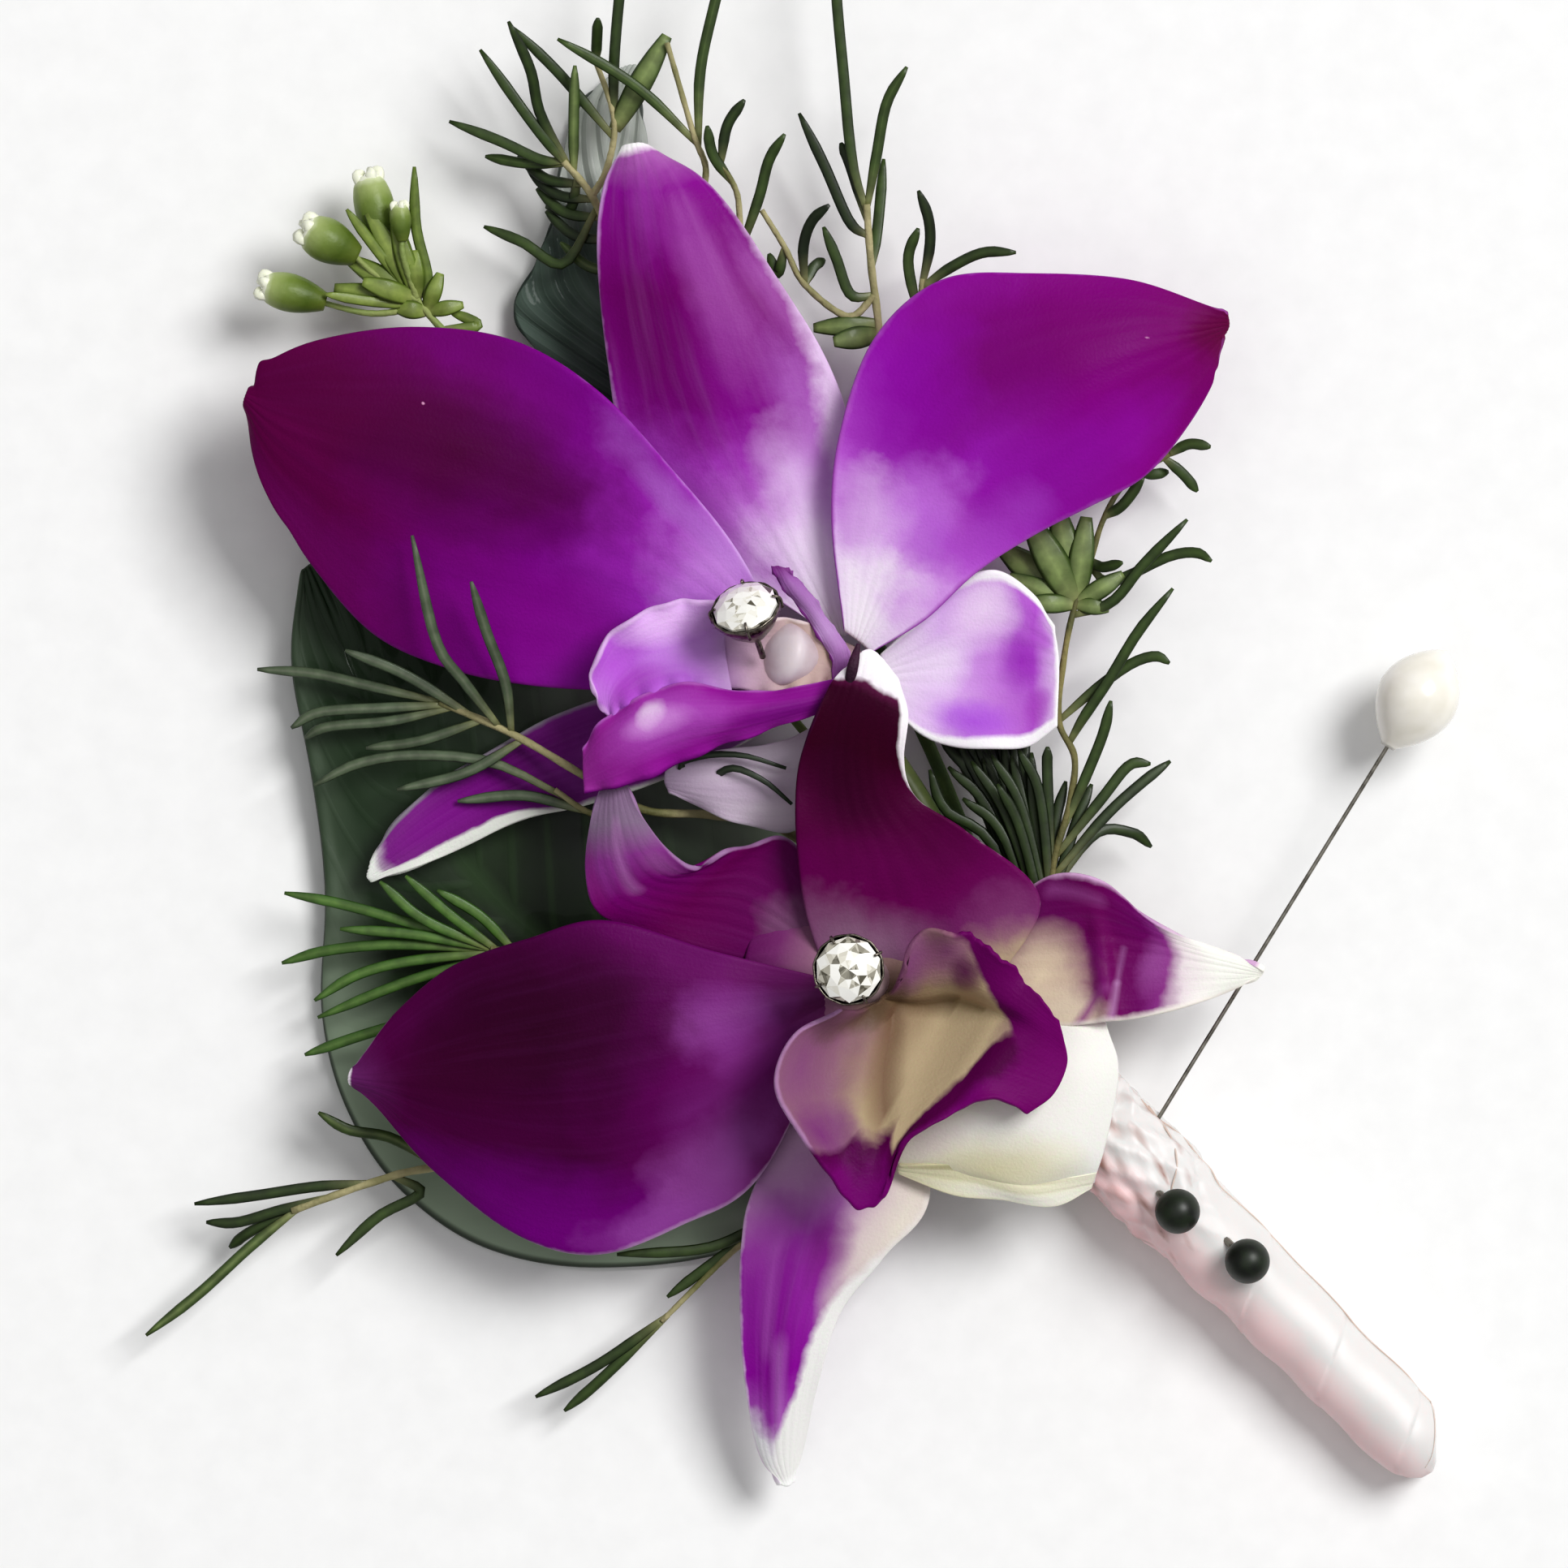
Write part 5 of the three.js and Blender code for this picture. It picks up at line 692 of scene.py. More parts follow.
upper_bloom_left_sepal_skin = petal_skin(
    "upper_bloom_left_sepal_skin", [(0.0, "#9a6aa6"), (0.3, "#8a3c94"), (0.6, "#7c1284"), (0.9, "#86308e"), (1.0, "#eef0ea")],
    blushes=[(0.5, 0.2, 0.3, 0.3, "#6a1070", 0.7), (0.75, 0.45, 0.2, 0.3, "#861a90", 0.7)],
    hems=[("low", [(0.0, 0.03), (0.6, 0.06), (1.0, 0.12)], "#8c8490", 0.05), ("high", [(0.0, 0.05), (0.5, 0.08), (0.62, 0.2), (0.9, 0.24), (1.0, 0.4)], "#e8eae2", 0.05),
       ("tip", [(0.0, 0.05), (1.0, 0.08)], "#f4f6f0", 0.03)],
    streak=("#b878c0", 0.25, 20))
leaf_of("upper_bloom_left_sepal_blade", upper_bloom_left_sepal_rails, upper_bloom_left_sepal_skin, "upper_bloom_left_sepal", "upper_petal", along=72, across=36,
        relief=petal_relief(0.2, 1.3, 0.9))

# Upper bloom, right side sepal: a small cupped petal, pale lilac blotched with purple.
upper_bloom_right_sepal_rails = [
    [[5.4, 3.6, 8], [8.4, 6.4, 8.4], [11, 8.8, 8.6], [13.6, 9.5, 8.6], [16.2, 7.7, 8.4], [17.6, 5.6, 8]],
    [[5.6, 2.2, 8], [8.8, 2.8, 7.6], [11.4, 3.2, 7.6], [13.8, 3.4, 7.8], [16, 3.2, 8], [17.9, 2.8, 8]],
    [[5.4, 0.8, 8], [8, -1.8, 8.2], [10.6, -2.8, 8.4], [13.2, -3, 8.4], [15.8, -2.8, 8.3], [17.7, -1.4, 8]],
]
upper_bloom_right_sepal_skin = petal_skin(
    "upper_bloom_right_sepal_skin", [(0.0, "#efe4f2"), (0.25, "#dcb8ea"), (0.55, "#c888dc"), (0.8, "#b45ccc"), (1.0, "#dcc0e6")],
    blushes=[(0.5, 0.22, 0.24, 0.26, "#efd8f4", 0.95), (0.72, 0.5, 0.16, 0.2, "#a030bc", 0.9), (0.46, 0.84, 0.26, 0.14, "#b25cdc", 0.95),
          (0.84, 0.78, 0.12, 0.14, "#a848bc", 0.8), (0.26, 0.5, 0.2, 0.26, "#f0e4f4", 0.7), (0.86, 0.3, 0.1, 0.16, "#b45ccc", 0.7)],
    hems=[("low", [(0.0, 0.05), (1.0, 0.08)], "#f8f4f8", 0.03), ("high", [(0.0, 0.05), (1.0, 0.1)], "#f8f4f8", 0.03), ("tip", [(0.0, 0.04), (1.0, 0.04)], "#f8f4f8", 0.03)],
    streak=("#9a3cae", 0.15, 10))
leaf_of("upper_bloom_right_sepal_blade", upper_bloom_right_sepal_rails, upper_bloom_right_sepal_skin, "upper_bloom_right_sepal", "upper_petal", along=72, across=36,
        relief=petal_relief(0.25, 0.8, 0.2))

# Upper bloom's lip: a lilac side lobe, a darker folded middle lobe with a painted highlight on its fold, and a narrow
# right lobe. The same fleshy tissue as the petals, thinner and ruffled at its rim.
def lip_of(name, sheets, skins, node, along=48, across=20, thickness=0.4, relief=None):
    for i, (rails, skin) in enumerate(zip(sheets, skins)):
        leaf_of(f"{name}_{i + 1}", rails, skin, node, "lip_purple", along=along, across=across,
                thickness=thickness, relief=relief or petal_relief(0.12, 2.2, 0.7 + i, rib=0.02, rim=0.28))


upper_lip_rails = [
    [[[-4.9, 7.2, 13.2], [-7.4, 7.4, 13.8], [-10, 7, 14], [-13.2, 5.2, 14], [-14.7, 2, 13.8], [-13.8, -0.4, 13.4]],
     [[-5.3, 4.2, 12.6], [-7.4, 4.4, 12.8], [-9.6, 4.2, 13], [-12, 3.2, 13.2], [-13.4, 1.2, 13.4], [-13.4, -0.8, 13.3]],
     [[-4.8, 0.8, 13.8], [-6.8, 1, 14], [-8.8, 1.2, 14.1], [-11, 0.4, 14], [-12.6, -0.4, 13.6], [-13, -1.2, 13.3]]],
    [[[2.4, 1.9, 13], [-0.6, 1.3, 13.4], [-4, 1, 13.8], [-8.4, 1.6, 14.2], [-11.6, 0.5, 14], [-14, -1.2, 13.4],
      [-15.1, -3, 13]],
     [[2.7, 0.8, 13.4], [-0.8, 0, 14], [-4.4, -0.6, 14.6], [-8.4, -1, 15], [-11.4, -2, 14.8], [-13.6, -3.4, 14],
      [-15.2, -4.6, 13.2]],
     [[2.2, -0.2, 13], [-0.8, -1.1, 13.2], [-4.4, -2.3, 13.4], [-7.6, -3.7, 13.6], [-10.6, -5, 13.6], [-13, -5.7, 13.4],
      [-15.1, -6.1, 13]]],
    [[[2, 1.2, 12.8], [2, 3.4, 12.9], [0.6, 5.6, 13], [-1.1, 8, 13.4], [-2.2, 9.6, 13.6]],
     [[2.6, 1.2, 12.9], [2.5, 3.6, 13.1], [1.1, 6, 13.4], [-0.6, 8.2, 13.8], [-1.6, 9.7, 13.8]],
     [[3.2, 1.2, 12.8], [3.2, 3.8, 12.8], [1.6, 6.3, 13], [0, 8.4, 13.4], [-0.9, 9.5, 13.6]]],
]
upper_lip_skins = [
    # The side lobe's near-white lilac blush at (0.36, 0.16) is painted light over where the crystal's shadow falls.
    petal_skin("upper_lip_side_skin", [(0.0, "#b894c4"), (0.3, "#b66ed0"), (0.7, "#ba62d4"), (1.0, "#bc80d0")],
               blushes=[(0.3, 0.6, 0.3, 0.3, "#d49cec", 0.6), (0.7, 0.8, 0.3, 0.26, "#a03cb0", 0.6), (0.36, 0.16, 0.28, 0.4, "#f4ccff", 0.95)],
               hems=[("low", [(0.0, 0.06), (1.0, 0.1)], "#d9b2e4", 0.04), ("tip", [(0.0, 0.08), (1.0, 0.05)], "#cfa0dc", 0.04)],
               streak=("#d9b4e4", 0.3, 14)),
    # The near-white blush at (0.62, 0.32) and the two lilac blushes round it are a painted highlight on the middle
    # lobe's fold.
    petal_skin("upper_lip_middle_skin", [(0.0, "#861688"), (0.3, "#921e94"), (0.6, "#981c9a"), (1.0, "#983494")],
               blushes=[(0.58, 0.42, 0.3, 0.44, "#b45cc0", 0.85), (0.2, 0.6, 0.2, 0.3, "#6c0a74", 0.6), (0.62, 0.32, 0.07, 0.2, "#f2e2f4", 0.9), (0.6, 0.42, 0.18, 0.22, "#d49adc", 0.7)],
               hems=[("low", [(0.0, 0.06), (1.0, 0.08)], "#b064b8", 0.05), ("high", [(0.0, 0.05), (1.0, 0.08)], "#6a0a70", 0.06)],
               streak=("#c070c8", 0.3, 16)),
    petal_skin("upper_lip_right_skin", [(0.0, "#8a3890"), (0.4, "#b890c4"), (0.8, "#a068ac"), (1.0, "#7c2c80")],
               hems=[("low", [(0.0, 0.1), (1.0, 0.2)], "#7c3484", 0.05)], streak=("#e0c8e6", 0.3, 8)),
]
upper_lip_rails.append([
    [[-6.4, 5.6, 12.9], [-2.5, 6.2, 13], [1.2, 5.6, 12.8], [2.4, 4.4, 12.4]],
    [[-6.6, 3.6, 12.3], [-2.4, 3.8, 12.5], [1.2, 3.6, 12.6], [2.6, 3, 12.4]],
    [[-6.2, 1.4, 13], [-2.4, 0.9, 13.1], [0.8, 1.2, 13], [2.4, 1.6, 12.8]]])
upper_lip_skins.append(petal_skin(
    "upper_lip_throat_skin", [(0.0, "#a97cb8"), (0.22, "#b89ab0"), (0.5, "#c4aea6"), (1.0, "#bc9c9c")],
    blushes=[(0.85, 0.4, 0.2, 0.3, "#b89a7c", 0.7)], hems=[("low", [(0.0, 0.04), (1.0, 0.06)], "#e2d2d0", 0.04)],
    streak=("#8c6c6c", 0.2, 10)))
lip_of("upper_bloom_lip", upper_lip_rails, upper_lip_skins, "upper_bloom_lip")

# Upper bloom's chin: the pale fold that the side sepals make under the lip, painted greyish lilac as shade.
upper_chin_rails = [
    [[2.2, -0.6, 8], [-1.4, -2.4, 8.6], [-5.6, -3, 8.4], [-9.4, -4.2, 7.9]],
    [[2.3, -2.4, 8.2], [-0.8, -4.8, 8.9], [-5.2, -5.2, 8.8], [-9.6, -5.1, 7.9]],
    [[2.4, -4.6, 8], [-0.4, -8.6, 7.8], [-4.6, -8, 7.8], [-9.3, -6, 7.7]],
]
upper_chin_skin = petal_skin("upper_chin_skin", [(0.0, "#d0c0d0"), (0.5, "#e0d2e0"), (1.0, "#c4aec8")],
                             blushes=[(0.4, 0.25, 0.3, 0.2, "#dccfde", 0.7), (0.5, 0.6, 0.4, 0.2, "#b8a2bc", 0.5)],
                             hems=[("high", [(0.0, 0.05), (1.0, 0.05)], "#d4c8d6", 0.03)], streak=("#8a7090", 0.3, 12))
leaf_of("upper_bloom_chin_blade", upper_chin_rails, upper_chin_skin, "upper_bloom_chin", "chin_white", along=40, across=24,
        relief=petal_relief(0.15, 1.2, 0.3))

# Columns: the fleshy post in the middle of each bloom, cream to beige, on the stalk that runs to the bundle.
def column_flesh(name, foot, head):
    material, tree = finish_tree(name)
    at = put(tree, "TexCoord")
    height = put(tree, "SeparateXYZ", {"Vector": at.outputs["Object"]})
    level = put(tree, "MapRange", {"Value": height.outputs["Z"], "From Min": 0.006, "From Max": 0.0155})
    freckle = put(tree, "TexNoise", {"Vector": at.outputs["Object"], "Scale": 500.0, "Detail": 4.0})
    moved = put(tree, "Math", {0: freckle.outputs["Fac"], 1: 0.3, 2: level.outputs[0]}, operation="MULTIPLY_ADD")
    flesh = put(tree, "ValToRGB", {"Fac": moved.outputs[0]}, stops=[(0.2, "#39461f"), (0.42, "#5c6236"), (0.58, foot), (0.8, head), (1.0, "#dcd0d4")])
    bump = put(tree, "Bump", {"Height": freckle.outputs["Fac"], "Strength": 0.3, "Distance": 0.00015})
    skin = put(tree, "BsdfPrincipled", {"Base Color": flesh.outputs[0], "Roughness": 0.42, "Normal": bump.outputs[0],
                                        "IOR": 1.4, "Subsurface Weight": 0.15, "Subsurface Radius": (0.001, 0.0007, 0.0005)})
    put(tree, "OutputMaterial", {"Surface": skin.outputs[0]})
    return material


# Lower bloom, top sepal: maroon, folded up to its tip beside the upper lip.
lower_bloom_dorsal_sepal_rails = [
    [[3.2, -16.4, 9.6], [-0.6, -9.4, 10.6], [-4, -9.8, 11.2], [-7, -11.3, 11.6], [-9.6, -9.6, 12],
     [-11.2, -7.4, 12.2], [-12.2, -5.2, 12]],
    [[2.6, -17.5, 9.4], [-3.6, -13.4, 10], [-8, -13, 10.4], [-11, -12.2, 11], [-12.4, -10.2, 11.8],
     [-12.9, -7.6, 12.3], [-13.1, -5, 12.1]],
    [[2.2, -18.6, 9.2], [-5, -17.4, 9.4], [-10.2, -15.8, 9.6], [-14, -14.4, 10], [-15, -11.4, 10.8],
     [-14.7, -8, 11.6], [-13.9, -5.2, 12]],
]
# Painted light: the paler mauve hems are light caught along the rims, and the pale crease near the tip is a painted
# highlight on the fold.
lower_bloom_dorsal_sepal_skin = petal_skin(
    "lower_bloom_dorsal_sepal_skin", [(0.0, "#7c4070"), (0.1, "#6c1060"), (0.3, "#6c0058"), (0.5, "#7c0874"), (0.66, "#8c3c8e"),
                                      (0.8, "#8a748e"), (1.0, "#8c7090")],
    blushes=[(0.05, 0.5, 0.1, 0.55, "#86607e", 0.85), (0.6, 0.2, 0.1, 0.2, "#985c98", 0.6), (0.55, 0.92, 0.2, 0.14, "#7a0468", 0.6)],
    creases=[((0.8, 0.5), (0.5, 0.6), 0.1, "#b480b6", 0.45)],
    hems=[("low", [(0.0, 0.0), (0.2, 0.03), (1.0, 0.04)], "#a884ac", 0.04), ("high", [(0.0, 0.0), (0.5, 0.0), (1.0, 0.05)], "#a080a8", 0.04)],
    streak=("#9a5ca0", 0.2, 16))
leaf_of("lower_bloom_dorsal_sepal_blade", lower_bloom_dorsal_sepal_rails, lower_bloom_dorsal_sepal_skin, "lower_bloom_dorsal_sepal", "lower_petal", along=72, across=36,
        relief=petal_relief(0.2, 1.2, 1.4))

# Lower bloom, left petal: the darkest, purple only along its lower side.
lower_bloom_left_petal_rails = [
    [[2.2, -19, 10.8], [-6, -17, 11.4], [-13.6, -14.8, 11.8], [-19, -16.1, 11.4], [-24.4, -18, 10.6],
     [-28.2, -21, 9.8], [-30.4, -24, 9], [-31.2, -25.3, 8.6]],
    [[2.2, -20.3, 10.6], [-4.8, -23.6, 11.4], [-10.6, -25.4, 12], [-16, -26.4, 12.2], [-21, -26.6, 11.8],
     [-25.6, -26.4, 10.8], [-29, -26, 9.6], [-31.4, -25.7, 8.6]],
    [[2.4, -21.6, 10.4], [-2.8, -32.6, 9.4], [-8.4, -36.3, 8.8], [-14.4, -38.2, 8.4], [-20.2, -36.6, 8.2],
     [-25.6, -32.2, 8.2], [-29.2, -27.6, 8.4], [-31.3, -26, 8.5]],
]
lower_bloom_left_petal_skin = petal_skin(
    "lower_bloom_left_petal_skin", [(0.0, "#6c2c60"), (0.12, "#70186a"), (0.25, "#66045e"), (0.45, "#4c0040"), (0.8, "#560048"), (1.0, "#6a2a68")],
    blushes=[(0.48, 0.3, 0.34, 0.34, "#360026", 0.95), (0.7, 0.45, 0.25, 0.3, "#40002e", 0.8), (0.5, 0.95, 0.34, 0.24, "#780082", 0.95),
          (0.14, 0.4, 0.1, 0.24, "#92449a", 0.8), (0.2, 0.88, 0.14, 0.22, "#96509c", 0.9), (0.32, 0.97, 0.14, 0.1, "#9a50a4", 0.8)],
    creases=[((0.04, 0.3), (0.2, 0.38), 0.12, "#8c4c8e", 0.3), ((0.06, 0.6), (0.24, 0.66), 0.12, "#8a3c90", 0.3)],
    hems=[("low", [(0.0, 0.0), (0.7, 0.0), (1.0, 0.04)], "#b090b4", 0.02), ("high", [(0.0, 0.02), (0.3, 0.02), (0.5, 0.008), (0.8, 0.012), (1.0, 0.03)], "#c4a4c8", 0.02),
       ("tip", [(0.0, 0.02), (1.0, 0.02)], "#f0e8f0", 0.01)],
    streak=("#8a3c90", 0.2, 30))
leaf_of("lower_bloom_left_petal_blade", lower_bloom_left_petal_rails, lower_bloom_left_petal_skin, "lower_bloom_left_petal", "lower_petal", along=72, across=36,
        relief=petal_relief(0.4, 0.9, 0.6))

# Lower bloom, right petal: folded upright between the blooms, with its white back showing as a crescent.
lower_bloom_right_petal_rails = [
    [[2.4, -20.4, 9.5], [0.4, -15, 11.2], [-0.4, -9.8, 13], [-0.4, -5.6, 14.1], [0.4, -2, 14.7], [1.8, 1.2, 14.9],
     [3.3, 2.9, 14.5]],
    [[8, -20.6, 9.6], [6.8, -15.4, 10.4], [5.4, -10.6, 12.2], [3.8, -6.6, 13.3], [3.4, -2.4, 14.2], [4.2, 0.8, 14.7],
     [4.7, 3.9, 14.2]],
    [[13.4, -19.4, 9.7], [16.6, -13.4, 10.3], [11.6, -8.8, 11.6], [8, -6.4, 12.2], [7, -3.6, 13], [7.3, -0.6, 13.8],
     [6.7, 1.9, 13.6]],
]
lower_bloom_right_petal_skin = petal_skin(
    "lower_bloom_right_petal_skin", [(0.0, "#7a4668"), (0.12, "#742066"), (0.24, "#6c0458"), (0.4, "#560040"), (0.66, "#3c0022"),
                                     (0.85, "#3c0226"), (0.885, "#5a1442"), (0.91, "#efe8ef"), (1.0, "#faf6f8")],
    blushes=[(0.12, 0.26, 0.16, 0.44, "#8e6e86", 0.95), (0.02, 0.9, 0.13, 0.34, "#c6b494", 0.95), (0.13, 0.88, 0.09, 0.22, "#8a4a7c", 0.7),
             (0.55, 0.4, 0.2, 0.4, "#320020", 0.6)],
    hems=[("low", [(0.0, 0.0), (0.5, 0.0), (0.6, 0.02), (1.0, 0.03)], "#4e1640", 0.03),
          ("high", [(0.0, 0.0), (0.45, 0.0), (0.58, 0.05), (0.7, 0.08), (0.83, 0.12), (1.0, 0.2)], "#f4eef2", 0.04)],
    streak=("#6a2460", 0.08, 10))
leaf_of("lower_bloom_right_petal_blade", lower_bloom_right_petal_rails, lower_bloom_right_petal_skin, "lower_bloom_right_petal", "lower_petal", along=84, across=40,
        relief=petal_relief(0.25, 1.1, 0.5))
petal_point = rod_mesh([[3.2, 1.3, 14.9], [3.5, 2.7, 15.3], [3.9, 4.3, 15.1]], 0.4,
                       lambda s: 0.25 + 0.75 * math.sin(math.pi * min(0.97, 0.15 + 0.82 * s)), sides=12, steps=24, flat=0.6)
new_piece("lower_bloom_right_petal_point", *petal_point, stem_bark("dried_petal_point", "#2a0a24", "#4a1a3c", 0.3),
          "lower_bloom_right_petal", "lower_petal")

# Lower bloom, lower side sepal: long, twisted and streaked, with broad white margins.
lower_bloom_down_sepal_rails = [
    [[3, -21.8, 8.4], [-2.9, -32.4, 8], [-4.3, -37.6, 7.8], [-4.4, -42.6, 7], [-3.9, -47.4, 5.8],
     [-3, -51.8, 4.6], [-1.4, -54.1, 4]],
    [[4.6, -21.9, 8.3], [2.6, -31.6, 8.8], [0.6, -37.4, 8.8], [-0.8, -42.6, 7.8], [-1.4, -47.6, 6.4],
     [-1.5, -51.8, 5], [-1, -54.4, 4]],
    [[6.2, -21.8, 8.6], [9, -33.4, 7.8], [5.8, -38.2, 7.8], [2.6, -42.2, 7], [1, -47, 5.8], [0.2, -51.4, 4.6],
     [-0.6, -54.2, 4]],
]
lower_bloom_down_sepal_skin = petal_skin(
    "lower_bloom_down_sepal_skin", [(0.0, "#cab4c6"), (0.2, "#b07cb2"), (0.34, "#9a38a4"), (0.62, "#8e0a9a"), (0.72, "#a44cb0"), (0.78, "#ecebee"), (1.0, "#f2f2ec")],
    blushes=[(0.6, 0.35, 0.25, 0.2, "#84088e", 0.7), (0.26, 0.92, 0.3, 0.34, "#e6e0d0", 0.95), (0.36, 0.62, 0.1, 0.2, "#7a2078", 0.6), (0.3, 0.2, 0.12, 0.2, "#a450ac", 0.7)],
    creases=[((0.34, 0.26), (0.56, 0.3), 0.1, "#b068b8", 0.4), ((0.58, 0.44), (0.78, 0.5), 0.12, "#c48ccc", 0.4)],
    hems=[("low", [(0.0, 0.0), (0.3, 0.03), (0.7, 0.05), (1.0, 0.1)], "#e4d4e6", 0.05), ("high", [(0.0, 0.0), (0.3, 0.06), (0.5, 0.26), (0.66, 0.36), (0.8, 0.62), (1.0, 0.8)], "#ecebe8", 0.1),
       ("tip", [(0.0, 0.04), (1.0, 0.08)], "#fcfcfa", 0.04)],
    streak=("#c48ccc", 0.3, 12))
leaf_of("lower_bloom_down_sepal_blade", lower_bloom_down_sepal_rails, lower_bloom_down_sepal_skin, "lower_bloom_down_sepal", "lower_petal", along=72, across=36,
        relief=petal_relief(0.3, 1.0, 1.9))

# Lower bloom, right side sepal: purple across its middle, cream at its foot and tip.
lower_bloom_right_sepal_rails = [
    [[7, -17, 9], [14, -13.6, 9.4], [17.6, -11.6, 10], [20.6, -12, 10.4], [23.6, -14.4, 9.8],
     [26.8, -16.1, 8.8], [30.2, -17.4, 7.8], [32.1, -18.3, 7.2]],
    [[6.9, -18, 8.9], [13.8, -17.2, 9], [17.4, -16.8, 9], [21, -16.7, 9.2], [24.6, -17.1, 9],
     [27.8, -17.7, 8.4], [30.4, -18.2, 7.8], [32.1, -18.5, 7.2]],
    [[7, -19.2, 8.9], [13.4, -21, 9.2], [17, -22.2, 9.6], [20.8, -22, 9.8], [24.4, -21.5, 9.2],
     [27.6, -20.6, 8.4], [30.2, -19.6, 7.7], [31.9, -18.9, 7.2]],
]
# The two pale crease lines along the ridge are a painted highlight on the fold.
lower_bloom_right_sepal_skin = petal_skin(
    "lower_bloom_right_sepal_skin", [(0.0, "#6e3666"), (0.16, "#6c1c60"), (0.3, "#6a0a5c"), (0.42, "#70085e"),
                                     (0.52, "#6f0464"), (0.58, "#8a3486"), (0.65, "#e2d6da"), (0.76, "#f2f2ea"), (1.0, "#f4f4ea")],
    blushes=[(0.24, 0.72, 0.18, 0.46, "#dccbb0", 1.0), (0.32, 0.96, 0.12, 0.24, "#e2d4bc", 0.9), (0.54, 0.6, 0.06, 0.3, "#a45ca4", 0.6)],
    creases=[((0.4, 0.5), (0.43, 0.78), 0.06, "#7c1870", 0.9), ((0.43, 0.78), (0.37, 1.0), 0.05, "#8a3c80", 0.85),
             ((0.482, 0.5), (0.462, 0.75), 0.03, "#b07cb2", 0.35), ((0.462, 0.75), (0.45, 0.98), 0.035, "#c498c4", 0.5),
             ((0.28, 0.1), (0.42, 0.16), 0.08, "#a860a4", 0.4)],
    hems=[("low", [(0.0, 0.0), (0.4, 0.05), (0.8, 0.03), (1.0, 0.1)], "#cfa8cc", 0.05),
          ("high", [(0.0, 0.0), (0.5, 0.05), (1.0, 0.12)], "#eee8e0", 0.05), ("tip", [(0.0, 0.06), (1.0, 0.06)], "#faf8ee", 0.03)],
    streak=("#b070b4", 0.2, 18))
leaf_of("lower_bloom_right_sepal_blade", lower_bloom_right_sepal_rails, lower_bloom_right_sepal_skin, "lower_bloom_right_sepal", "lower_petal", along=80, across=36,
        relief=lambda u, v: petal_relief(0.25, 1.3, 0.1)(u, v) + 0.55 * np.exp(-((u - 0.43 - 0.05 * (v - 0.7)) / 0.022) ** 2) * np.clip((v - 0.2) * 3, 0, 1))

# Lower bloom's lip: an open cup of one ruffled sheet. Its throat is cream, its left side greyish mauve,
# and its rim is a ragged band of very dark purple.
lower_lip_rails = [
    [[2.6, -20.9, 14.2], [-0.6, -22.6, 16], [-1.8, -26, 17.4], [-0.4, -29.4, 17.6], [2.2, -33, 16.6],
     [4.6, -34.9, 15.8], [6.2, -33, 15.8], [7.4, -29.9, 16], [10.2, -28.2, 15.8], [12.8, -27.2, 15.4],
     [15.6, -28.2, 14.4]],
    [[4, -21, 13], [2.2, -22.8, 13.8], [1.8, -25.4, 14.6], [2.4, -27.6, 15], [3.8, -29.4, 15], [5.4, -30, 15],
     [6.8, -29.4, 15], [8.6, -28, 15], [10.8, -26.6, 15], [13.4, -25.6, 15], [17.4, -26.9, 14]],
    [[5.2, -20.4, 12.2], [6.1, -21.1, 11.7], [7, -21.6, 11.4], [8, -21.8, 11.4], [9, -21.8, 11.6],
     [10, -21.8, 11.8], [11, -21.8, 12.2], [12.2, -21.8, 12.8], [13.6, -22, 13.8], [15.4, -22.8, 14.8],
     [18.4, -24.8, 13.6]],
    [[6.2, -19.8, 12.4], [7.2, -19.2, 12.8], [8.2, -18.8, 13.2], [9.2, -18.6, 13.6], [10.2, -18.6, 14],
     [11.2, -18.8, 14.4], [12.2, -19.2, 14.8], [13.2, -19.8, 15], [14.4, -20.6, 15.2], [15.8, -21.4, 15.2],
     [18.1, -23, 14]],
    [[6.8, -18.4, 13.6], [7.4, -16.6, 15], [8.4, -15.7, 15.8], [9.6, -15.4, 16.2], [10.8, -15.6, 16.4],
     [12, -16, 16.4], [13.2, -16.9, 16.2], [14.4, -17.8, 15.8], [15.4, -19, 15.4], [16.4, -20.2, 15],
     [17.7, -21.8, 14.4]],
]
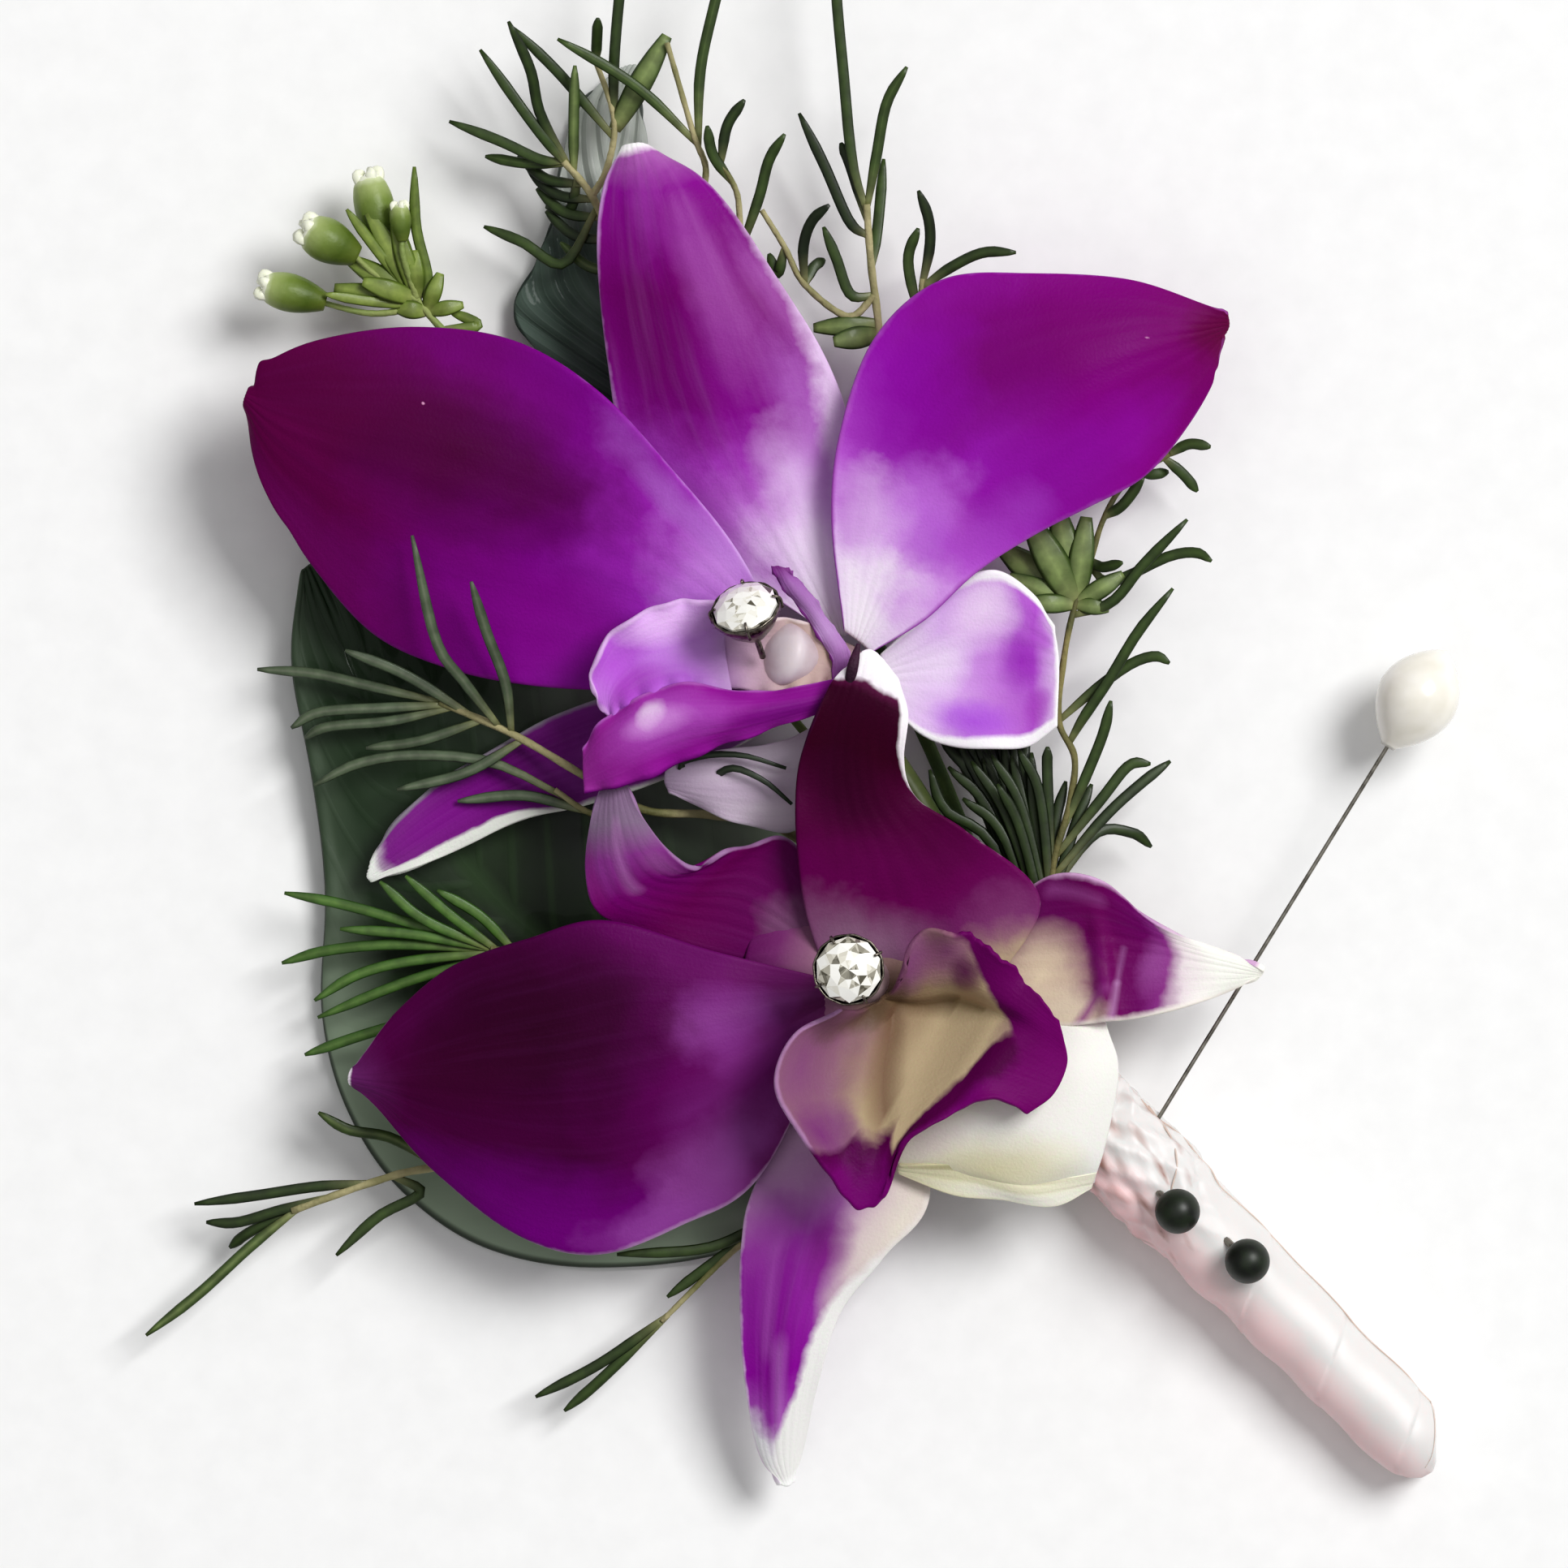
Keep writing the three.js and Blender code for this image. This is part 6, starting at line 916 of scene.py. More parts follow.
# Painted shade: the dark browns at the throat's foot (the first stops and the blush at u 0.05) and the brown lines
# along its creases.
lower_lip_skin = petal_skin(
    "lower_lip_skin", [(0.0, "#63503f"), (0.06, "#85705e"), (0.2, "#a08a70"), (0.45, "#b4a284"), (0.8, "#c0ae8e"), (1.0, "#6c0464")],
    blushes=[(0.16, 0.12, 0.26, 0.34, "#88507e", 0.95), (0.34, 0.1, 0.12, 0.2, "#7c307a", 0.9), (0.1, 0.9, 0.2, 0.26, "#94588a", 0.95),
             (0.36, 0.88, 0.28, 0.2, "#98568a", 0.92), (0.52, 0.78, 0.14, 0.12, "#6c205e", 0.9), (0.05, 0.5, 0.08, 0.5, "#5f4c3a", 0.8), (0.4, 0.2, 0.1, 0.1, "#7c3a76", 0.6),
             (0.62, 0.66, 0.16, 0.14, "#a0785e", 0.3)],
    creases=[((0.06, 0.57), (0.5, 0.57), 0.07, "#6c5840", 0.9), ((0.5, 0.57), (0.7, 0.56), 0.04, "#8c7a58", 0.7),
             ((0.1, 0.5), (0.46, 0.31), 0.07, "#755a48", 0.85)],
    hems=[("low", [(0.0, 0.02), (0.32, 0.02), (0.36, 0.0), (1.0, 0.0)], "#b48ab4", 0.02),
          ("low", [(0.0, 0.0), (0.33, 0.0), (0.4, 0.26), (0.56, 0.3), (0.6, 0.2), (0.68, 0.26), (0.8, 0.34), (0.85, 0.48), (1.0, 0.6)], "#560048", 0.06),
          ("low", [(0.0, 0.0), (0.33, 0.0), (0.4, 0.2), (0.56, 0.24), (0.62, 0.04), (0.76, 0.1), (0.86, 0.26), (1.0, 0.4)], "#74046c", 0.16),
          ("high", [(0.0, 0.0), (0.36, 0.02), (0.5, 0.1), (0.62, 0.22), (0.74, 0.32), (0.83, 0.46), (1.0, 0.8)], "#6c0460", 0.05),
          ("tip", [(0.0, 0.16), (0.5, 0.08), (1.0, 0.12)], "#740668", 0.05)],
    streak=("#8c7a60", 0.2, 30))


def ragged_rim(u, v):
    """How far the rim is drawn in or out across the sheet, so that it looks torn."""
    off = np.abs(2 * v - 1)
    teeth = 0.022 * np.sin(2 * math.pi * 7 * u + 0.8) + 0.012 * np.sin(2 * math.pi * 19 * u + 2.0)
    return teeth * off ** 6 * np.minimum(1, np.maximum(0, u - 0.3) * 6)


def throat_folds(u, v):
    """Two creases that run out of the throat, and a rim that rolls up and waves."""
    run = np.clip(u / 0.12, 0, 1) * np.clip((0.8 - u) / 0.15, 0, 1)
    fold = v - 0.5 + 0.58 * (u - 0.12)
    creases = (-0.4 * np.exp(-((v - 0.57) / 0.045) ** 2) * run
               - 0.45 * np.exp(-(fold / 0.04) ** 2) * np.clip((u - 0.08) / 0.06, 0, 1) * np.clip((0.56 - u) / 0.08, 0, 1)
               + 0.35 * np.exp(-((fold + 0.09) / 0.06) ** 2) * np.clip((0.5 - u) / 0.1, 0, 1))
    off = np.abs(2 * v - 1)
    return creases + 0.3 * off ** 5 * np.sin(2 * math.pi * 3.4 * u + 0.6) + 0.1 * np.sin(2 * math.pi * (2.1 * u + 1.3 * v))


leaf_of("lower_bloom_lip_sheet", lower_lip_rails, lower_lip_skin, "lower_bloom_lip", "lip_purple", along=100, across=56,
        thickness=0.4, relief=throat_folds, edge=ragged_rim)

# Lower bloom's chin: a white, waxy cup behind the lip that ends in a pale yellow fold, and the fold's outer lobe.
lower_chin_rails = [
    [[[10.4, -21.2, 8.8], [15.4, -21.2, 8.6], [18.6, -21.1, 8.2], [20.8, -21.1, 7.4]],
     [[10.2, -22.8, 10.6], [15.4, -22.9, 10.6], [18.6, -22.8, 10], [21.2, -22.7, 8.6]],
     [[11.4, -24.6, 11.6], [15, -25, 11.8], [18.8, -25.2, 11], [21.9, -25, 9]],
     [[9, -27.2, 10.8], [14.8, -28, 12], [18.4, -28.4, 11], [21.5, -28.2, 9.1]],
     [[7.4, -29.6, 10.1], [14, -30.6, 11.2], [17.6, -31.2, 10.6], [20.9, -31, 9]],
     [[6.6, -31.2, 9.5], [11.4, -31.9, 10], [15.6, -32.8, 9.8], [20.5, -32.4, 8.6]],
     [[6.6, -31.9, 8.8], [11.4, -32.7, 8.9], [15.7, -33.6, 8.8], [20.4, -33.1, 7.7]]],
    [[[6.7, -31.8, 9.5], [12, -31.7, 9.9], [16, -32.8, 9.7], [20.5, -32.2, 8.6]],
     [[6.6, -32.1, 9.3], [11.6, -32.8, 9.3], [15.8, -33.6, 9.4], [20.3, -33, 8.3]],
     [[6.6, -32.4, 9.2], [10.6, -34, 8.8], [14.4, -34.2, 8.8], [17.6, -34.7, 8.6], [20.2, -33.5, 8]]],
]
lower_chin_skins = [
    petal_skin("lower_chin_cup_skin", [(0.0, "#e6dfd4"), (0.2, "#efede6"), (1.0, "#ebeae5")],
               blushes=[(0.46, 0.8, 0.5, 0.26, "#e3ddb8", 0.95), (0.1, 0.7, 0.12, 0.2, "#d4c6c8", 0.6)],
               streak=("#e6e0c8", 0.1, 8), gloss=0.42, glow=0.3),
    # The fold's darker left end and the olive blush where it meets the cup are painted shade.
    petal_skin("lower_chin_fold_skin", [(0.0, "#cdc8ac"), (0.3, "#dcd8b8"), (0.7, "#e9e6cc"), (1.0, "#ecead8")],
               blushes=[(0.4, 0.12, 0.5, 0.2, "#b8b084", 0.8), (0.6, 0.8, 0.5, 0.3, "#efeee4", 0.9)],
               streak=("#d8d4b4", 0.1, 6), gloss=0.42, glow=0.3),
]
for i, (rails, skin) in enumerate(zip(lower_chin_rails, lower_chin_skins)):
    leaf_of(f"lower_bloom_chin_{i + 1}", rails, skin, "lower_bloom_chin", "chin_white", along=40, across=28,
            thickness=0.5, relief=petal_relief(0.14, 1.1, 0.8 + i, rib=0.008, ribs=3, rim=0.1 - 0.06 * i))

# Column and stalk of each bloom. The crystal's pin goes into the post's top.
UPPER_HUB, LOWER_HUB = [2.6, 2.5, 9.2], [4.6, -19.2, 8.6]
def column_of(bloom, slot_at, path, hub, top, head_radius):
    stalk_line = [*out_of(slot_at), *path, hub]
    shapes = [rod_mesh(stalk_line, 0.7, lambda s: 1 + 0.7 * s * s, sides=14, steps=50),
              rod_mesh([hub, [(hub[k] + top[k]) / 2 for k in range(3)], top], 1.9,
                       lambda s: (1 + (head_radius / 1.9 - 1) * s) * math.sqrt(max(0.05, 1 - max(0, (s - 0.8) / 0.2) ** 2)) * (1 + 0.05 * math.sin(9 * s)),
                       sides=28, steps=28),
              rod_mesh([[hub[0], hub[1], hub[2] - 1.5], hub, [hub[0] + 0.05, hub[1], hub[2] + 1.5]], 2.0,
                       lambda s: math.sqrt(max(0.02, 1 - (2 * s - 1) ** 2)), sides=24, steps=14)]
    new_piece(f"{bloom}_column_post", *many(shapes), column_flesh(f"{bloom}_column_flesh", "#a08488", "#bca4a8"),
              f"{bloom}_column", "column_cream")


heart_rails = [[[-3.4, -15.4, 9.4], [2.2, -14.6, 9.4], [8, -16, 9.2]],
               [[-4, -18.4, 9.6], [1.8, -18.2, 10.8], [8.4, -18.8, 10]],
               [[-2.6, -22, 9.6], [3.2, -21.8, 10.8], [7.4, -21.8, 10.6]]]
# The heart's brown far side (its last stops and the brown blush) is painted shadow beside the crystal; its plum foot is
# its own colour.
heart_skin = petal_skin("lower_bloom_heart_skin", [(0.0, "#6a1460"), (0.2, "#7c3672"), (0.45, "#9a7088"), (0.7, "#96787a"), (1.0, "#80685a")],
                        blushes=[(0.85, 0.8, 0.4, 0.4, "#7c6654", 0.95)], streak=("#a080a0", 0.15, 8))
leaf_of("lower_bloom_heart", heart_rails, heart_skin, "lower_bloom_column", "column_cream", along=40, across=32,
        thickness=0.5, relief=petal_relief(0.1, 1.0, 0.4, rim=0.1))
column_of("upper_bloom", (0.45, 1.45), [[14, -18, 6], [9, -8, 6.4], [4.6, -1.4, 7.4]], UPPER_HUB, [-2.3, 3.9, 13.1], 2.3)
column_of("lower_bloom", (-1.4, 1.4), [[14, -24, 6.4], [9.6, -22, 6.8]], LOWER_HUB, [3.4, -18.4, 15.6], 1.4)


# Crystals: one cut, faceted stone in each bloom, in a dark metal cup with a scalloped rim and prongs.
# Lead glass. The white, grey and dark look of its facets is painted reflection, a set shade on each face.
def cut_stone():
    material, tree = finish_tree("cut_crystal")
    at = put(tree, "TexCoord")
    facet_reflection = put(tree, "Attribute", attribute_name="facet_reflection")
    inside = put(tree, "TexVoronoi", {"Vector": at.outputs["Object"], "Scale": 1900.0}, feature="F1")
    level = put(tree, "SeparateXYZ", {"Vector": inside.outputs["Color"]})
    mixed = put(tree, "Math", {0: level.outputs["X"], 1: 0.3, 2: facet_reflection.outputs["Fac"]}, operation="MULTIPLY_ADD")
    # Painted reflections: each of the stone's faces and small shards gets a shade from dark grey to white.
    painted_reflections = put(tree, "ValToRGB", {"Fac": mixed.outputs[0]}, stops=[
        (0.2, "#5f5b4c"), (0.27, "#8f8b7c"), (0.38, "#c9c5b6"), (0.55, "#efecdf"), (0.8, "#fdfcf6")])
    stone = put(tree, "BsdfPrincipled", {"Base Color": painted_reflections.outputs[0], "Roughness": 0.12, "IOR": 1.65,
                                         "Coat Weight": 0.5, "Coat Roughness": 0.05})
    put(tree, "OutputMaterial", {"Surface": stone.outputs[0]})
    return material


def setting_metal():
    material, tree = finish_tree("gunmetal_setting")
    at = put(tree, "TexCoord")
    cast = put(tree, "TexNoise", {"Vector": at.outputs["Object"], "Scale": 2500.0, "Detail": 4.0})
    shade = put(tree, "ValToRGB", {"Fac": cast.outputs["Fac"]}, stops=[(0.35, "#57524a"), (0.65, "#8a8379")])
    rough = put(tree, "ValToRGB", {"Fac": cast.outputs["Fac"]}, stops=[(0.3, 0.2), (0.7, 0.42)])
    metal = put(tree, "BsdfPrincipled", {"Base Color": shade.outputs[0], "Metallic": 1.0, "Roughness": rough.outputs[0]})
    put(tree, "OutputMaterial", {"Surface": metal.outputs[0]})
    return material


crystal_glass, gunmetal = cut_stone(), setting_metal()


def on_axis(at, direction, turned_points):
    """Points given as (across, across, along an axis), placed at a point with the axis in a direction."""
    z = np.array(direction, float) / np.linalg.norm(direction)
    x = np.cross(z, [0.3, 1, 0.2])
    x /= np.linalg.norm(x)
    return np.asarray(at) + np.asarray(turned_points) @ np.stack([x, np.cross(z, x), z])


def crystal_of(name, at, direction, post, reflection_brightness):
    r, around = 2.3, 10
    tiers = [(0.55, -0.75, 0.5), (1.0, 0.04, 0.0), (1.0, 0.26, 0.0), (0.84, 0.56, 0.5), (0.58, 0.86, 0.0), (0.3, 1.0, 0.5)]
    points = [(r * q * math.cos(a), r * q * math.sin(a), h) for q, h, turn in tiers
              for a in (2 * math.pi * (k + turn) / around for k in range(around))] + [(0, 0, -1.5), (0, 0, 1.03)]
    faces = []
    for k in range(around):
        n = (k + 1) % around
        a, b, c, d, e, f = ((tier * around + k, tier * around + n) for tier in range(6))
        faces += [(len(points) - 2, a[1], a[0]), (a[0], a[1], b[1]), (a[0], b[1], b[0]), (b[0], b[1], c[1], c[0]),
                  (c[0], c[1], d[0]), (d[0], c[1], d[1]), (d[0], d[1], e[1]), (d[0], e[1], e[0]),
                  (e[0], e[1], f[0]), (f[0], e[1], f[1]), (f[0], f[1], len(points) - 1)]
    stone = new_piece(f"{name}_stone", on_axis(at, direction, points), faces, crystal_glass, name, "crystal_clear", smooth=False)
    # A random share of the painted reflections for each of the stone's faces.
    reflection_tones = np.clip(chance.uniform(0, 1, len(faces)) ** (1 / reflection_brightness), 0, 1)
    stone.data.attributes.new("facet_reflection", "FLOAT", "FACE").data.foreach_set("value", reflection_tones)
    cup = [(0, -2.5), (0.9, -2.5), (1.8, -1.4), (2.44, -0.3), (2.48, 0.0), (2.48, 0.1), (2.42, 0.18), (2.34, 0.14),
           (2.32, 0.0), (1.5, -1.0), (0.5, -1.75), (0, -1.8)]
    sides = 48
    ring_points = [(q * (1 + 0.012 * math.sin(12 * a) * (q > 2)) * math.cos(a), q * (1 + 0.012 * math.sin(12 * a) * (q > 2)) * math.sin(a), h)
                   for q, h in cup for a in (2 * math.pi * k / sides for k in range(sides))]
    cup_faces = [(i * sides + k, i * sides + (k + 1) % sides, (i + 1) * sides + (k + 1) % sides, (i + 1) * sides + k)
                 for i in range(len(cup) - 1) for k in range(sides)]
    shapes = [(on_axis(at, direction, ring_points), cup_faces)]
    for k in range(4):
        a = math.pi / 4 + math.pi / 2 * k
        prong = on_axis(at, direction, [(h * math.cos(a), h * math.sin(a), z) for h, z in ((2.48, -0.6), (2.52, 0.2), (2.3, 0.5), (2.02, 0.6))])
        shapes.append(rod_mesh(prong, 0.13, lambda s: 1 - 0.3 * s, sides=8, steps=10))
    foot = on_axis(at, direction, [(0, 0, -2.3), (0, 0, -2.3 - post / 2), (0.05, 0, -2.3 - post)])
    shapes.append(rod_mesh(foot, 0.22, lambda s: 1, sides=10, steps=4))
    new_piece(f"{name}_setting_cup", *many(shapes), gunmetal, f"{name}_setting", "setting_metal")


crystal_of("upper_bloom_crystal", [-3.9, 6.7, 17.4], [-0.25, 0.68, 0.69], 2.6, 1.6)
crystal_of("lower_bloom_crystal", [3.2, -18.2, 18.6], [0, 0, 1], 3, 1.1)


# Stem bundle: the cut stems, held together inside the ribbon. Green, fibrous, with pale cut ends
# that show at the top of the wrap between the stems that come out of it.
bundle_bark = stem_bark("cut_stem_bark", "#5f7340", "#9aa068", 0.35, gloss=0.6)
SLOTS = [(-1.35, -1.68), (0, -1.68), (1.35, -1.68), (-2.2, 0.05), (-1.1, -0.42), (0, 0.05), (1.1, -0.42),
         (2.2, 0.05), (-1.4, 1.4), (0.45, 1.45), (1.9, 1.1)]
bundle = [rod_mesh([on_wrap(-1.5 + 30 * t, x * (1 - 0.4 * t), y * (1 - 0.4 * t)) for t in (0, 0.5, 1)], 0.7,
                   lambda s: (1 - 0.4 * s) * (1 + 0.03 * math.sin(60 * s)), sides=12, steps=30) for x, y in SLOTS]
bundle.append(rod_mesh([on_wrap(-1.5 + 30 * t, 0, 0) for t in (0, 0.5, 1)], 2.1, lambda s: 1 - 0.4 * s, sides=12, steps=10))
new_piece("cut_stems", *many(bundle), bundle_bark, "stem_bundle", "cut_stem")


# Ribbon wrap: pale pink double-faced satin, wound tightly round the stems from the lower end up, its turns
# overlapping, gathered into puckers at the top where its end is tucked in and pinned.
def satin(name):
    """Satin weave: long floats across the ribbon give a soft sheen in one direction, on a very fine grain."""
    material, tree = finish_tree(name)
    at = put(tree, "TexCoord")
    uv = put(tree, "SeparateXYZ", {"Vector": at.outputs["UV"]})
    place = put(tree, "SeparateXYZ", {"Vector": at.outputs["Object"]})
    # Painted light: the lower left side, away from the key light, is painted a lighter pink and the upper right side a
    # greyer white, evening out the shading. The pink is the ribbon's own tint.
    painted_light_toward_key = put(tree, "Math", {0: place.outputs["X"], 1: place.outputs["Y"]}, operation="ADD")
    side = put(tree, "MapRange", {"Value": painted_light_toward_key.outputs[0], "From Min": -0.0130, "From Max": -0.0050})
    cloud = put(tree, "TexNoise", {"Vector": at.outputs["Object"], "Scale": 240.0, "Detail": 3.0})
    mixed = put(tree, "Math", {0: cloud.outputs["Fac"], 1: 0.35, 2: side.outputs[0]}, operation="MULTIPLY_ADD")
    pink = put(tree, "ValToRGB", {"Fac": mixed.outputs[0]}, stops=[(0.15, "#ffd2d4"), (0.4, "#fadcdc"), (0.7, "#e4e1df")])
    # Painted shade: the puckers' hollows (the crease attribute) turn brownish.
    crease = put(tree, "Attribute", attribute_name="crease")
    painted_pucker_shade = put(tree, "ValToRGB", {"Fac": crease.outputs["Fac"]}, stops=[(0.2, 0.0), (0.75, 0.5), (1.0, 0.9)])
    pink = put(tree, "MixRGB", {"Fac": painted_pucker_shade.outputs[0], "Color1": pink.outputs[0], "Color2": colour("#a87c70")})
    floats = put(tree, "CombineXYZ", {"X": uv.outputs["X"], "Y": uv.outputs["Y"]})
    grain_at = put(tree, "VectorMath", {0: floats.outputs[0], 1: (160.0, 900.0, 0)}, operation="MULTIPLY")
    grain = put(tree, "TexNoise", {"Vector": grain_at.outputs[0], "Scale": 1.0, "Detail": 2.0})
    bump = put(tree, "Bump", {"Height": grain.outputs["Fac"], "Strength": 0.2, "Distance": 0.00006})
    cloth = put(tree, "BsdfPrincipled", {"Base Color": pink.outputs[0], "Roughness": 0.36, "Normal": bump.outputs[0],
                                         "IOR": 1.5, "Sheen Weight": 0.3, "Sheen Roughness": 0.35, "Anisotropic": 0.4,
                                         "Subsurface Weight": 0.6, "Subsurface Radius": (0.005, 0.003, 0.003)})
    put(tree, "OutputMaterial", {"Surface": cloth.outputs[0]})
    return material


wrap_satin = satin("pink_satin")
WRAP_STEPS, WRAP_ROUND = 220, 96


def puckers(s, angle):
    """The gathers at the top of the wrap, in millimetres, dying out towards the second pin."""
    top = np.clip((12 - s) / 8, 0, 1)
    ridges = 1 - 2 * np.abs(np.sin(3.5 * angle + 0.5 * s + 0.6 * np.sin(0.9 * s)))
    small = 1 - 2 * np.abs(np.sin(6 * angle - 0.8 * s + 1.1))
    return top * (0.28 * ridges * np.cos(0.4 * s + 0.8) + 0.16 * small + 0.06 * np.sin(15 * angle + 1.3 * s))


def wrap_radius(s, angle):
    """The satin's outer radius: the turns' overlapping edges, and puckers at the gathered top."""
    turn = (s / 7.5 + angle / (2 * math.pi)) % 1.0
    step = 0.05 * turn - 0.03 * np.exp(-((turn - 0.02) / 0.05) ** 2)
    end = np.clip((s - 28.6) / 4.2, 0, 1)
    waves = 0.06 * np.sin(0.9 * s + 2 * angle) + 0.1 * np.sin(1.15 * s) * np.clip(-np.sin(angle), 0, 1) ** 2
    return (np.interp(s, [-6, 4, 8, 14, 25, 37.6], [3.75, 3.75, 3.5, 3.34, 3.1, 2.95]) * (1 - 0.3 * end ** 4)
            + step + waves - 0.2 + 0.8 * puckers(s, angle))


def wrap_sheet():
    s = np.linspace(0, 1, WRAP_STEPS + 1)
    angle = np.linspace(0, 2 * math.pi, WRAP_ROUND, endpoint=False)
    ss, aa = np.meshgrid(s, angle, indexing="ij")
    across_0 = np.sin(aa) * 3.4
    start = -1.1 + across_0 * -1.0
    finish = np.interp(across_0, [-3.4, -3.3, -3, -2.4, -1.2, 0.2, 2.5, 3.4], [30.4, 31.2, 32.1, 32.7, 32.9, 32.5, 30.6, 29.8])
    along = start + (finish - start) * ss
    r = wrap_radius(along, aa)
    x_across, above = r * np.sin(aa), r * np.cos(aa)
    axis = np.interp(along, [-6, 4, 8, 14, 25, 37.6], [3.75, 3.75, 3.5, 3.3, 3.05, 2.85]) * math.cos(math.pi / 16)
    z = np.maximum(axis + above, 0.05)
    return np.stack([WRAP_TOP[0] + DIAGONAL * (along + x_across), WRAP_TOP[1] + DIAGONAL * (x_across - along), z], axis=2)


wrap_grid = wrap_sheet()
END_FOLD = [(0.95, 0.22), (0.84, 0.42), (0.68, 0.56), (0.5, 0.63), (0.34, 0.66), (0.18, 0.68), (0.04, 0.69)]
rim = wrap_grid[-1]
for share, out in END_FOLD:
    ring = rim.mean(axis=0) + (rim - rim.mean(axis=0)) * share + np.array([DIAGONAL, -DIAGONAL, 0]) * out
    wrap_grid = np.concatenate([wrap_grid, ring[None]])
wrap_faces = [(i * WRAP_ROUND + j, (i + 1) * WRAP_ROUND + j, (i + 1) * WRAP_ROUND + (j + 1) % WRAP_ROUND, i * WRAP_ROUND + (j + 1) % WRAP_ROUND)
              for i in range(len(wrap_grid) - 1) for j in range(WRAP_ROUND)]
wrap_faces.append(tuple((len(wrap_grid) - 1) * WRAP_ROUND + j for j in reversed(range(WRAP_ROUND))))
ribbon = new_piece("satin_ribbon", wrap_grid.reshape(-1, 3), wrap_faces, wrap_satin, "ribbon_wrap", "ribbon_satin")
gathers = puckers(np.linspace(-1.1, 31.7, len(wrap_grid))[:, None], np.linspace(0, 2 * math.pi, WRAP_ROUND, endpoint=False)[None, :])
# The crease attribute marks the puckers' hollows, for the satin's painted shade.
ribbon.data.attributes.new("crease", "FLOAT", "POINT").data.foreach_set("value", np.clip(-gathers * 2.6, 0, 1).ravel())
ribbon_uv = ribbon.data.uv_layers.new(name="ribbon")
for loop in ribbon.data.loops:
    i, j = divmod(loop.vertex_index, WRAP_ROUND)
    ribbon_uv.data[loop.index].uv = (i / WRAP_STEPS, j / WRAP_ROUND)
weave = ribbon.modifiers.new("thickness", "SOLIDIFY")
weave.thickness, weave.offset = 0.3 * MM, -1
seam_tan = stem_bark("ribbon_selvedge", "#cdb6aa", "#e0d0c6", 0.3, gloss=0.5)


def on_satin(s, degrees):
    angle = math.radians(degrees)
    r = float(wrap_radius(np.array(s), np.array(angle))) + 0.03
    across, above = r * math.sin(angle), r * math.cos(angle)
    return [WRAP_TOP[0] + DIAGONAL * (s + across), WRAP_TOP[1] + DIAGONAL * (across - s),
            float(np.interp(s, [-6, 4, 8, 14, 25, 37.6], [3.75, 3.75, 3.5, 3.3, 3.05, 2.85])) * math.cos(math.pi / 16) + above]


selvedge = [rod_mesh([on_satin(s, 78 + 5 * math.sin(0.5 * s)) for s in np.linspace(1, 29.6, 24)], 0.06, lambda s: 1, sides=6, steps=160),
            rod_mesh([on_satin(s, a) for s, a in ((-3.6, 84), (-1, 82), (1.4, 74), (3.6, 58), (5.2, 34), (6.2, 8))], 0.11,
                     lambda s: 1 - 0.5 * s, sides=6, steps=40),
            rod_mesh([on_satin(s, a) for s, a in ((29.6, 80), (30.4, 55), (31.4, 30), (32.2, 5), (32.5, -20))], 0.05,
                     lambda s: 1 - 0.6 * s, sides=6, steps=40)]
ribbon_edge = new_piece("ribbon_selvedge_line", *many(selvedge), seam_tan, "ribbon_wrap", "ribbon_satin")


# Ball-headed pins: two round heads, dark green lacquer that looks black, on steel shafts pushed into
# the wrap at a slant.
def lacquer(name, deep, light, rough):
    material, tree = finish_tree(name)
    at = put(tree, "TexCoord")
    cloud = put(tree, "TexNoise", {"Vector": at.outputs["Object"], "Scale": 900.0, "Detail": 3.0})
    shade = put(tree, "ValToRGB", {"Fac": cloud.outputs["Fac"]}, stops=[(0.35, deep), (0.7, light)])
    orange_peel = put(tree, "Bump", {"Height": cloud.outputs["Fac"], "Strength": 0.12, "Distance": 0.0001})
    worn = put(tree, "ValToRGB", {"Fac": cloud.outputs["Fac"]}, stops=[(0.3, rough), (0.7, rough + 0.12)])
    coat = put(tree, "BsdfPrincipled", {"Base Color": shade.outputs[0], "Roughness": worn.outputs[0], "IOR": 1.5,
                                        "Normal": orange_peel.outputs[0], "Coat Weight": 0.12, "Coat Roughness": 0.25})
    put(tree, "OutputMaterial", {"Surface": coat.outputs[0]})
    return material


def drawn_steel():
    material, tree = finish_tree("drawn_steel_wire")
    at = put(tree, "TexCoord")
    drawn = put(tree, "TexNoise", {"Vector": at.outputs["Object"], "Scale": 1500.0, "Detail": 2.0})
    shade = put(tree, "ValToRGB", {"Fac": drawn.outputs["Fac"]}, stops=[(0.3, "#7c7870"), (0.7, "#a8a49a")])
    rough = put(tree, "ValToRGB", {"Fac": drawn.outputs["Fac"]}, stops=[(0.3, 0.25), (0.7, 0.4)])
    metal = put(tree, "BsdfPrincipled", {"Base Color": shade.outputs[0], "Metallic": 1.0, "Roughness": rough.outputs[0]})
    put(tree, "OutputMaterial", {"Surface": metal.outputs[0]})
    return material


black_green, steel_wire = lacquer("black_green_lacquer", "#0a1006", "#1a2810", 0.42), drawn_steel()


def dress(node, finish):
    """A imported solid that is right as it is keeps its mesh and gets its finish."""
    for material_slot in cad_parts[node].material_slots:
        material_slot.material = finish


def turned_head(name, at, direction, profile, finish, node, slot, sides=40):
    points = [(q * math.cos(a), q * math.sin(a), h) for q, h in profile for a in (2 * math.pi * k / sides for k in range(sides))]
    faces = [(i * sides + k, i * sides + (k + 1) % sides, (i + 1) * sides + (k + 1) % sides, (i + 1) * sides + k)
             for i in range(len(profile) - 1) for k in range(sides)]
    return new_piece(name, on_axis(at, direction, points), faces, finish, node, slot)


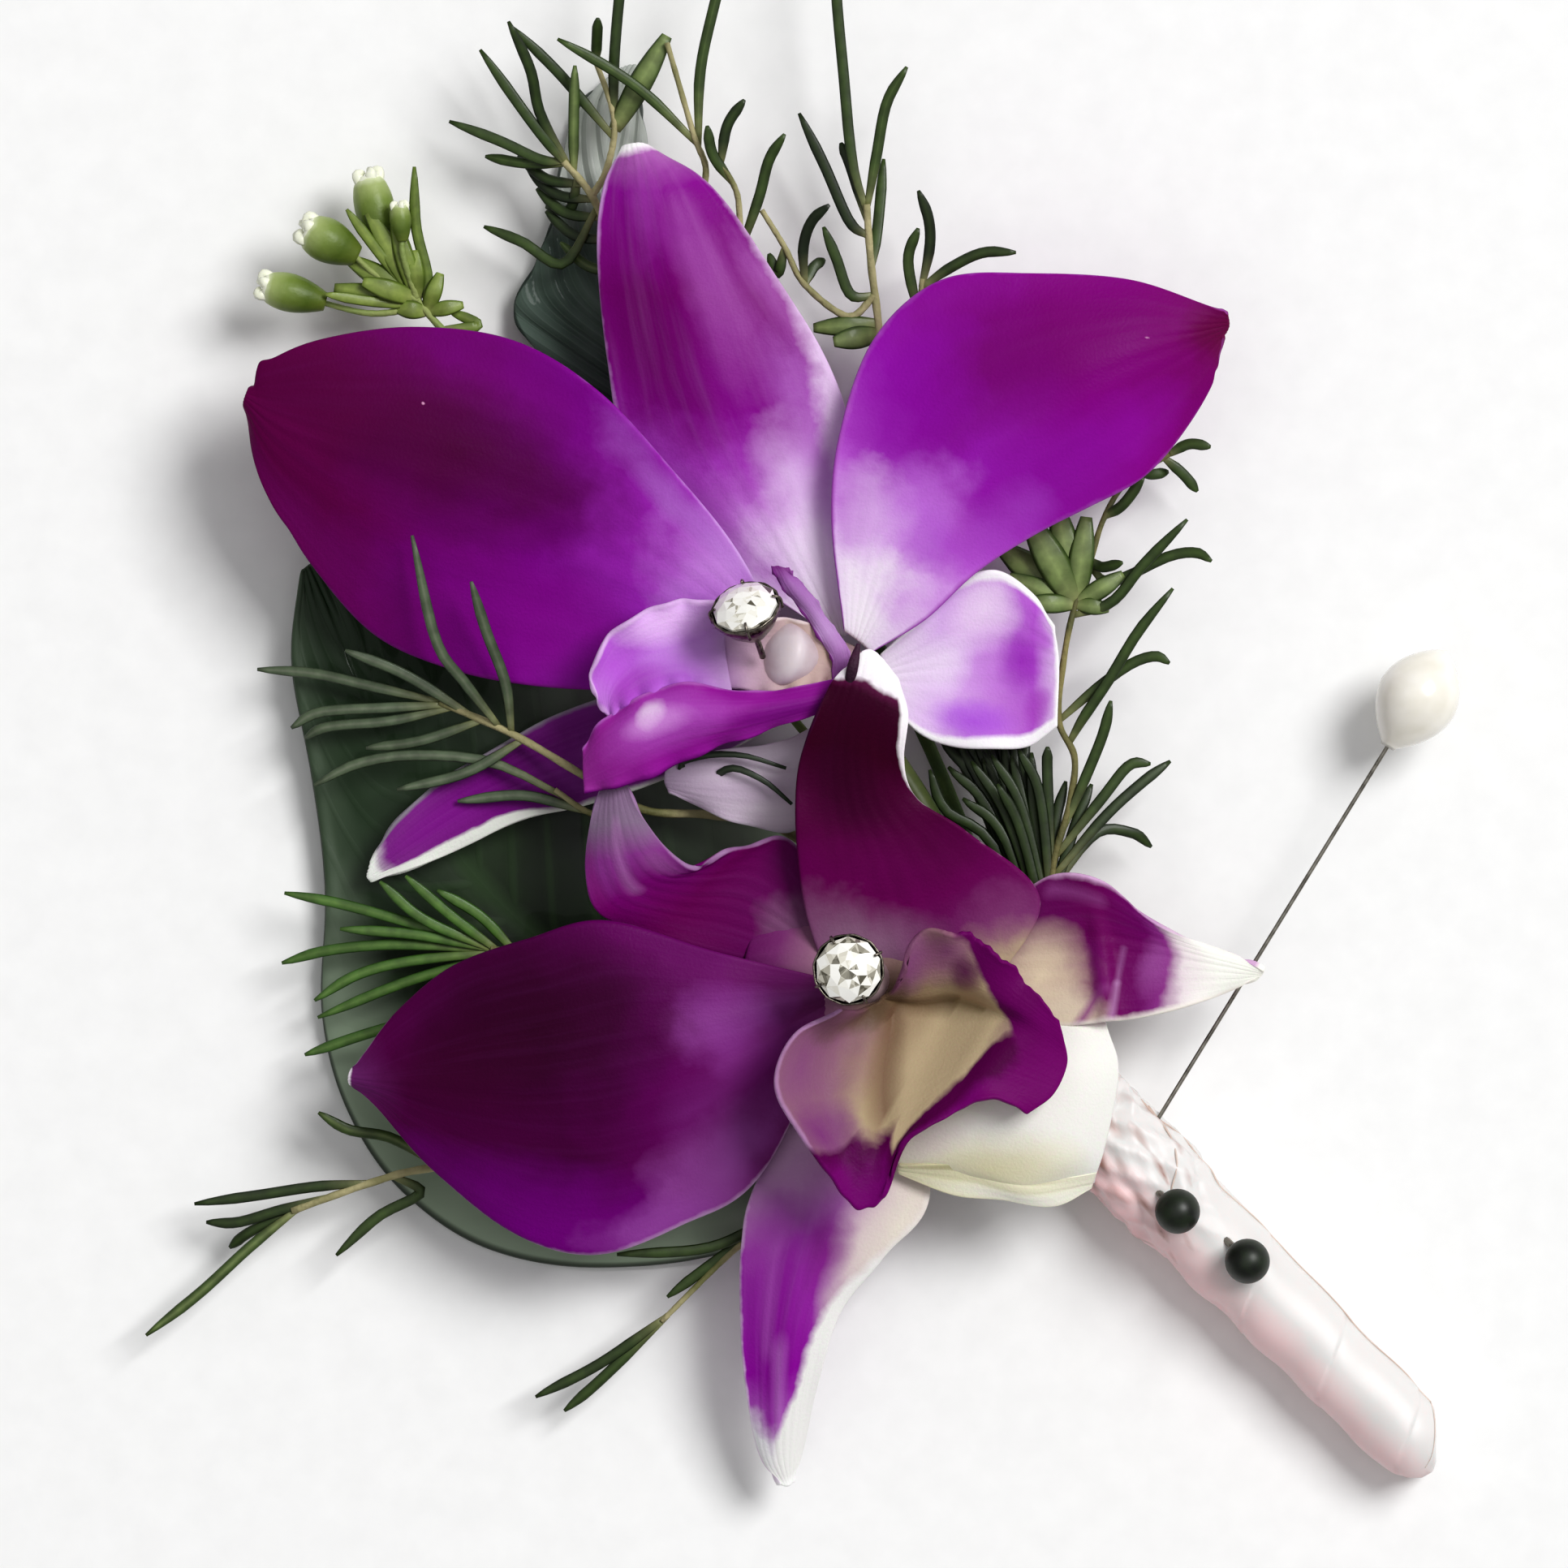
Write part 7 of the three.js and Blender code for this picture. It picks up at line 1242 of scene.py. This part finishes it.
BALL_RADIUS = 1.57
for i, (s, across) in enumerate(((7.5, -0.28), (13.4, 0.7)), start=1):
    height = float(np.interp(s, [4, 8, 14, 25], [3.75, 3.5, 3.3, 3.05])) + BALL_RADIUS + 0.3
    centre = np.array(on_wrap(s, across, height))
    down = np.array(on_wrap(s - 8.6 * math.cos(0.84), across, height - 8.6 * math.sin(0.84))) - centre
    arc = [(max(0.3 * (k == 0), BALL_RADIUS * math.sin(math.pi * k / 24)), -BALL_RADIUS * math.cos(math.pi * k / 24)) for k in range(25)]
    arc = [(0.55, -BALL_RADIUS * 0.9 + 0.8), (0.55, -BALL_RADIUS * 0.93)] + [p for p in arc if p[0] > 0.6 or p[1] > 0]
    turned_head(f"ball_pin_{i}_ball", centre, -down, arc, black_green, f"ball_pin_{i}_head", "ball_dark")
    dress(f"ball_pin_{i}_shaft", steel_wire)


# Pearl-headed pin: an ivory drop with a pearly lacquer on a long steel shaft that is pushed sideways
# into the wrap and passes under the right sepal's tip.
def pearl_lacquer():
    material, tree = finish_tree("ivory_pearl_lacquer")
    at = put(tree, "TexCoord")
    cloud = put(tree, "TexNoise", {"Vector": at.outputs["Object"], "Scale": 260.0, "Detail": 3.0})
    ivory = put(tree, "ValToRGB", {"Fac": cloud.outputs["Fac"]}, stops=[(0.3, "#e8e3d4"), (0.55, "#f6f2e8"), (0.75, "#fdfbf5")])
    fine = put(tree, "TexNoise", {"Vector": at.outputs["Object"], "Scale": 3000.0})
    bump = put(tree, "Bump", {"Height": fine.outputs["Fac"], "Strength": 0.05, "Distance": 0.00005})
    coat = put(tree, "BsdfPrincipled", {"Base Color": ivory.outputs[0], "Roughness": 0.22, "IOR": 1.55, "Normal": bump.outputs[0],
                                        "Coat Weight": 0.6, "Coat Roughness": 0.12, "Sheen Weight": 0.1,
                                        "Subsurface Weight": 0.1, "Subsurface Radius": (0.001, 0.001, 0.0008)})
    put(tree, "OutputMaterial", {"Surface": coat.outputs[0]})
    return material


PEARL_AT, PIN_ENTRY = np.array([42.85, 0.5, 5.2]), np.array([25.2, -28.2, 4.2])
pearl_profile = [(0.5, -0.3), (0.5, -3.9)] + [
    (2.85 * math.sin(math.pi * t) ** 0.72 * (0.94 + 0.12 * t), 8 * (t - 0.5)) for t in (0.04 + 0.96 * k / 32 for k in range(33))]
turned_head("pearl_drop", PEARL_AT, PEARL_AT - PIN_ENTRY, pearl_profile, pearl_lacquer(), "pearl_pin_head", "pearl_ivory", sides=48)
pin_line = [PIN_ENTRY + (PEARL_AT - PIN_ENTRY) * t for t in (-0.09, 0.45, 0.97)]
new_piece("pearl_pin_wire", *rod_mesh(pin_line, 0.15, lambda s: 0.35 + 0.65 * min(1, s / 0.06), sides=12, steps=60),
          steel_wire, "pearl_pin_shaft", "pin_steel")


# Studio: a plain, pale, matt sheet under the object, lit softly from the right and above, so that the
# shadows fall short and soft to the left. The floor lies under everything and is not part of the object.
def paper_floor():
    material, tree = finish_tree("pale_backdrop")
    at = put(tree, "TexCoord")
    fibre = put(tree, "TexNoise", {"Vector": at.outputs["Object"], "Scale": 400.0, "Detail": 4.0})
    tone = put(tree, "ValToRGB", {"Fac": fibre.outputs["Fac"]}, stops=[(0.3, "#f4f4f3"), (0.7, "#f8f8f7")])
    paper = put(tree, "BsdfPrincipled", {"Base Color": tone.outputs[0], "Roughness": 0.9})
    put(tree, "OutputMaterial", {"Surface": paper.outputs[0]})
    return material


floor_mesh = bpy.data.meshes.new("floor")
floor_mesh.from_pydata([(-3, -3, -0.0001), (3, -3, -0.0001), (3, 3, -0.0001), (-3, 3, -0.0001)], [], [(0, 1, 2, 3)])
floor_mesh.materials.append(paper_floor())
floor = bpy.data.objects.new("floor", floor_mesh)
bpy.context.scene.collection.objects.link(floor)


def softbox(name, place, size, power, tint="#ffffff"):
    lamp = bpy.data.lights.new(name, "AREA")
    lamp.shape, lamp.size, lamp.size_y, lamp.energy = "RECTANGLE", size[0], size[1], power
    lamp.color = colour(tint)[:3]
    holder = bpy.data.objects.new(name, lamp)
    bpy.context.scene.collection.objects.link(holder)
    holder.location = place
    holder.rotation_euler = (-Vector(place)).to_track_quat("-Z", "Y").to_euler()


softbox("key_light", (1.0, 0.72, 1.68), (0.9, 0.9), 30.0)
softbox("overhead_fill", (-0.3, 0.0, 1.6), (1.6, 1.6), 3.3)
world = bpy.data.worlds.new("studio_air")
world.use_nodes = True
world.node_tree.nodes["Background"].inputs["Color"].default_value = colour("#f6f6f8")
world.node_tree.nodes["Background"].inputs["Strength"].default_value = 0.27
bpy.context.scene.world = world
